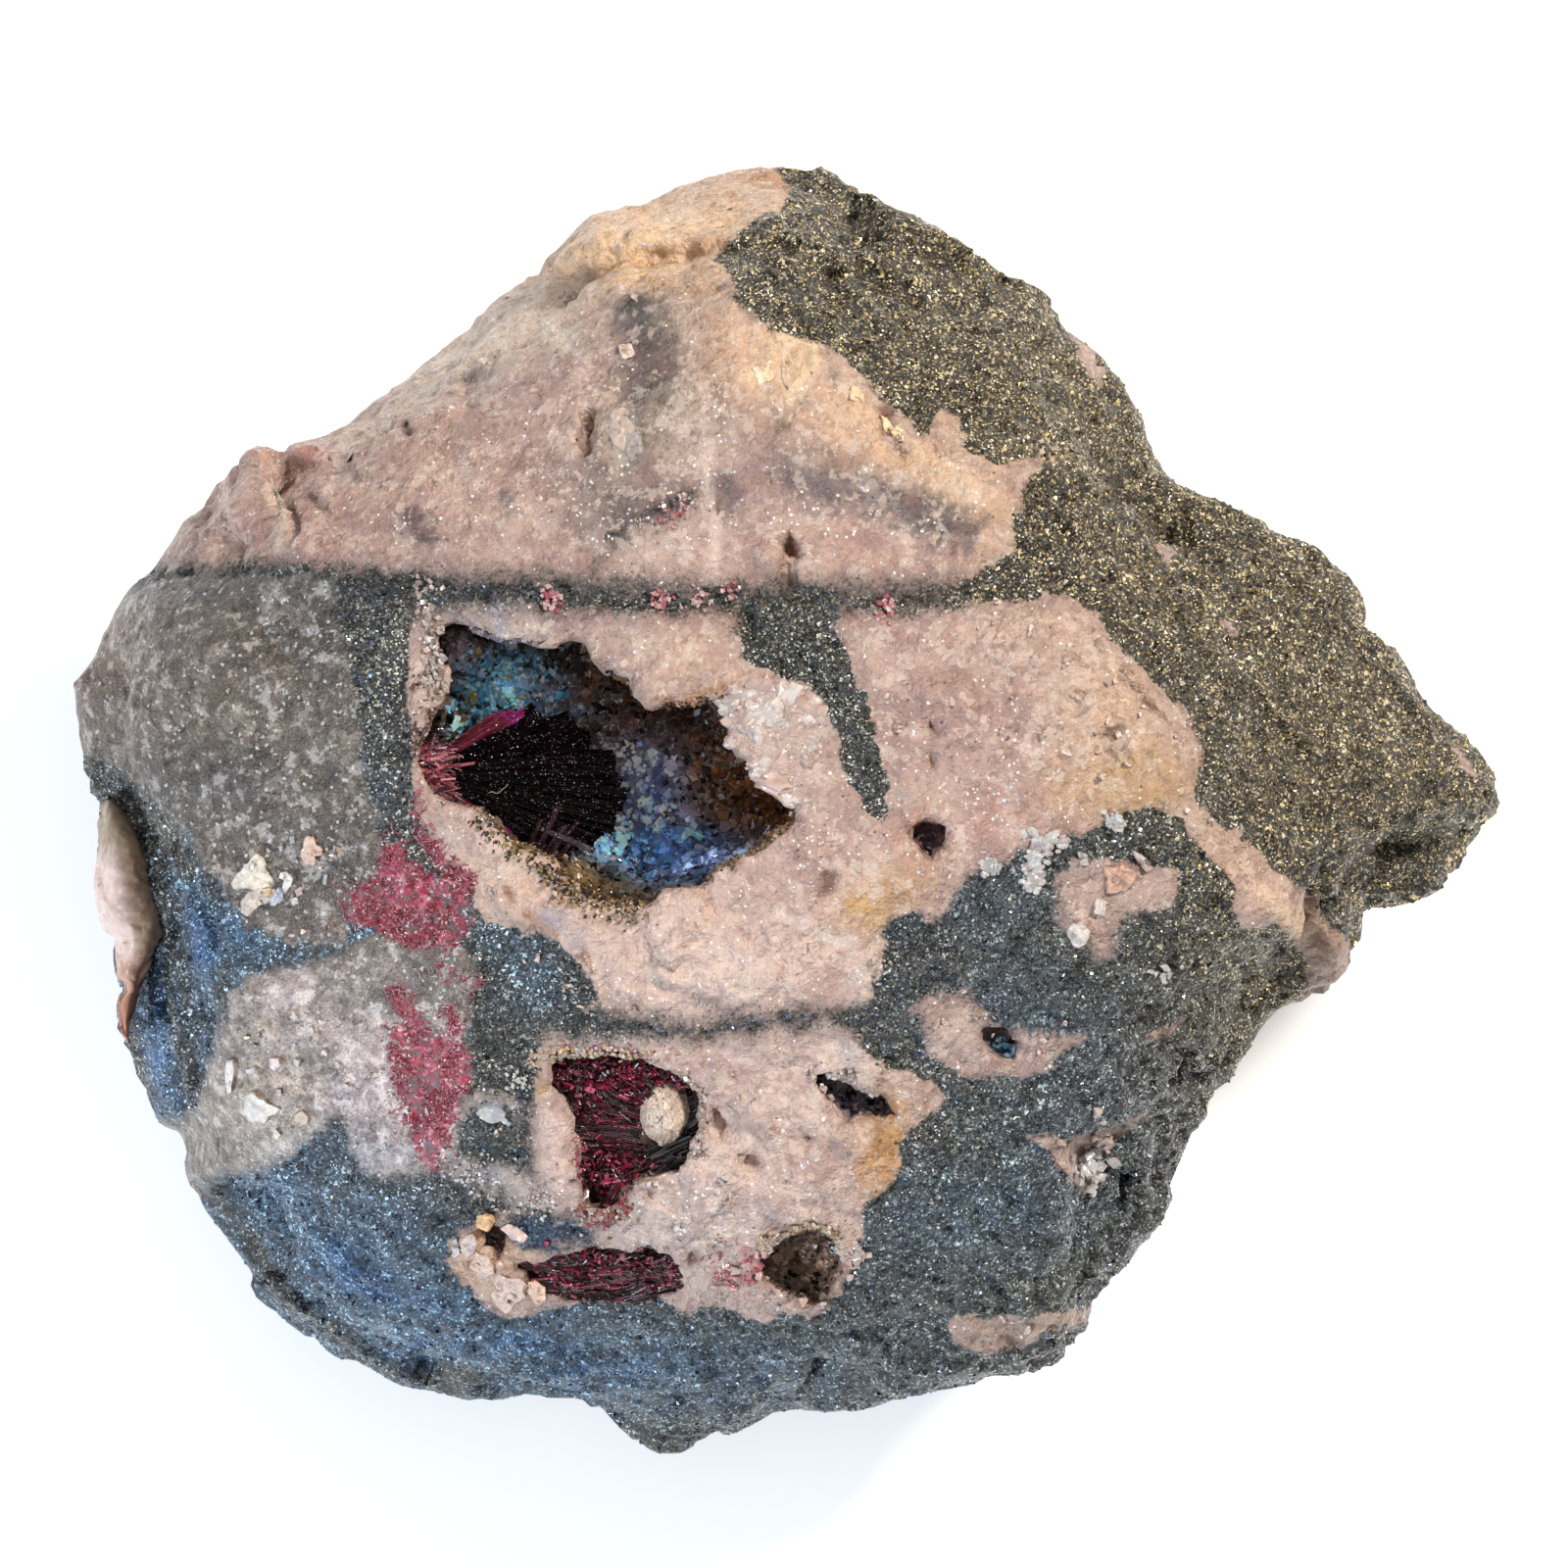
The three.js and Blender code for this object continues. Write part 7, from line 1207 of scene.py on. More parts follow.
# --- druse: small crystals lining the cavities ------------------------------
def druse():
    rng = np.random.default_rng(61)
    inside = (_zvug < -0.02) & (_zd > 0.5)
    m = 13000
    P, Nn, f = skin_points(inside, m, rng)
    u, v, _ = plan(P)
    s = rng.uniform(0.12, 0.36, m) * np.where(rng.random(m) < 0.10, 1.8, 1.0)
    size = np.stack([s, s * rng.uniform(0.7, 1.0, m), s * rng.uniform(0.6, 1.1, m)], -1)
    R = rot_onto(Nn, rng.uniform(0, 6.28, m), 0.45, rng)
    V, Q = rhombs(P - Nn * (s * 0.12)[:, None], R, size, rng, 0.22, 0.08)
    tone = soft_spots(u, v, DRUSE_BASE, DRUSE_SPOTS)
    patch = vnoise(P / 0.9, 401) + 0.6 * vnoise(P / 0.4, 402)
    cool = smooth((tone[:, 2] - tone[:, 0]) / 40.0)
    tone = tone * (mix(1.12, 1.34, cool) + mix(0.42, 0.66, cool) * patch)[:, None] * mix(rng.uniform(0.82, 1.22, m), rng.uniform(0.55, 1.5, m), cool)[:, None]
    speck = rng.random(m)
    deep_blue = np.exp(-(((u - 515) / 60) ** 2 + ((v - 705) / 45) ** 2))
    tone = np.where((speck < 0.07 + 0.10 * (1 - cool))[:, None], [30, 20, 15], tone)
    tone = np.where(((speck > 0.95) & (deep_blue > 0.3))[:, None], [214, 170, 70], tone)
    # Bright blue-white crystals in the blue patches and a few near-white ones: painted glints.
    tone = np.where(((speck > 0.74) & (speck < 0.86) & (cool > 0.4))[:, None], tone * 0.55 + [66, 112, 150], tone)
    tone = np.where(((speck > 0.86) & (speck < 0.875 + 0.02 * cool))[:, None], [232, 240, 250], tone)
    near_rim = smooth((v - 852) / 34.0) * smooth((u - 590) / 30.0) * smooth((800 - u) / 40.0) * (v < 930)
    tone = tone * (1.0 - 0.42 * near_rim)[:, None]
    # Icy crystals round the upper-left corner: pale cyan, partly their own colour and partly painted light where the
    # cavity lies in shade.
    icy = (deep_blue > 0.30) & (rng.random(m) < 0.42)
    tone = np.where(icy[:, None], mix(np.array([112.0, 200.0, 255.0]), np.array([206.0, 236.0, 255.0]), rng.random((m, 1))), tone)
    ob = add_mesh("cavity_druse", V, quads=Q, smooth_shade=False)
    # The blue crystals skip the reflectance factor: painted light in the shaded cavity.
    attr(ob, "tone", per(np.minimum(lin(tone) * mix(1.0, 1.0 / ALBEDO, cool)[:, None], 0.97), 8))
    return ob

DRUSE_BASE = (126, 104, 92)
DRUSE_SPOTS = [
 (555,665,80,22,0,(70,46,30),0.95), (640,705,70,40,0,(110,72,46),0.95), (690,745,60,34,0,(84,52,38),0.95), (512,705,58,44,0,(104,196,255),1.0), (480,735,34,24,0,(96,190,255),0.95), (535,690,22,20,0,(150,200,220),0.7), (556,703,26,15,0,(160,150,172),0.9), (590,730,30,14,0,(120,140,176),0.7),
 (478,668,28,34,0,(148,132,146),0.8), (450,722,24,26,0,(120,94,70),0.9),
 (765,790,66,64,20,(112,60,20),1.0), (800,825,34,30,30,(104,56,20),0.95), (655,805,44,50,0,(144,164,236),1.0), (640,775,26,20,0,(196,196,244),0.85), (664,870,88,34,0,(112,166,255),1.0), (722,882,34,20,0,(120,136,190),0.9), (620,880,40,30,0,(116,170,214),0.8),
 (600,900,50,24,22,(146,110,66),0.9), (560,872,40,20,30,(120,96,70),0.9), (650,922,60,12,5,(150,112,66),0.9),
 (590,1100,60,26,0,(150,110,120),0.6), (680,1150,40,50,0,(40,28,30),0.9), (735,1150,24,46,0,(150,150,190),0.95), (620,1215,34,18,0,(150,120,116),0.8),
 (610,1300,90,22,0,(150,110,110),0.6), (815,1295,48,40,0,(170,142,122),0.95), (865,1120,44,28,0,(140,126,140),0.9), (1022,1068,24,16,0,(70,110,140),0.9), (946,858,22,24,0,(120,90,96),0.9), (502,1268,18,16,0,(90,66,60),0.8),
]

# --- small crystals along the broken rims of the cavities -------------------
RIM_RUNS = [  # path, spread px, count, size, tones, depth
 ([(486,835),(505,862),(530,872),(552,888),(575,906),(600,920),(650,926)], 4, 620, (.08,.24), [(196,160,90),(50,36,24),(110,80,46),(24,18,14),(222,190,130),(40,28,20),(80,56,34)], (0.0,1.2)),
 ([(560,895),(600,925),(640,935),(690,925)], 7, 220, (.10,.28), [(214,178,140),(190,140,100),(70,50,36),(236,206,190)], (-0.1,0.6)),
 ([(432,600),(440,640),(446,680),(440,705)], 7, 130, (.12,.36), [(226,206,196),(244,230,222),(206,184,172),(150,128,116)], (-0.1,0.3)),
 ([(436,690),(430,740),(428,765)], 6, 260, (.08,.24), [(96,72,60),(60,44,36),(190,140,130),(222,180,172),(150,120,96)], (-0.1,0.5)),
 ([(480,652),(500,650),(540,662),(560,672)], 4, 260, (.10,.26), [(150,140,156),(190,176,190),(96,84,92)], (0.1,0.8)),
 ([(620,692),(640,700),(650,712),(680,722),(720,712),(742,704)], 4, 420, (.08,.22), [(130,94,60),(60,42,30),(190,150,110),(30,22,18)], (0.0,0.8)),
 ([(800,840),(780,850),(760,862),(730,890)], 4, 300, (.10,.24), [(140,104,64),(90,66,44),(196,166,140)], (0.1,1.0)),
 ([(585,1235),(640,1236),(600,1244)], 6, 160, (.12,.3), [(214,190,180),(150,110,100),(180,60,70)], (0.0,0.6)),
 ([(700,1100),(712,1130),(708,1160),(716,1180)], 4, 160, (.12,.34), [(222,196,184),(190,160,150),(236,220,214)], (-0.05,0.6)),
 ([(780,1272),(800,1262),(840,1258),(858,1276)], 5, 220, (.12,.34), [(222,196,170),(190,150,120),(236,216,200)], (-0.05,0.6)),
 ([(545,1085),(556,1078),(600,1074),(690,1078)], 5, 260, (.10,.28), [(236,206,160),(222,170,110),(206,190,190),(236,226,222)], (-0.05,0.4)),
 ([(850,1106),(870,1100),(890,1112)], 5, 120, (.14,.4), [(236,222,216),(210,180,170)], (-0.05,0.5)),
]
def rim_crystals():
    rng = np.random.default_rng(67); PP, TT, SS = [], [], []
    for path, w, cnt, sz, tones, dp in RIM_RUNS:
        Q0 = np.asarray(path, float); seg = rng.integers(0, len(Q0) - 1, cnt); t = rng.random(cnt)[:, None]
        q = mix(Q0[seg], Q0[seg + 1], t) + rng.normal(size=(cnt, 2)) * w
        PP.append(at(q[:, 0], q[:, 1], rng.uniform(*dp, cnt))); TT.append(mixtones(rng, cnt, tones)); SS.append(rng.uniform(*sz, cnt))
    P = np.concatenate(PP); T = np.concatenate(TT); s = np.concatenate(SS)
    for _ in range(2):
        f = sample(field, P); g = gradient(field, P); g /= np.linalg.norm(g, axis=1, keepdims=True) + 1e-9
        P = P - g * np.clip(f - 0.05, -0.8, 0.8)[:, None]
    ok = np.abs(sample(field, P)) < 0.25; P, T, s, g = P[ok], T[ok], s[ok], g[ok]; m = len(P)
    size = np.stack([s, s * rng.uniform(0.6, 1.0, m), s * rng.uniform(0.5, 0.9, m)], -1)
    V, Q = rhombs(P, rot_onto(g, rng.uniform(0, 6.28, m), 0.6, rng), size, rng)
    ob = add_mesh("rim_crystals", V, quads=Q, smooth_shade=False)
    attr(ob, "tone", per(lin(T * rng.uniform(0.75, 1.1, (m, 1))), 8))
    return ob

# --- intergrown pale rhombs at the rim of the main cavity -------------------
CLUSTER = [(740,722),(752,702),(775,694),(800,697),(824,705),(836,722),(848,740),(828,754),(834,770),(830,788),(816,800),(812,818),(802,815),(792,802),(776,784),(758,780),(742,766),(750,752),(738,742)]
def inside_points(poly, n, rng):
    P = np.asarray(poly, float); lo, hi = P.min(0), P.max(0); out = []
    while sum(map(len, out)) < n:
        q = rng.uniform(lo, hi, (n * 2, 2)); d = poly_dist(poly, q[:, 0], q[:, 1]); out.append(q[d < 0])
    return np.concatenate(out)[:n]

def flake_patch(name, poly, n, lo, hi, seed, tones, deep=(-0.25, 0.75), flat=0.55, tilt=0.35, skew=0.26):
    rng = np.random.default_rng(seed)
    q = inside_points(poly, n, rng); ed = -poly_dist(poly, q[:, 0], q[:, 1]) * UNIT
    s = rng.uniform(lo, hi, n) * np.clip(0.45 + ed / 1.6, 0.45, 1.0)
    dd = rng.uniform(*deep, n) - 0.15 * np.minimum(ed, 1.5)
    P = at(q[:, 0], q[:, 1], dd)
    e = 4.0
    nx = -(face_map(q[:, 0] + e, q[:, 1]) - face_map(q[:, 0] - e, q[:, 1])) / (2 * e * UNIT); ny = (face_map(q[:, 0], q[:, 1] + e) - face_map(q[:, 0], q[:, 1] - e)) / (2 * e * UNIT)
    Nn = np.stack([np.clip(nx, -1, 1), np.clip(ny, -1, 1), np.ones(n)], -1); Nn /= np.linalg.norm(Nn, axis=1, keepdims=True)
    size = np.stack([s, s * rng.uniform(0.6, 1.0, n), s * rng.uniform(flat * 0.6, flat * 1.3, n)], -1)
    V, Q = rhombs(P, rot_onto(Nn, rng.uniform(0, 6.28, n), tilt, rng), size, rng, skew)
    ob = add_mesh(name, V, quads=Q, smooth_shade=False)
    attr(ob, "tone", per(lin(mixtones(rng, n, tones) * rng.uniform(0.86, 1.06, (n, 1))), 8))
    return ob
def lumps(name, C, rad, seed, tones, n=12, amp=0.34, cell=0.75, box=0.8):
    """Rounded, chipped crystals grown into one another; all read the same broken-rock noise."""
    rng = np.random.default_rng(seed); K = len(C)
    th = (np.arange(1, n) / n) * np.pi; ph = (np.arange(2 * n) / (2 * n)) * 2 * np.pi
    T, Pp = np.meshgrid(th, ph, indexing="ij")
    S = np.concatenate([np.stack([np.sin(T) * np.cos(Pp), np.sin(T) * np.sin(Pp), np.cos(T)], -1).reshape(-1, 3), [[0, 0, 1.0], [0, 0, -1.0]]])
    S4 = np.sign(S) * np.abs(S) ** box; S4 /= np.linalg.norm(S4, axis=1, keepdims=True) ** 0.55            # a little boxy, as cleavage pieces are
    R = rot_random(K, rng)
    L = np.einsum("kij,mj->kmi", R, S4) * rad[:, None, :]
    P = C[:, None] + L; Q = P.reshape(-1, 3)
    r = 1 + amp * chips(Q, cell, seed) + 0.5 * amp * chips(Q, cell * 0.45, seed + 3) + 0.05 * vnoise(Q / 0.2, seed + 5)
    V = (C[:, None] + L * r.reshape(K, -1, 1)).reshape(-1, 3)
    idx = np.arange((n - 1) * 2 * n).reshape(n - 1, 2 * n)
    q = np.stack([idx[:-1], idx[1:], np.roll(idx[1:], -1, 1), np.roll(idx[:-1], -1, 1)], -1).reshape(-1, 4)
    top = (n - 1) * 2 * n; bot = top + 1
    t1 = np.stack([np.full(2 * n, top), idx[0], np.roll(idx[0], -1)], -1); t2 = np.stack([np.full(2 * n, bot), np.roll(idx[-1], -1), idx[-1]], -1)
    off = (np.arange(K) * len(S))[:, None, None]
    ob = add_mesh(name, V, quads=(q[None] + off).reshape(-1, 4), tris=(np.concatenate([t1, t2])[None] + off).reshape(-1, 3), smooth_shade=False)
    attr(ob, "tone", per(lin(mixtones(rng, K, tones)), len(S)))
    return ob

def lump_patch(name, poly, K, lo, hi, seed, tones, deep=0.25, flat=0.6, **kw):
    rng = np.random.default_rng(seed + 1)
    q = inside_points(poly, K, rng); ed = -poly_dist(poly, q[:, 0], q[:, 1]) * UNIT
    s = rng.uniform(lo, hi, K) * np.clip(0.4 + ed / 1.2, 0.45, 1.0)
    C = at(q[:, 0], q[:, 1], deep + s * 0.35)
    return lumps(name, C, np.stack([s, s * rng.uniform(0.6, 1.0, K), s * flat], -1), seed, tones, **kw)
cluster = lump_patch("dolomite_cluster", CLUSTER, 64, 0.55, 1.55, 71, [(234,212,204),(222,190,178),(240,224,216),(206,172,160),(214,192,186)], deep=0.06, flat=0.55, n=14, amp=0.40, cell=0.85, box=0.62)
# --- knob in the middle cavity, calcite on the left flank -------------------
def blob(name, centre, rad, seed, level, cell, amp, tone_fn):
    """A rounded broken lump: a fine ball, cut by chips."""
    n = 24 * level
    th = (np.arange(1, n) / n) * np.pi; ph = (np.arange(2 * n) / (2 * n)) * 2 * np.pi
    T, Pp = np.meshgrid(th, ph, indexing="ij")
    S = np.stack([np.sin(T) * np.cos(Pp), np.sin(T) * np.sin(Pp), np.cos(T)], -1).reshape(-1, 3)
    S = np.concatenate([S, [[0, 0, 1.0], [0, 0, -1.0]]])
    r = 1 + amp * chips(S * 2.2 + seed, 1.0, seed) + 0.5 * amp * chips(S * 4.6 + seed, 1.0, seed + 9) + 0.12 * amp * vnoise(S * 12 + seed, seed + 20)
    V = np.asarray(centre) + S * np.asarray(rad) * r[:, None]
    idx = np.arange((n - 1) * 2 * n).reshape(n - 1, 2 * n)
    a = idx[:-1]; b = np.roll(a, -1, 1); c = np.roll(idx[1:], -1, 1); d = idx[1:]
    quads = np.stack([a, d, c, b], -1).reshape(-1, 4)
    top = len(S) - 2; bot = len(S) - 1
    t1 = np.stack([np.full(2 * n, top), idx[0], np.roll(idx[0], -1)], -1); t2 = np.stack([np.full(2 * n, bot), np.roll(idx[-1], -1), idx[-1]], -1)
    ob = add_mesh(name, V, quads=quads, tris=np.concatenate([t1, t2]), smooth_shade=False)
    attr(ob, "tone", lin(tone_fn(V, S)))
    return ob
knob = blob("dolomite_knob_skin", at(677, 1131, 2.65), [1.44, 2.05, 2.75], 81, 3, 1, 0.07, lambda V, S: np.where((vnoise(V / 0.11, 9) > 0.62)[:, None], [90.0, 60.0, 40.0], np.tile([250.0, 226.0, 208.0], (len(V), 1)) * (0.95 + 0.12 * vnoise(V / 0.8, 3))[:, None]))
knob2 = blob("dolomite_knob_back", at(655, 1150, 3.6), [0.85, 1.5, 1.9], 83, 2, 1, 0.18, lambda V, S: np.tile([150.0, 122.0, 110.0], (len(V), 1)) * (0.9 + 0.2 * vnoise(V / 0.7, 4))[:, None])
def lens(name, centre, rad, seed, level, tone_fn):
    """A smooth, gently dented lump of glassy carbonate."""
    n = 24 * level
    th = (np.arange(1, n) / n) * np.pi; ph = (np.arange(2 * n) / (2 * n)) * 2 * np.pi
    T, Pp = np.meshgrid(th, ph, indexing="ij")
    S = np.concatenate([np.stack([np.sin(T) * np.cos(Pp), np.sin(T) * np.sin(Pp), np.cos(T)], -1).reshape(-1, 3), [[0, 0, 1.0], [0, 0, -1.0]]])
    rad = np.asarray(rad, float); P = S * rad; G = S / rad; G /= np.linalg.norm(G, axis=1, keepdims=True)
    c1 = chips(P, 2.6, seed)
    V = np.asarray(centre) + P + G * (0.22 * c1 + 0.16 * vnoise(P / 1.8, seed + 1) + 0.06 * vnoise(P / 0.6, seed + 2))[:, None]
    idx = np.arange((n - 1) * 2 * n).reshape(n - 1, 2 * n)
    a = idx[:-1]; b = np.roll(a, -1, 1); c = np.roll(idx[1:], -1, 1); d = idx[1:]
    top = len(S) - 2; bot = len(S) - 1
    t1 = np.stack([np.full(2 * n, top), idx[0], np.roll(idx[0], -1)], -1); t2 = np.stack([np.full(2 * n, bot), np.roll(idx[-1], -1), idx[-1]], -1)
    ob = add_mesh(name, V, quads=np.stack([a, d, c, b], -1).reshape(-1, 4), tris=np.concatenate([t1, t2]), smooth_shade=True)
    attr(ob, "tone", lin(tone_fn(V, S)))
    return ob
def lens_tone(V, S):
    c = np.tile([240.0, 210.0, 200.0], (len(V), 1))
    c = mix(c, np.array([200.0, 172.0, 150.0]), smooth(0.2 + 1.4 * vnoise(V / 1.9, 5) + 0.5 * S[:, 1])[:, None] * 0.75)
    c = mix(c, np.array([232.0, 190.0, 176.0]), smooth(1.4 * vnoise(V / 1.4, 8) - 0.1)[:, None] * 0.6)
    c = mix(c, np.array([190.0, 120.0, 92.0]), smooth((-0.45 - S[:, 1]) / 0.5 + 0.8 * vnoise(V / 0.9, 6))[:, None] * 0.85)
    c = mix(c, np.array([96.0, 62.0, 48.0]), smooth(1.9 * vnoise(V / 0.35, 7) - 0.9 + 0.5 * (S[:, 1] < -0.5))[:, None] * 0.6)
    return c
FLANK_L = [(816,110),(822,105),(840,103),(870,101),(885,99),(900,99.5),(915,98),(930,100),(942,104),(951,110),(958,118),(970,119.5),(985,120),(996,119.5),(1003,127),(1012,128),(1020,121.5),(1045,122),(1055,125),(1064,130)]
FLANK_R = [(816,113),(825,125),(840,137),(860,148),(883,158),(910,165),(930,167),(955,166),(972,160),(985,152),(1002,145),(1020,138),(1045,133),(1064,131.5)]
def flank_wedge(name, z0, depth, seed, rows=110, cols=96):
    """The pale wedge of carbonate on the left flank: its two edges run along the table, its section is rounded."""
    v = np.linspace(816, 1064, rows); L = np.interp(v, *zip(*FLANK_L)); R = np.interp(v, *zip(*FLANK_R))
    a = np.arange(cols) / cols * 2 * np.pi
    Vv, A = np.meshgrid(v, a, indexing="ij"); Lw, _ = np.meshgrid(L, a, indexing="ij"); Rw, _ = np.meshgrid(R, a, indexing="ij")
    hw = (Rw - Lw) / 2; cu = (Rw + Lw) / 2; c, s = np.cos(A), np.sin(A)
    sq = np.sign(c) * np.abs(c) ** 0.8
    zr = depth * (0.16 + 0.84 * np.clip(hw / 33.0, 0, 1) ** 0.8)
    P = lift((cu + hw * sq).ravel(), Vv.ravel(), (z0 + zr * np.sign(s) * np.abs(s) ** 0.9).ravel())
    N = np.stack([sq, 0 * c, s], -1).reshape(-1, 3)
    P = P + N * (0.20 * chips(P, 1.8, seed) + 0.14 * vnoise(P / 1.2, seed + 1) + 0.07 * vnoise(P / 0.45, seed + 2))[:, None]
    i = np.arange(rows * cols).reshape(rows, cols); p, q = i[:-1], i[1:]
    Q = np.stack([p, np.roll(p, -1, 1), np.roll(q, -1, 1), q], -1).reshape(-1, 4)
    P = np.concatenate([P, P[:cols].mean(0)[None], P[-cols:].mean(0)[None]]); k = rows * cols; r0 = i[0]; r1 = i[-1]
    T = np.concatenate([np.stack([np.full(cols, k), np.roll(r0, -1), r0], -1), np.stack([np.full(cols, k + 1), r1, np.roll(r1, -1)], -1)])
    ob = add_mesh(name, P, quads=Q, tris=T, smooth_shade=True)
    t = np.append((Vv.ravel() - 816) / 248, [0.0, 1.0]); x = np.append(sq.ravel(), [0, 0])
    t = t + 0.06 * vnoise(P / 1.5, seed + 3)
    cl = vnoise(P / 1.1, seed + 8) + 0.5 * vnoise(P / 0.5, seed + 9)
    col = np.array([242.0, 212.0, 203.0]) + np.zeros((len(P), 1)) + 14.0 * cl[:, None] * [1.0, 1.1, 1.2]
    col = mix(col, np.array([168.0, 146.0, 122.0]), smooth((0.30 - t) / 0.16)[:, None])
    col = mix(col, np.array([190.0, 156.0, 130.0]), (smooth((x + 0.25) / 0.4) * smooth((0.85 - x) / 0.2) * smooth((t - 0.12) / 0.1))[:, None] * 0.85)
    col = mix(col, np.array([206.0, 156.0, 132.0]), smooth((t - 0.56) / 0.22)[:, None] * 0.8)
    col = mix(col, np.array([186.0, 118.0, 86.0]), smooth((t - 0.72) / 0.2)[:, None] * 0.8)
    col = mix(col, np.array([120.0, 74.0, 54.0]), smooth(1.6 * vnoise(P / 0.45, seed + 4) - 1.0 + 1.0 * smooth((t - 0.66) / 0.2))[:, None] * 0.7)
    col = mix(col, np.array([150.0, 128.0, 104.0]), smooth(1.3 * vnoise(P / 0.5, seed + 5) - 0.7 + 0.7 * smooth((0.2 - t) / 0.2))[:, None] * 0.5)
    attr(ob, "tone", lin(col))
    return ob
lump_l = flank_wedge("calcite_flank", 19.6, 4.6, 87)

def slabs(name, items, seed, n=34, rings=6, rough=0.05):
    """Broken pieces of crystal that stand a little out of the skin. An item is (outline, tone, rise in mm,
    rise per mm towards +u, towards +v, ridge angle in degrees or None, fall either side of the ridge)."""
    rng = np.random.default_rng(seed); VV, Q, TR, TT = [], [], [], []; o = 0
    ang = np.arange(n) / n * 2 * np.pi; E = np.stack([np.cos(ang), np.sin(ang)], -1)
    tt = np.array([0.0] + list(np.linspace(0.30, 0.90, rings - 2)) + [1.0])
    QQ = []
    for poly, tone, rise, gu, gv, ridge, fall in items:
        P = np.asarray(poly, float); c = P.mean(0); R = np.full(n, 0.0)
        for a, b in zip(P, np.roll(P, -1, 0)):
            e = b - a; den = E[:, 0] * e[1] - E[:, 1] * e[0]; den = np.where(np.abs(den) < 1e-9, 1e-9, den)
            r = ((a[0] - c[0]) * e[1] - (a[1] - c[1]) * e[0]) / den; t = ((a[0] - c[0]) * E[:, 1] - (a[1] - c[1]) * E[:, 0]) / den
            R = np.where((t >= -1e-6) & (t <= 1 + 1e-6) & (r > R), r, R)
        size = R.mean() * UNIT
        R = R * (1 + 0.13 * vnoise(np.stack([E[:, 0] * size / 0.4 + c[0], E[:, 1] * size / 0.4, 0 * ang], -1), seed) + 0.09 * vnoise(np.stack([E[:, 0] * size / 0.16 + c[0], E[:, 1] * size / 0.16, 0 * ang], -1), seed + 1))
        q = c + E[None] * (R[None] * tt[1:, None])[..., None]; QQ.append(np.concatenate([[c], q.reshape(-1, 2)]))
    U = np.concatenate(QQ); BA = at(U[:, 0], U[:, 1], 0.0); k0 = len(QQ[0]); BB = BA.reshape(-1, k0, 3)
    RB = relief(BA, None).reshape(-1, k0); RG = (chips(BA, 0.5, seed) + 0.8 * vnoise(BA / 0.22, seed + 4)).reshape(-1, k0)
    for q, (poly, tone, rise, gu, gv, ridge, fall) in zip(QQ, items):
        c = q[0]
        du, dv = (q[:, 0] - c[0]) * UNIT, (q[:, 1] - c[1]) * UNIT
        h = rise + gu * du + gv * dv
        if ridge is not None:
            a = math.radians(ridge); h = h - fall * np.abs(-du * math.sin(a) + dv * math.cos(a))
        tq = np.concatenate([[0.0], np.repeat(tt[1:], n)])
        B = BB[len(VV)]; h = np.maximum(h, 0.06) * np.where(tq > 0.99, 0.15, 1.0)
        base = RB[len(VV)]; top = B + np.stack([0 * h, 0 * h, base + h + rough * RG[len(VV)] * (tq < 0.99)], -1)
        low = B[-n:] + np.stack([0 * ang, 0 * ang, base[-n:] - 0.55], -1); deep = low.mean(0)[None]
        V = np.concatenate([top, low, deep]); k = len(top)
        f0 = 1 + np.arange(n); f1 = np.roll(f0, -1)
        TR.append(np.stack([np.zeros(n, int), f1, f0], -1) + o)
        for j in range(rings - 2):
            a0 = 1 + j * n + np.arange(n); a1 = np.roll(a0, -1); Q.append(np.stack([a0, a1, a1 + n, a0 + n], -1) + o)
        a0 = 1 + (rings - 2) * n + np.arange(n); a1 = np.roll(a0, -1); l0 = k + np.arange(n); l1 = np.roll(l0, -1)
        Q.append(np.stack([a0, a1, l1, l0], -1) + o); TR.append(np.stack([l0, l1, np.full(n, k + n)], -1) + o)
        tn = np.asarray(tone, float); s = vnoise(V / 0.45, seed + 6)[:, None]
        TT.append(tn * (1.0 + 0.10 * s + 0.05 * rng.normal())); VV.append(V); o += len(V)
    ob = add_mesh(name, np.concatenate(VV), quads=np.concatenate(Q), tris=np.concatenate(TR), smooth_shade=False)
    attr(ob, "tone", lin(np.concatenate(TT)))
    return ob

def angular(c, r, rng, k=6, long=1.5):
    """A broken outline round c: k corners, drawn out along a chance direction."""
    a = np.sort(rng.uniform(0, 2 * np.pi, k) * 0.35 + np.arange(k) / k * 2 * np.pi * 1.0); t = rng.uniform(0, np.pi)
    q = np.stack([np.cos(a), np.sin(a)], -1) * rng.uniform(0.65, 1.0, k)[:, None] * r
    m = np.array([[math.cos(t), -math.sin(t)], [math.sin(t), math.cos(t)]])
    q = (q @ m) * [long, 1 / long] @ m.T
    return (q + c).tolist()

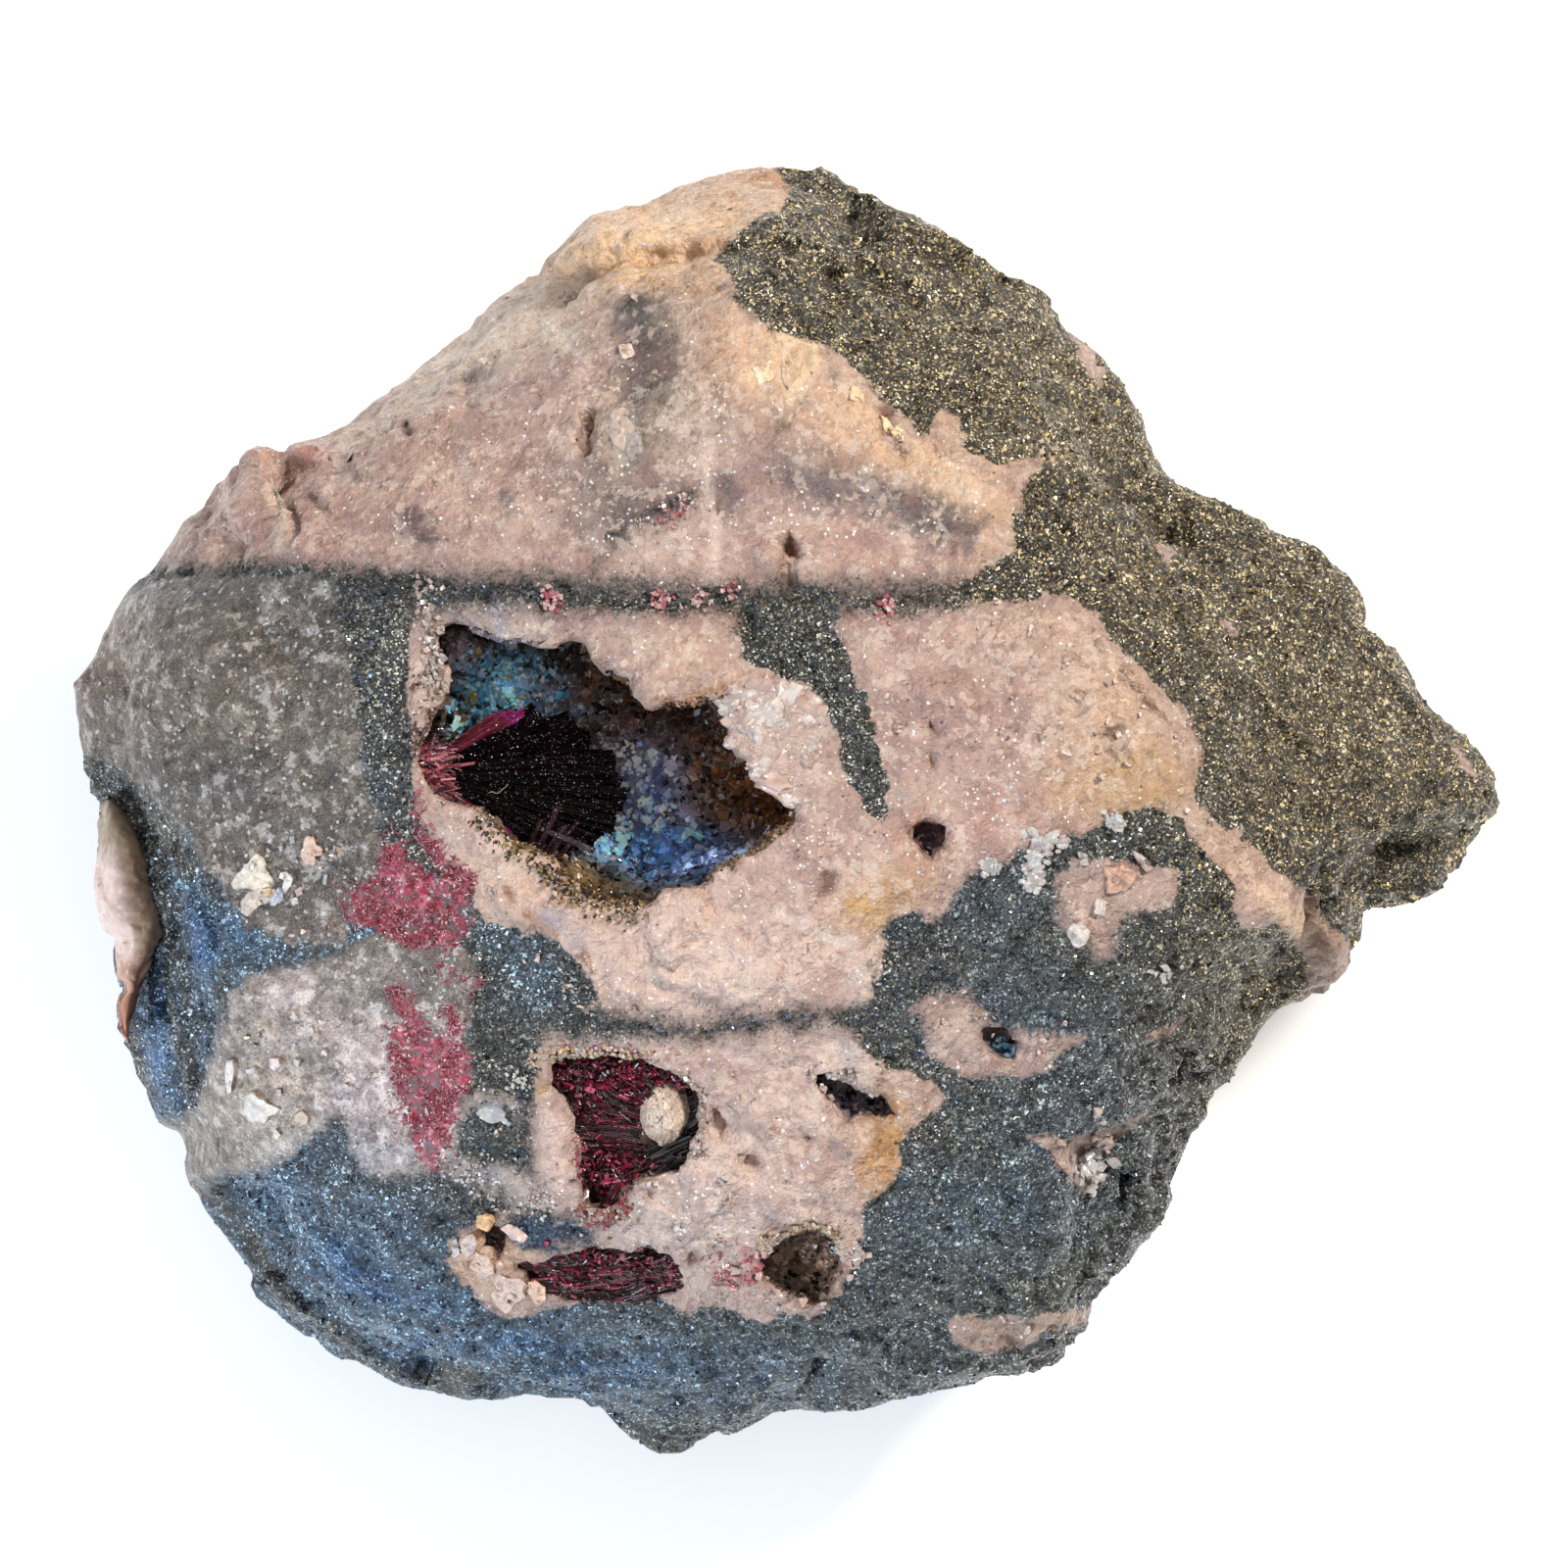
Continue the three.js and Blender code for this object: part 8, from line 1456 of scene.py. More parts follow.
CHIP = [([(262,871),(268,875),(273,885),(279,899),(279,905),(262,910),(250,907),(237,908),(234,903),(241,893),(250,882),(258,873)], (240,230,216), 0.62, -0.10, -0.16, 82, 0.34),
        ([(248,912),(262,906),(275,905),(283,908),(276,920),(266,924),(254,934),(247,933),(246,920)], (222,208,196), 0.34, 0.05, -0.06, 40, 0.15),
        ([(285,889),(293,888),(299,897),(297,905),(291,912),(288,905),(290,898),(285,896)], (228,226,224), 0.45, 0.1, 0.0, None, 0),
        ([(276,918),(284,906),(291,908),(289,918),(281,925),(276,925)], (206,210,222), 0.34, 0.0, 0.1, 20, 0.2),
        ([(256,879),(260,880),(260,888),(257,889)], (246,244,238), 0.95, 0.0, 0.0, None, 0),
        ([(268,907),(276,906),(277,914),(270,916)], (230,206,168), 0.55, 0.0, 0.0, 60, 0.2),
        ([(300,908),(307,905),(309,912),(303,916)], (190,170,170), 0.22, 0, 0, None, 0), ([(296,917),(303,915),(305,922),(299,925)], (206,204,212), 0.22, 0, 0, None, 0)]
CHIP2 = [([(312,854),(320,855),(323,862),(331,867),(329,873),(322,874),(322,884),(311,884),(306,874),(308,864)], (212,186,170), 0.34, 0.03, 0.05, 60, 0.10),
         ([(284,862),(288,862),(289,869),(286,872)], (196,196,202), 0.2, 0, 0, None, 0), ([(295,854),(300,853),(301,860),(296,862)], (190,192,200), 0.2, 0, 0, None, 0), ([(330,893),(334,891),(333,904),(329,902)], (186,184,196), 0.2, 0, 0, None, 0)]
OUT_SIGN = 1.0 if float(outline_map(np.array([800.0]), np.array([800.0]))[0]) > 0 else -1.0
def white_patches():
    """Milky cleavage pieces of the grey quartz and the paler dolomite."""
    rng = np.random.default_rng(121)
    rows = [([(252,1115),(258,1114),(268,1122),(284,1131),(283,1137),(276,1141),(275,1147),(266,1146),(255,1143),(251,1134),(249,1120)], (252,246,240), 0.42, -0.04, 0.02, 70, 0.10),
            ([(229,1082),(240,1080),(239,1092),(236,1108),(236,1126),(234,1128),(231,1110),(229,1095)], (250,246,244), 0.34, 0, 0, None, 0), ([(275,1080),(284,1080),(285,1088),(281,1094),(276,1090)], (226,216,220), 0.24, 0, 0, None, 0),
            ([(300,1138),(308,1132),(314,1138),(314,1146),(306,1150),(297,1146)], (222,204,188), 0.3, 0, 0, 30, 0.15), ([(281,1152),(287,1158),(283,1163),(278,1160)], (236,230,220), 0.3, 0, 0, None, 0), ([(249,1092),(258,1089),(261,1094),(254,1098)], (216,214,220), 0.2, 0, 0, None, 0),
            ([(300,1080),(306,1082),(305,1089),(300,1088)], (206,206,206), 0.2, 0, 0, None, 0), ([(281,1112),(287,1111),(288,1118),(283,1119)], (212,204,200), 0.2, 0, 0, None, 0),
            ([(1090,944),(1102,940),(1112,950),(1108,966),(1098,968),(1088,956)], (230,220,214), 0.3, 0, 0, 45, 0.12), ([(1156,868),(1166,872),(1178,888),(1170,890),(1160,880)], (222,206,200), 0.26, 0, 0, 40, 0.2), ([(1126,886),(1146,880),(1160,892),(1152,912),(1130,910)], (206,168,148), 0.3, 0.04, 0.04, 10, 0.08),
            ([(1100,868),(1110,872),(1112,884),(1102,884)], (216,206,204), 0.24, 0, 0, None, 0), ([(1118,916),(1130,920),(1128,936),(1116,932)], (220,208,202), 0.24, 0, 0, None, 0),
            ([(503,1308),(512,1299),(523,1303),(531,1302),(538,1312),(534,1326),(526,1331),(519,1341),(508,1334),(499,1322)], (240,212,200), 0.26, 0.05, 0, 80, 0.20), ([(538,1308),(546,1306),(555,1314),(558,1327),(549,1331),(541,1328)], (236,200,178), 0.22, 0, 0, 20, 0.2), ([(486,1240),(500,1238),(508,1246),(498,1256),(486,1252)], (240,196,150), 0.4, 0, 0, 60, 0.2),
            ([(510,1254),(519,1249),(528,1253),(541,1262),(533,1268),(522,1264)], (228,202,194), 0.20, 0, 0, 20, 0.2), ([(470,1262),(482,1258),(488,1272),(478,1284),(468,1276)], (226,208,200), 0.3, 0, 0, 70, 0.2), ([(484,1276),(500,1284),(506,1300),(490,1306),(480,1292)], (238,212,198), 0.4, 0, 0, 30, 0.15),
            ([(460,1266),(466,1262),(470,1280),(462,1284)], (208,198,200), 0.3, 0, 0, None, 0), ([(798,350),(824,348),(822,364),(815,384),(806,396),(799,390),(796,368)], (250,216,184), 0.14, 0.02, -0.02, None, 0), ([(764,372),(786,376),(792,388),(774,392)], (244,214,182), 0.2, 0, 0, 20, 0.08),
            ([(630,352),(644,350),(648,362),(636,368)], (224,200,184), 0.14, 0, 0, None, 0), ([(622,420),(640,414),(648,440),(636,462),(622,450)], (196,176,164), 0.20, 0, 0, 80, 0.1), ([(636,442),(654,438),(658,462),(642,476)], (176,162,158), 0.22, 0, 0, 60, 0.12),
            ([(868,392),(884,398),(880,412),(866,408)], (240,204,170), 0.2, 0, 0, None, 0), ([(900,424),(926,440),(920,452),(902,440)], (244,208,172), 0.2, 0, 0, 30, 0.1)]
    spots = [(1053,645,12,3), (1083,680,10,3), (1103,703,12,3), (1093,657,8,3), (1128,693,9,3), (1127,743,12,3), (1110,776,20,4), (1153,780,12,2), (1030,700,8,2), (1023,745,8,2), (1062,750,8,3), (993,633,8,2), (953,650,8,2), (1013,625,8,2), (910,717,7,2), (917,742,8,2),
             (1233,840,10,2), (1210,765,9,2), (1173,717,8,2), (890,990,10,3), (830,960,12,3), (655,1215,12,4), (740,1210,14,4), (690,1255,12,4), (600,1245,10,4), (830,1190,12,4), (790,1160,12,3), (760,1120,10,3), (870,1190,10,4), (560,1200,8,3), (725,1270,12,4), (780,1330,10,3), (840,1340,9,3),
             (350,1100,16,5), (330,1060,14,4), (390,1090,14,4), (300,1040,12,4), (262,1060,10,3), (420,1130,10,3), (380,1160,14,4), (410,1060,12,3), (480,360,20,4), (430,400,14,3), (540,300,14,3), (660,240,20,3), (640,300,16,3),
             (1070,1070,16,4), (1010,1040,12,3), (960,1050,10,3), (1090,1180,12,4), (1040,1352,20,4), (985,1365,12,3), (505,1140,14,3), (470,1205,16,5), (500,1215,16,4), (540,1225,12,4), (590,1010,14,4), (560,980,12,3), (330,870,10,3), (360,900,12,3), (300,960,14,3)]
    for u, v, sp, k in spots:
        for j in range(k):
            c = np.array([u, v]) + rng.normal(size=2) * sp * 0.7; r = rng.uniform(2.2, 5.2) * (0.8 + sp / 40.0)
            pu, pv = np.array([c[0]]), np.array([c[1]])
            cool = 1.0 if (u < 460 or v > 1190) else 0.0
            t = mix(np.array([238.0, 214.0, 202.0]), np.array([224.0, 218.0, 218.0]), cool * rng.uniform(0.3, 1.0)) * rng.uniform(0.88, 1.03)
            rows.append((angular(c, r, rng, rng.integers(5, 8), rng.uniform(1.0, 1.6)), tuple(t), rng.uniform(0.07, 0.22), rng.normal() * 0.06, rng.normal() * 0.06, rng.uniform(0, 180) if rng.random() < 0.5 else None, 0.12))
    mid = np.array([np.mean(q[0], axis=0) for q in rows]); keep = outline_map(mid[:, 0], mid[:, 1]) * UNIT
    rows = [q for q, d in zip(rows, keep) if abs(d) > 1.6 and OUT_SIGN * d > 0]
    return slabs("milky_cleavage_pieces", rows, 123, n=22, rings=6, rough=0.13)
chip_ob = slabs("calcite_chip_flakes", CHIP, 89, n=48, rings=9, rough=0.13); chip2 = slabs("calcite_chip_small", CHIP2, 91); patches = white_patches()
tuft_a = lump_patch("calcite_tuft_flakes", [(1048,872),(1056,852),(1074,848),(1092,856),(1088,868),(1070,872),(1066,890),(1058,912),(1044,912),(1042,890)], 64, 0.25, 0.62, 93, [(236,230,226),(218,206,206),(244,240,236),(200,184,186)], deep=-0.25, flat=0.7, cell=0.5)

# --- loose white and rosy grains, stuck where they lie ----------------------
SCATTER = [  # u, v, spread, count, low, high, tones
 (1010,884,7,40,.2,.5,0), (1138,838,8,40,.2,.55,0), (1050,850,7,20,.2,.5,0),
 (563,612,11,30,.15,.4,2), (675,613,9,24,.15,.36,2), (712,612,9,24,.15,.36,2), (905,624,11,30,.15,.4,2), (745,605,9,14,.15,.3,2), (680,528,14,24,.12,.3,2), (700,515,10,14,.12,.3,2),
 (500,1206,30,70,.08,.24,0), (470,1190,22,50,.08,.22,0), (530,1105,10,30,.10,.3,0), (545,1225,18,50,.10,.26,0), (575,1005,26,60,.07,.18,0), (600,1050,40,60,.07,.18,0),
 (345,872,7,8,.2,.4,1), (1106,1192,16,60,.3,.9,0), (1120,1160,12,30,.3,.8,1), (1185,1050,12,30,.3,.7,1),
  (1075,468,12,24,.3,.7,3), (1190,1000,10,12,.3,.6,0), 
 (820,1300,14,30,.2,.5,5), (870,1280,10,30,.3,.7,1), (765,1290,16,40,.3,.7,2), (740,1300,12,30,.2,.5,2), 
 (505,905,16,30,.12,.3,1),
]
TONES = [[(236,230,228),(214,206,206),(244,240,238)], [(226,204,194),(206,176,166),(236,220,214)], [(228,170,168),(240,206,200),(196,90,104)], [(232,200,166),(222,184,150),(238,214,188)], [(190,128,60),(212,160,90),(160,100,50)], [(50,34,26),(90,66,50)]]
def scatter():
    rng = np.random.default_rng(97); P, S, T = [], [], []
    for u, v, sp, k, lo, hi, ti in SCATTER:
        q = np.array([u, v]) + rng.normal(size=(k, 2)) * sp * 0.6
        P.append(at(q[:, 0], q[:, 1], 0.0)); S.append(rng.uniform(lo, hi, k) * 0.8); T.append(mixtones(rng, k, TONES[ti]))
    P = np.concatenate(P); s = np.concatenate(S); T = np.concatenate(T); m = len(P)
    f = sample(field, P); g = gradient(field, P); g /= np.linalg.norm(g, axis=1, keepdims=True) + 1e-9
    ok = np.abs(f) < 1.2
    P = P - g * (f - 0.06)[:, None]
    P, s, T, g = P[ok], s[ok], T[ok], g[ok]; m = len(P)
    size = np.stack([s, s * rng.uniform(0.5, 1.0, m), s * rng.uniform(0.3, 0.7, m)], -1)
    V, Q = rhombs(P, rot_onto(g, rng.uniform(0, 6.28, m), 0.4, rng), size, rng)
    ob = add_mesh("loose_flakes", V, quads=Q, smooth_shade=False); attr(ob, "tone", per(lin(T), 8))
    return ob

white_lump = lump_patch("quartz_lump", [(478,1128),(492,1116),(514,1112),(528,1124),(524,1144),(508,1154),(488,1150)], 14, 0.5, 1.2, 111, [(214,214,216),(196,196,202),(230,228,228)], deep=0.08, flat=0.35, amp=0.2, cell=1.3)
# --- red crust: short fibres in sprays, on a stained surface ----------------
def crust_fibres():
    rng = np.random.default_rng(101)
    k = 90; per_seed = 10
    P, Nn, f = skin_points((_zr < 0.15) & (_zd < 1.5), k, rng)
    m = k * per_seed
    c = per(P, per_seed); n = per(Nn, per_seed)
    h = rng.normal(size=(m, 3)) + per(np.stack([0.3 * np.ones(k), 0.9 * np.ones(k), 0 * np.ones(k)], -1), per_seed) * 0.6
    h -= n * (h * n).sum(1, keepdims=True); h /= np.linalg.norm(h, axis=1, keepdims=True)
    L = rng.uniform(0.08, 0.30, m)[:, None]
    B = c + h * L + n * rng.uniform(0.01, 0.07, (m, 1)); A = c - h * L * 0.3 + n * 0.01
    V, F, C = laths(A, B, rng.uniform(0.05, 0.12, m), rng.uniform(0.03, 0.05, m), n, 0.7, 0.02, rng)
    T = per(lin(mixtones(rng, m, [(158,52,74),(190,92,108),(206,130,138),(128,30,56)])), 12)
    # granules
    g = 5200
    P, Nn, f = skin_points((_zr < 0.25) & (_zd < 1.5), g, rng, np.clip(0.25 - _zr, 0.1, 0.8))
    keep = vnoise(P / 0.8, 351) + 0.5 * vnoise(P / 0.4, 353) > 0.08
    P, Nn = P[keep], Nn[keep]; g = len(P)
    s = rng.uniform(0.06, 0.20, g)
    V2, Q2 = rhombs(P, rot_random(g, rng), np.stack([s, s * rng.uniform(0.6, 1, g), s * 0.6], -1), rng, 0.2, 0.12)
    T2 = per(lin(mixtones(rng, g, [(176,56,78),(200,100,116),(216,150,156),(140,34,58),(150,110,110)])), 8)
    o = len(V)
    ob = add_mesh("erythrite_crust_fibres", np.concatenate([V, V2]), quads=[F[0], F[1], Q2 + o], smooth_shade=False)
    attr(ob, "tone", np.concatenate([T, T2]))
    return ob
def crust_specks():
    """Loose red threads and specks round the patches and along the cavity's foot."""
    rng = np.random.default_rng(103); rows = []
    for path, k, w in [(((424,800),(430,850),(452,878),(486,900)), 120, 5), (((398,1010),(412,1022),(432,1046)), 70, 5), (((458,1026),(464,1062)), 40, 3), (((430,960),(470,998)), 60, 14), (((396,1045),(400,1120),(425,1180)), 60, 9),
                       (((400,850),(400,895)), 40, 6), (((575,1070),(690,1078)), 60, 5), (((590,1165),(596,1206)), 40, 5), (((620,1210),(640,1216)), 20, 5), (((360,905),(356,940)), 30, 8), (((720,1285),(745,1272)), 16, 5), (((470,985),(490,1012)), 30, 10), (((560,600),(575,620)), 10, 5)]:
        Pp = np.asarray(path, float); seg = rng.integers(0, len(Pp) - 1, k); t = rng.random(k)[:, None]
        q = mix(Pp[seg], Pp[seg + 1], t) + rng.normal(size=(k, 2)) * w; rows.append(q)
    q = np.concatenate(rows); m = len(q)
    P = at(q[:, 0], q[:, 1]); f = sample(field, P); g = gradient(field, P); g /= np.linalg.norm(g, axis=1, keepdims=True) + 1e-9
    P = P - g * np.clip(f - 0.03, -0.9, 0.9)[:, None]
    h = rng.normal(size=(m, 3)); h -= g * (h * g).sum(1, keepdims=True); h /= np.linalg.norm(h, axis=1, keepdims=True)
    L = rng.uniform(0.05, 0.24, m)[:, None]
    V, F, C = laths(P - h * L, P + h * L + g * 0.04, rng.uniform(0.04, 0.10, m), 0.04, g, 0.8, 0.02, rng)
    ob = add_mesh("erythrite_threads", V, quads=F, smooth_shade=False)
    attr(ob, "lath", C); attr(ob, "tone", per(lin(mixtones(rng, m, [(158,42,70),(196,84,104),(214,130,140)])), 12))
    return ob

# --- ore grains standing out of the skin: metallic, one facet each to the light
def ore_grains():
    rng = np.random.default_rng(107); m = 10000
    w = np.where(_sn[:, 2] > -0.1, 1.0, 0.25) * np.where(_sc[:, 2] > 14, 1.0, 0.4)
    P, Nn, f = skin_points((_zp > 0.12) & (_zq > 0.1) & (_zr > 0.0) & (_zvug > 0) & (_sc[:, 2] > 0.6), m, rng, w)
    s = rng.uniform(0.09, 0.22, m)
    size = np.stack([s, s * rng.uniform(0.7, 1.0, m), s * rng.uniform(0.6, 1.0, m)], -1)
    V, Q = rhombs(P - Nn * (0.22 * s)[:, None], rot_random(m, rng), size, rng, 0.0, 0.12)
    u, v, _ = plan(P)
    # The grain tint, gold towards the upper right and blue-grey towards the lower left, paints the colour of the warm
    # and cool lamps; the few near-white grains are painted glints.
    warm = smooth((u - v + 120) / 500.0)[:, None]
    T = mix(np.array([150.0, 170.0, 200.0]), np.array([214.0, 190.0, 130.0]), warm) * rng.uniform(0.35, 1.1, (m, 1))
    T = np.where((rng.random(m) < 0.06)[:, None], [236, 232, 220], T)
    ob = add_mesh("ore_grains", V, quads=Q, smooth_shade=False); attr(ob, "tone", per(lin(np.clip(T, 0, 255)), 8))
    return ob

# --- one white lint fibre lying on the spray --------------------------------
def lint():
    pts = [at(498, 809.5, 1.15), at(502, 807, 0.95), at(506, 810, 0.9), at(510, 808.5, 0.9), at(513, 805, 0.9), at(516, 803.5, 0.95), at(518, 800, 1.1)]
    cu = bpy.data.curves.new("lint", "CURVE"); cu.dimensions = "3D"; cu.bevel_depth = 0.000013; cu.bevel_resolution = 1; cu.use_fill_caps = True
    sp = cu.splines.new("NURBS"); sp.points.add(len(pts) - 1)
    for q, p in zip(sp.points, pts):
        q.co = (*(((p + SHIFT) * 0.001).tolist()), 1)
    sp.use_endpoint_u = True; sp.order_u = 3
    ob = bpy.data.objects.new("lint", cu); bpy.context.scene.collection.objects.link(ob)
    dg = bpy.context.evaluated_depsgraph_get()
    me = bpy.data.meshes.new_from_object(ob.evaluated_get(dg)); bpy.data.objects.remove(ob)
    ob = bpy.data.objects.new("lint_fibre", me); bpy.context.scene.collection.objects.link(ob)
    return ob

druse_ob = druse(); rim_ob = rim_crystals(); loose = scatter(); cf = crust_fibres(); cs = crust_specks(); grains = ore_grains(); lint_ob = lint()
PIECES += [(druse_ob, "dolomite"), (rim_ob, "dolomite"), (cluster, "dolomite"), (knob, "dolomite"), (knob2, "dolomite"), (lump_l, "calcite"), (chip_ob, "calcite"), (chip2, "calcite"), (tuft_a, "calcite"), (white_lump, "calcite"), (patches, "dolomite"),
           (loose, "calcite"), (cf, "erythrite_crust"), (cs, "erythrite_crust"), (grains, "rock"), (lint_ob, "calcite")]
print("parts", round(time.time() - T0, 1))

# ------------------------------------------------------------------ their materials
def blade_material(name, colour, through, absorb, density, rough=0.10, spec=0.20, tips=None):
    """Glassy crimson: clear crystal, strongly coloured inside, striated along its length, with a few bright faces
    painted as glints, pale and partly metallic in tiny cells.
    """
    m = Nodes(name)
    la = m.split(m.attr("lath"))
    comb = m.t.nodes.new("ShaderNodeCombineXYZ")
    m.link(m.math("ADD", m.math("MULTIPLY", la[0], 11.0), m.math("MULTIPLY", la[2], 57.0)), comb.inputs[0]); m.link(m.math("MULTIPLY", la[1], 0.30), comb.inputs[1]); m.link(m.math("MULTIPLY", la[2], 31.0), comb.inputs[2])
    n = m.t.nodes.new("ShaderNodeTexNoise"); n.inputs["Scale"].default_value = 1.0; n.inputs["Detail"].default_value = 1.0
    m.link(comb.outputs[0], n.inputs["Vector"])
    k = m.noise(0.5, 2.0, 0.6); stripe = n.outputs["Fac"]
    col = m.scale(colour, m.math("MULTIPLY", m.math("ADD", 0.3, m.math("MULTIPLY", k, 1.2)), m.math("ADD", 0.2, m.math("MULTIPLY", stripe, 1.6))))
    if tips:
        col = m.mixc(m.math("MULTIPLY", m.map(la[1], 3.9, 4.5), 0.85), col, m.scale(tips, m.math("ADD", 0.5, m.math("MULTIPLY", stripe, 1.0))))
    # lit: painted glints, pale and partly metallic in a few tiny cells
    chip = m.voro(0.05); cs = m.split(chip); lit = m.math("MULTIPLY", m.map(cs[0], 0.958, 0.978), m.map(cs[2], 0.1, 1.0, 0.15, 0.8, smooth=False))
    m.link(m.mixc(lit, col, m.mixc(m.map(cs[1], 0.5, 0.7), (0.50, 0.30, 0.34), (0.42, 0.52, 0.66))), m.b.inputs["Base Color"])
    m.link(m.math("MULTIPLY", lit, 0.9), m.b.inputs["Metallic"])
    m.link(m.map(lit, 0.0, 1.0, rough, 0.22, smooth=False), m.b.inputs["Roughness"])
    m.b.inputs["Transmission Weight"].default_value = through
    m.b.inputs["IOR"].default_value = 1.63
    m.b.inputs["Specular IOR Level"].default_value = spec
    nb = m.bump(stripe, 0.9, 0.16)
    nb2 = m.vmath("ADD", nb, m.vmath("SCALE", m.vmath("SUBTRACT", chip, (0.5, 0.5, 0.5)), scale=m.map(cs[0], 0.80, 0.9, 0.06, 0.9)))
    m.link(m.vmath("NORMALIZE", nb2), m.b.inputs["Normal"])
    va = m.t.nodes.new("ShaderNodeVolumeAbsorption"); va.inputs["Color"].default_value = absorb + (1,); va.inputs["Density"].default_value = density
    m.link(va.outputs[0], m.out.inputs["Volume"])
    return m.mat

def tone_material(name, rough, trans, sss, spec=0.5, ior=1.55, bump=0.5, cell=0.3, vary=0.5, metal=0.0, facets=0.0):
    """A mineral whose tint is carried by the piece; cloudy inside, with fine grain on its faces."""
    m = Nodes(name)
    tone = m.attr("tone")
    n1 = m.noise(cell * 1.6, 3.0, 0.6); c1 = m.split(m.voro(cell))
    k = m.math("ADD", 1.0 - vary * 0.5, m.math("MULTIPLY", n1, vary))
    col = m.scale(tone, k)
    col = m.mixc(m.math("MULTIPLY", m.map(c1[0], 0.80, 0.98), 0.30), col, m.scale(tone, 1.6))
    m.link(col, m.b.inputs["Base Color"])
    m.link(m.map(c1[1], 0.0, 1.0, rough * 0.6, min(1.0, rough * 1.5), smooth=False), m.b.inputs["Roughness"])
    m.b.inputs["Transmission Weight"].default_value = trans
    m.b.inputs["Subsurface Weight"].default_value = sss
    m.b.inputs["Subsurface Radius"].default_value = (1.0, 0.6, 0.45)
    m.b.inputs["Subsurface Scale"].default_value = 0.0007
    m.b.inputs["IOR"].default_value = ior
    m.b.inputs["Metallic"].default_value = metal
    m.b.inputs["Specular IOR Level"].default_value = spec
    nb = m.bump(m.math("ADD", m.noise(cell, 3.0, 0.6), m.math("MULTIPLY", c1[2], 0.3)), bump, 0.06)
    if facets:
        nb = m.flakes(m.voro(cell * 0.8), facets, nb)
    m.link(nb, m.b.inputs["Normal"])
    return m.mat

BLADE = blade_material("erythrite_blades", (0.0014, 0.0002, 0.0007), 0.03, (0.60, 0.0, 0.12), 9000.0, 0.50, 0.01)
# The thin blades: their paler crimson and magenta tips are partly their own colour and partly painted light shining
# through them.
EDGE = blade_material("erythrite_thin_blades", (0.11, 0.003, 0.014), 0.30, (0.80, 0.02, 0.30), 900.0, 0.28, 0.12, (0.22, 0.002, 0.11))
PRISM = blade_material("erythrite_prisms", (0.016, 0.0010, 0.0045), 0.08, (0.62, 0.0, 0.14), 5000.0, 0.22, 0.40, (0.16, 0.002, 0.05))
FIBRE = tone_material("erythrite_fibres", 0.20, 0.25, 0.0, 0.5, 1.63, 0.4, 0.12, 0.7)
DRUSE = tone_material("druse_crystals", 0.16, 0.15, 0.0, 0.6, 1.55, 0.4, 0.25, 0.5)
DOLO = tone_material("dolomite_flakes", 0.34, 0.10, 0.25, 0.5, 1.60, 0.5, 0.3, 0.5, facets=0.25)
CALC = tone_material("calcite_flakes", 0.25, 0.22, 0.15, 0.55, 1.58, 0.5, 0.35, 0.6, facets=0.2)
MILK = tone_material("milky_cleavage", 0.42, 0.0, 0.10, 0.4, 1.60, 0.8, 0.22, 0.7, facets=0.40)
FLANKM = tone_material("calcite_flank_glassy", 0.36, 0.06, 0.22, 0.4, 1.60, 0.8, 0.4, 0.5, facets=0.15)
GRAIN = tone_material("ore_grain_metal", 0.26, 0.0, 0.0, 0.5, 1.5, 0.3, 0.1, 0.4, metal=0.9)
LINT = tone_material("lint_fibre", 0.6, 0.2, 0.0)
attr(lint_ob, "tone", np.tile(lin((222, 214, 190)), (len(lint_ob.data.vertices), 1)))
for ob, mat in ((spray, BLADE), (spray_edge, EDGE), (prisms_ob, PRISM), (spray_root, FIBRE), (sheaf_mid, FIBRE), (sheaf_dark, FIBRE), (sheaf_knot, FIBRE), (sheaf_low, FIBRE), (cf, FIBRE), (cs, FIBRE),
                (druse_ob, DRUSE), (rim_ob, DOLO), (cluster, DOLO), (knob, DOLO), (knob2, DOLO), (lump_l, FLANKM), (chip_ob, MILK), (chip2, MILK), (tuft_a, CALC), (white_lump, CALC), (patches, MILK),
                (loose, CALC), (grains, GRAIN), (lint_ob, LINT)):
    ob.data.materials.clear(); ob.data.materials.append(mat)

# ------------------------------------------------------------------ bodies
for ob, slot in PIECES:
    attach(ob, "root")
for ob, node in ((rock, "matrix_rock"), (spray, "erythrite_fan"), (prisms_ob, "erythrite_cross_prisms"), (sheaf_mid, "erythrite_sheaf_middle"), (sheaf_low, "erythrite_sheaf_lower"),
                 (knob, "dolomite_knob"), (cluster, "dolomite_cluster_rim"), (lump_l, "calcite_lump_left"), (chip_ob, "calcite_chip"), (tuft_a, "calcite_tuft")):
    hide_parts(node)
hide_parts("erythrite_crust_upper", "erythrite_crust_lower")

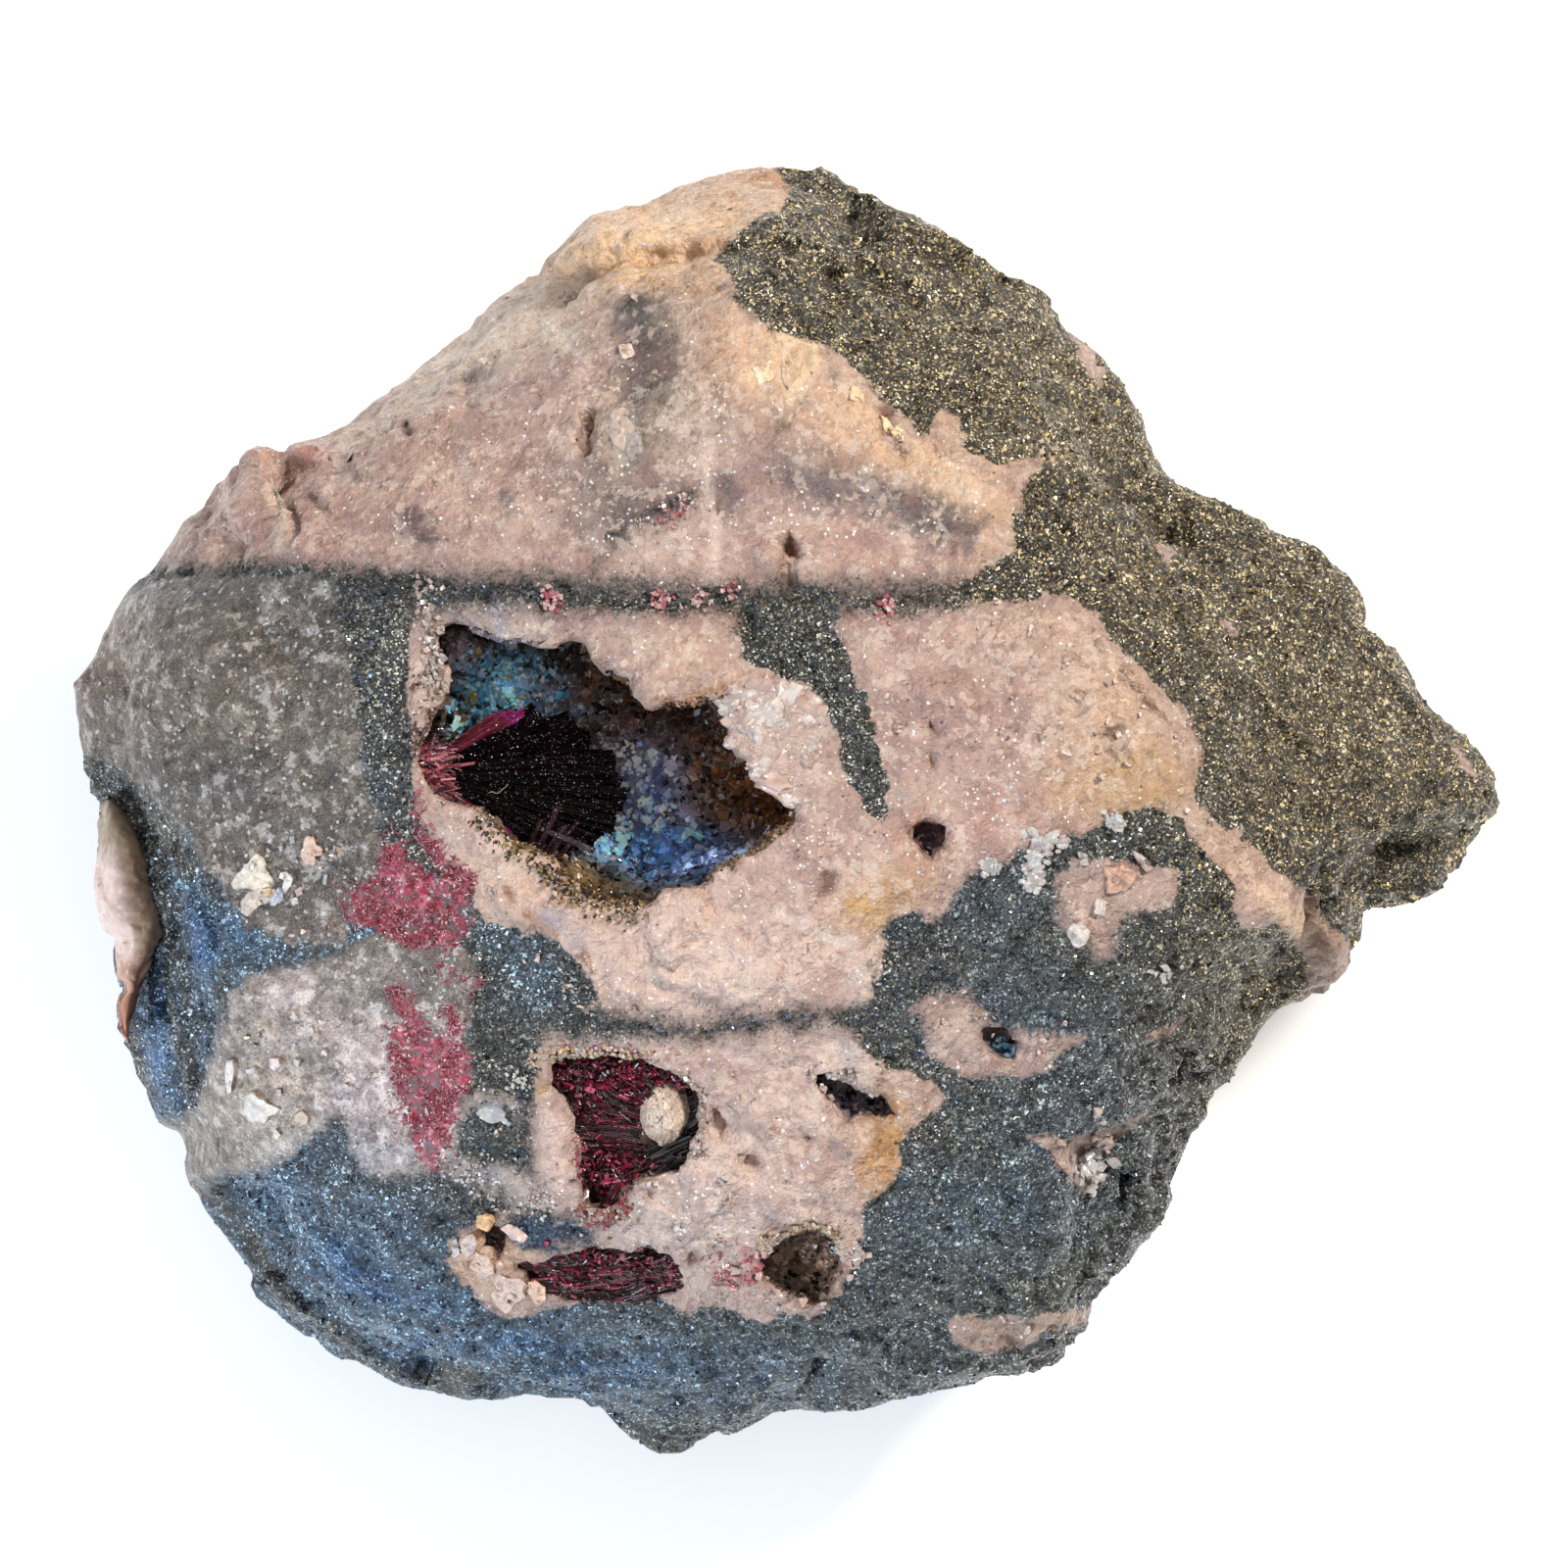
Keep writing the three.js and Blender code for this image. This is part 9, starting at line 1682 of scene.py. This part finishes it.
# ------------------------------------------------------------------ room, lights, camera
def stage():
    me = bpy.data.meshes.new("studio_floor")
    s = 3.0
    me.from_pydata([(-s, -s, 0), (s, -s, 0), (s, s, 0), (-s, s, 0)], [], [(0, 1, 2, 3)])
    ob = bpy.data.objects.new("studio_floor", me); bpy.context.scene.collection.objects.link(ob)
    mat = bpy.data.materials.new("studio_floor"); mat.use_nodes = True
    b = mat.node_tree.nodes["Principled BSDF"]
    b.inputs["Base Color"].default_value = (0.94, 0.94, 0.94, 1); b.inputs["Roughness"].default_value = 0.9
    b.inputs["Emission Color"].default_value = (1, 1, 1, 1); b.inputs["Emission Strength"].default_value = 0.22
    me.materials.append(mat)
    return ob

def area(name, loc, target, size, power, col):
    L = bpy.data.lights.new(name, "AREA"); L.shape = "DISK"; L.size = size; L.energy = power; L.color = col
    o = bpy.data.objects.new(name, L); bpy.context.scene.collection.objects.link(o)
    o.location = loc
    o.rotation_euler = (Vector(target) - Vector(loc)).to_track_quat("-Z", "Y").to_euler()
    return o

floor = stage()
W = bpy.data.worlds.new("room"); bpy.context.scene.world = W; W.use_nodes = True
W.node_tree.nodes["Background"].inputs["Color"].default_value = (1.0, 1.0, 1.0, 1)
W.node_tree.nodes["Background"].inputs["Strength"].default_value = 0.27
area("key_warm", (0.30, 0.26, 0.42), (0, 0, 0.02), 0.12, 3.45, (1.0, 0.93, 0.83))
area("fill_cool", (-0.34, -0.28, 0.30), (0, 0, 0.02), 0.16, 2.35, (0.80, 0.90, 1.0))
area("top_soft", (-0.05, 0.10, 0.60), (0, 0, 0.02), 0.4, 0.62, (1.0, 1.0, 1.0))

cam = bpy.data.cameras.new("camera"); cam_ob = bpy.data.objects.new("camera", cam)
bpy.context.scene.collection.objects.link(cam_ob)
cam.sensor_fit = "HORIZONTAL"; cam.sensor_width = 36.0
cam.lens = 36.0 * EYE / (1600 * UNIT)
cam_ob.location = (SHIFT[0] * 0.001, SHIFT[1] * 0.001, (ZREF + EYE) * 0.001)
cam_ob.rotation_euler = (0, 0, 0)
cam.clip_start = 0.01; cam.clip_end = 10.0
bpy.context.scene.camera = cam_ob
cy = bpy.context.scene.cycles
cy.max_bounces = 7; cy.diffuse_bounces = 3; cy.glossy_bounces = 3; cy.transmission_bounces = 6
cy.caustics_reflective = False; cy.caustics_refractive = False
bpy.context.scene.view_settings.view_transform = "Standard"
bpy.context.scene.view_settings.look = "None"
bpy.context.scene.view_settings.exposure = 0.0

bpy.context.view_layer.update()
print("scene made in", round(time.time() - T0, 1), "s")
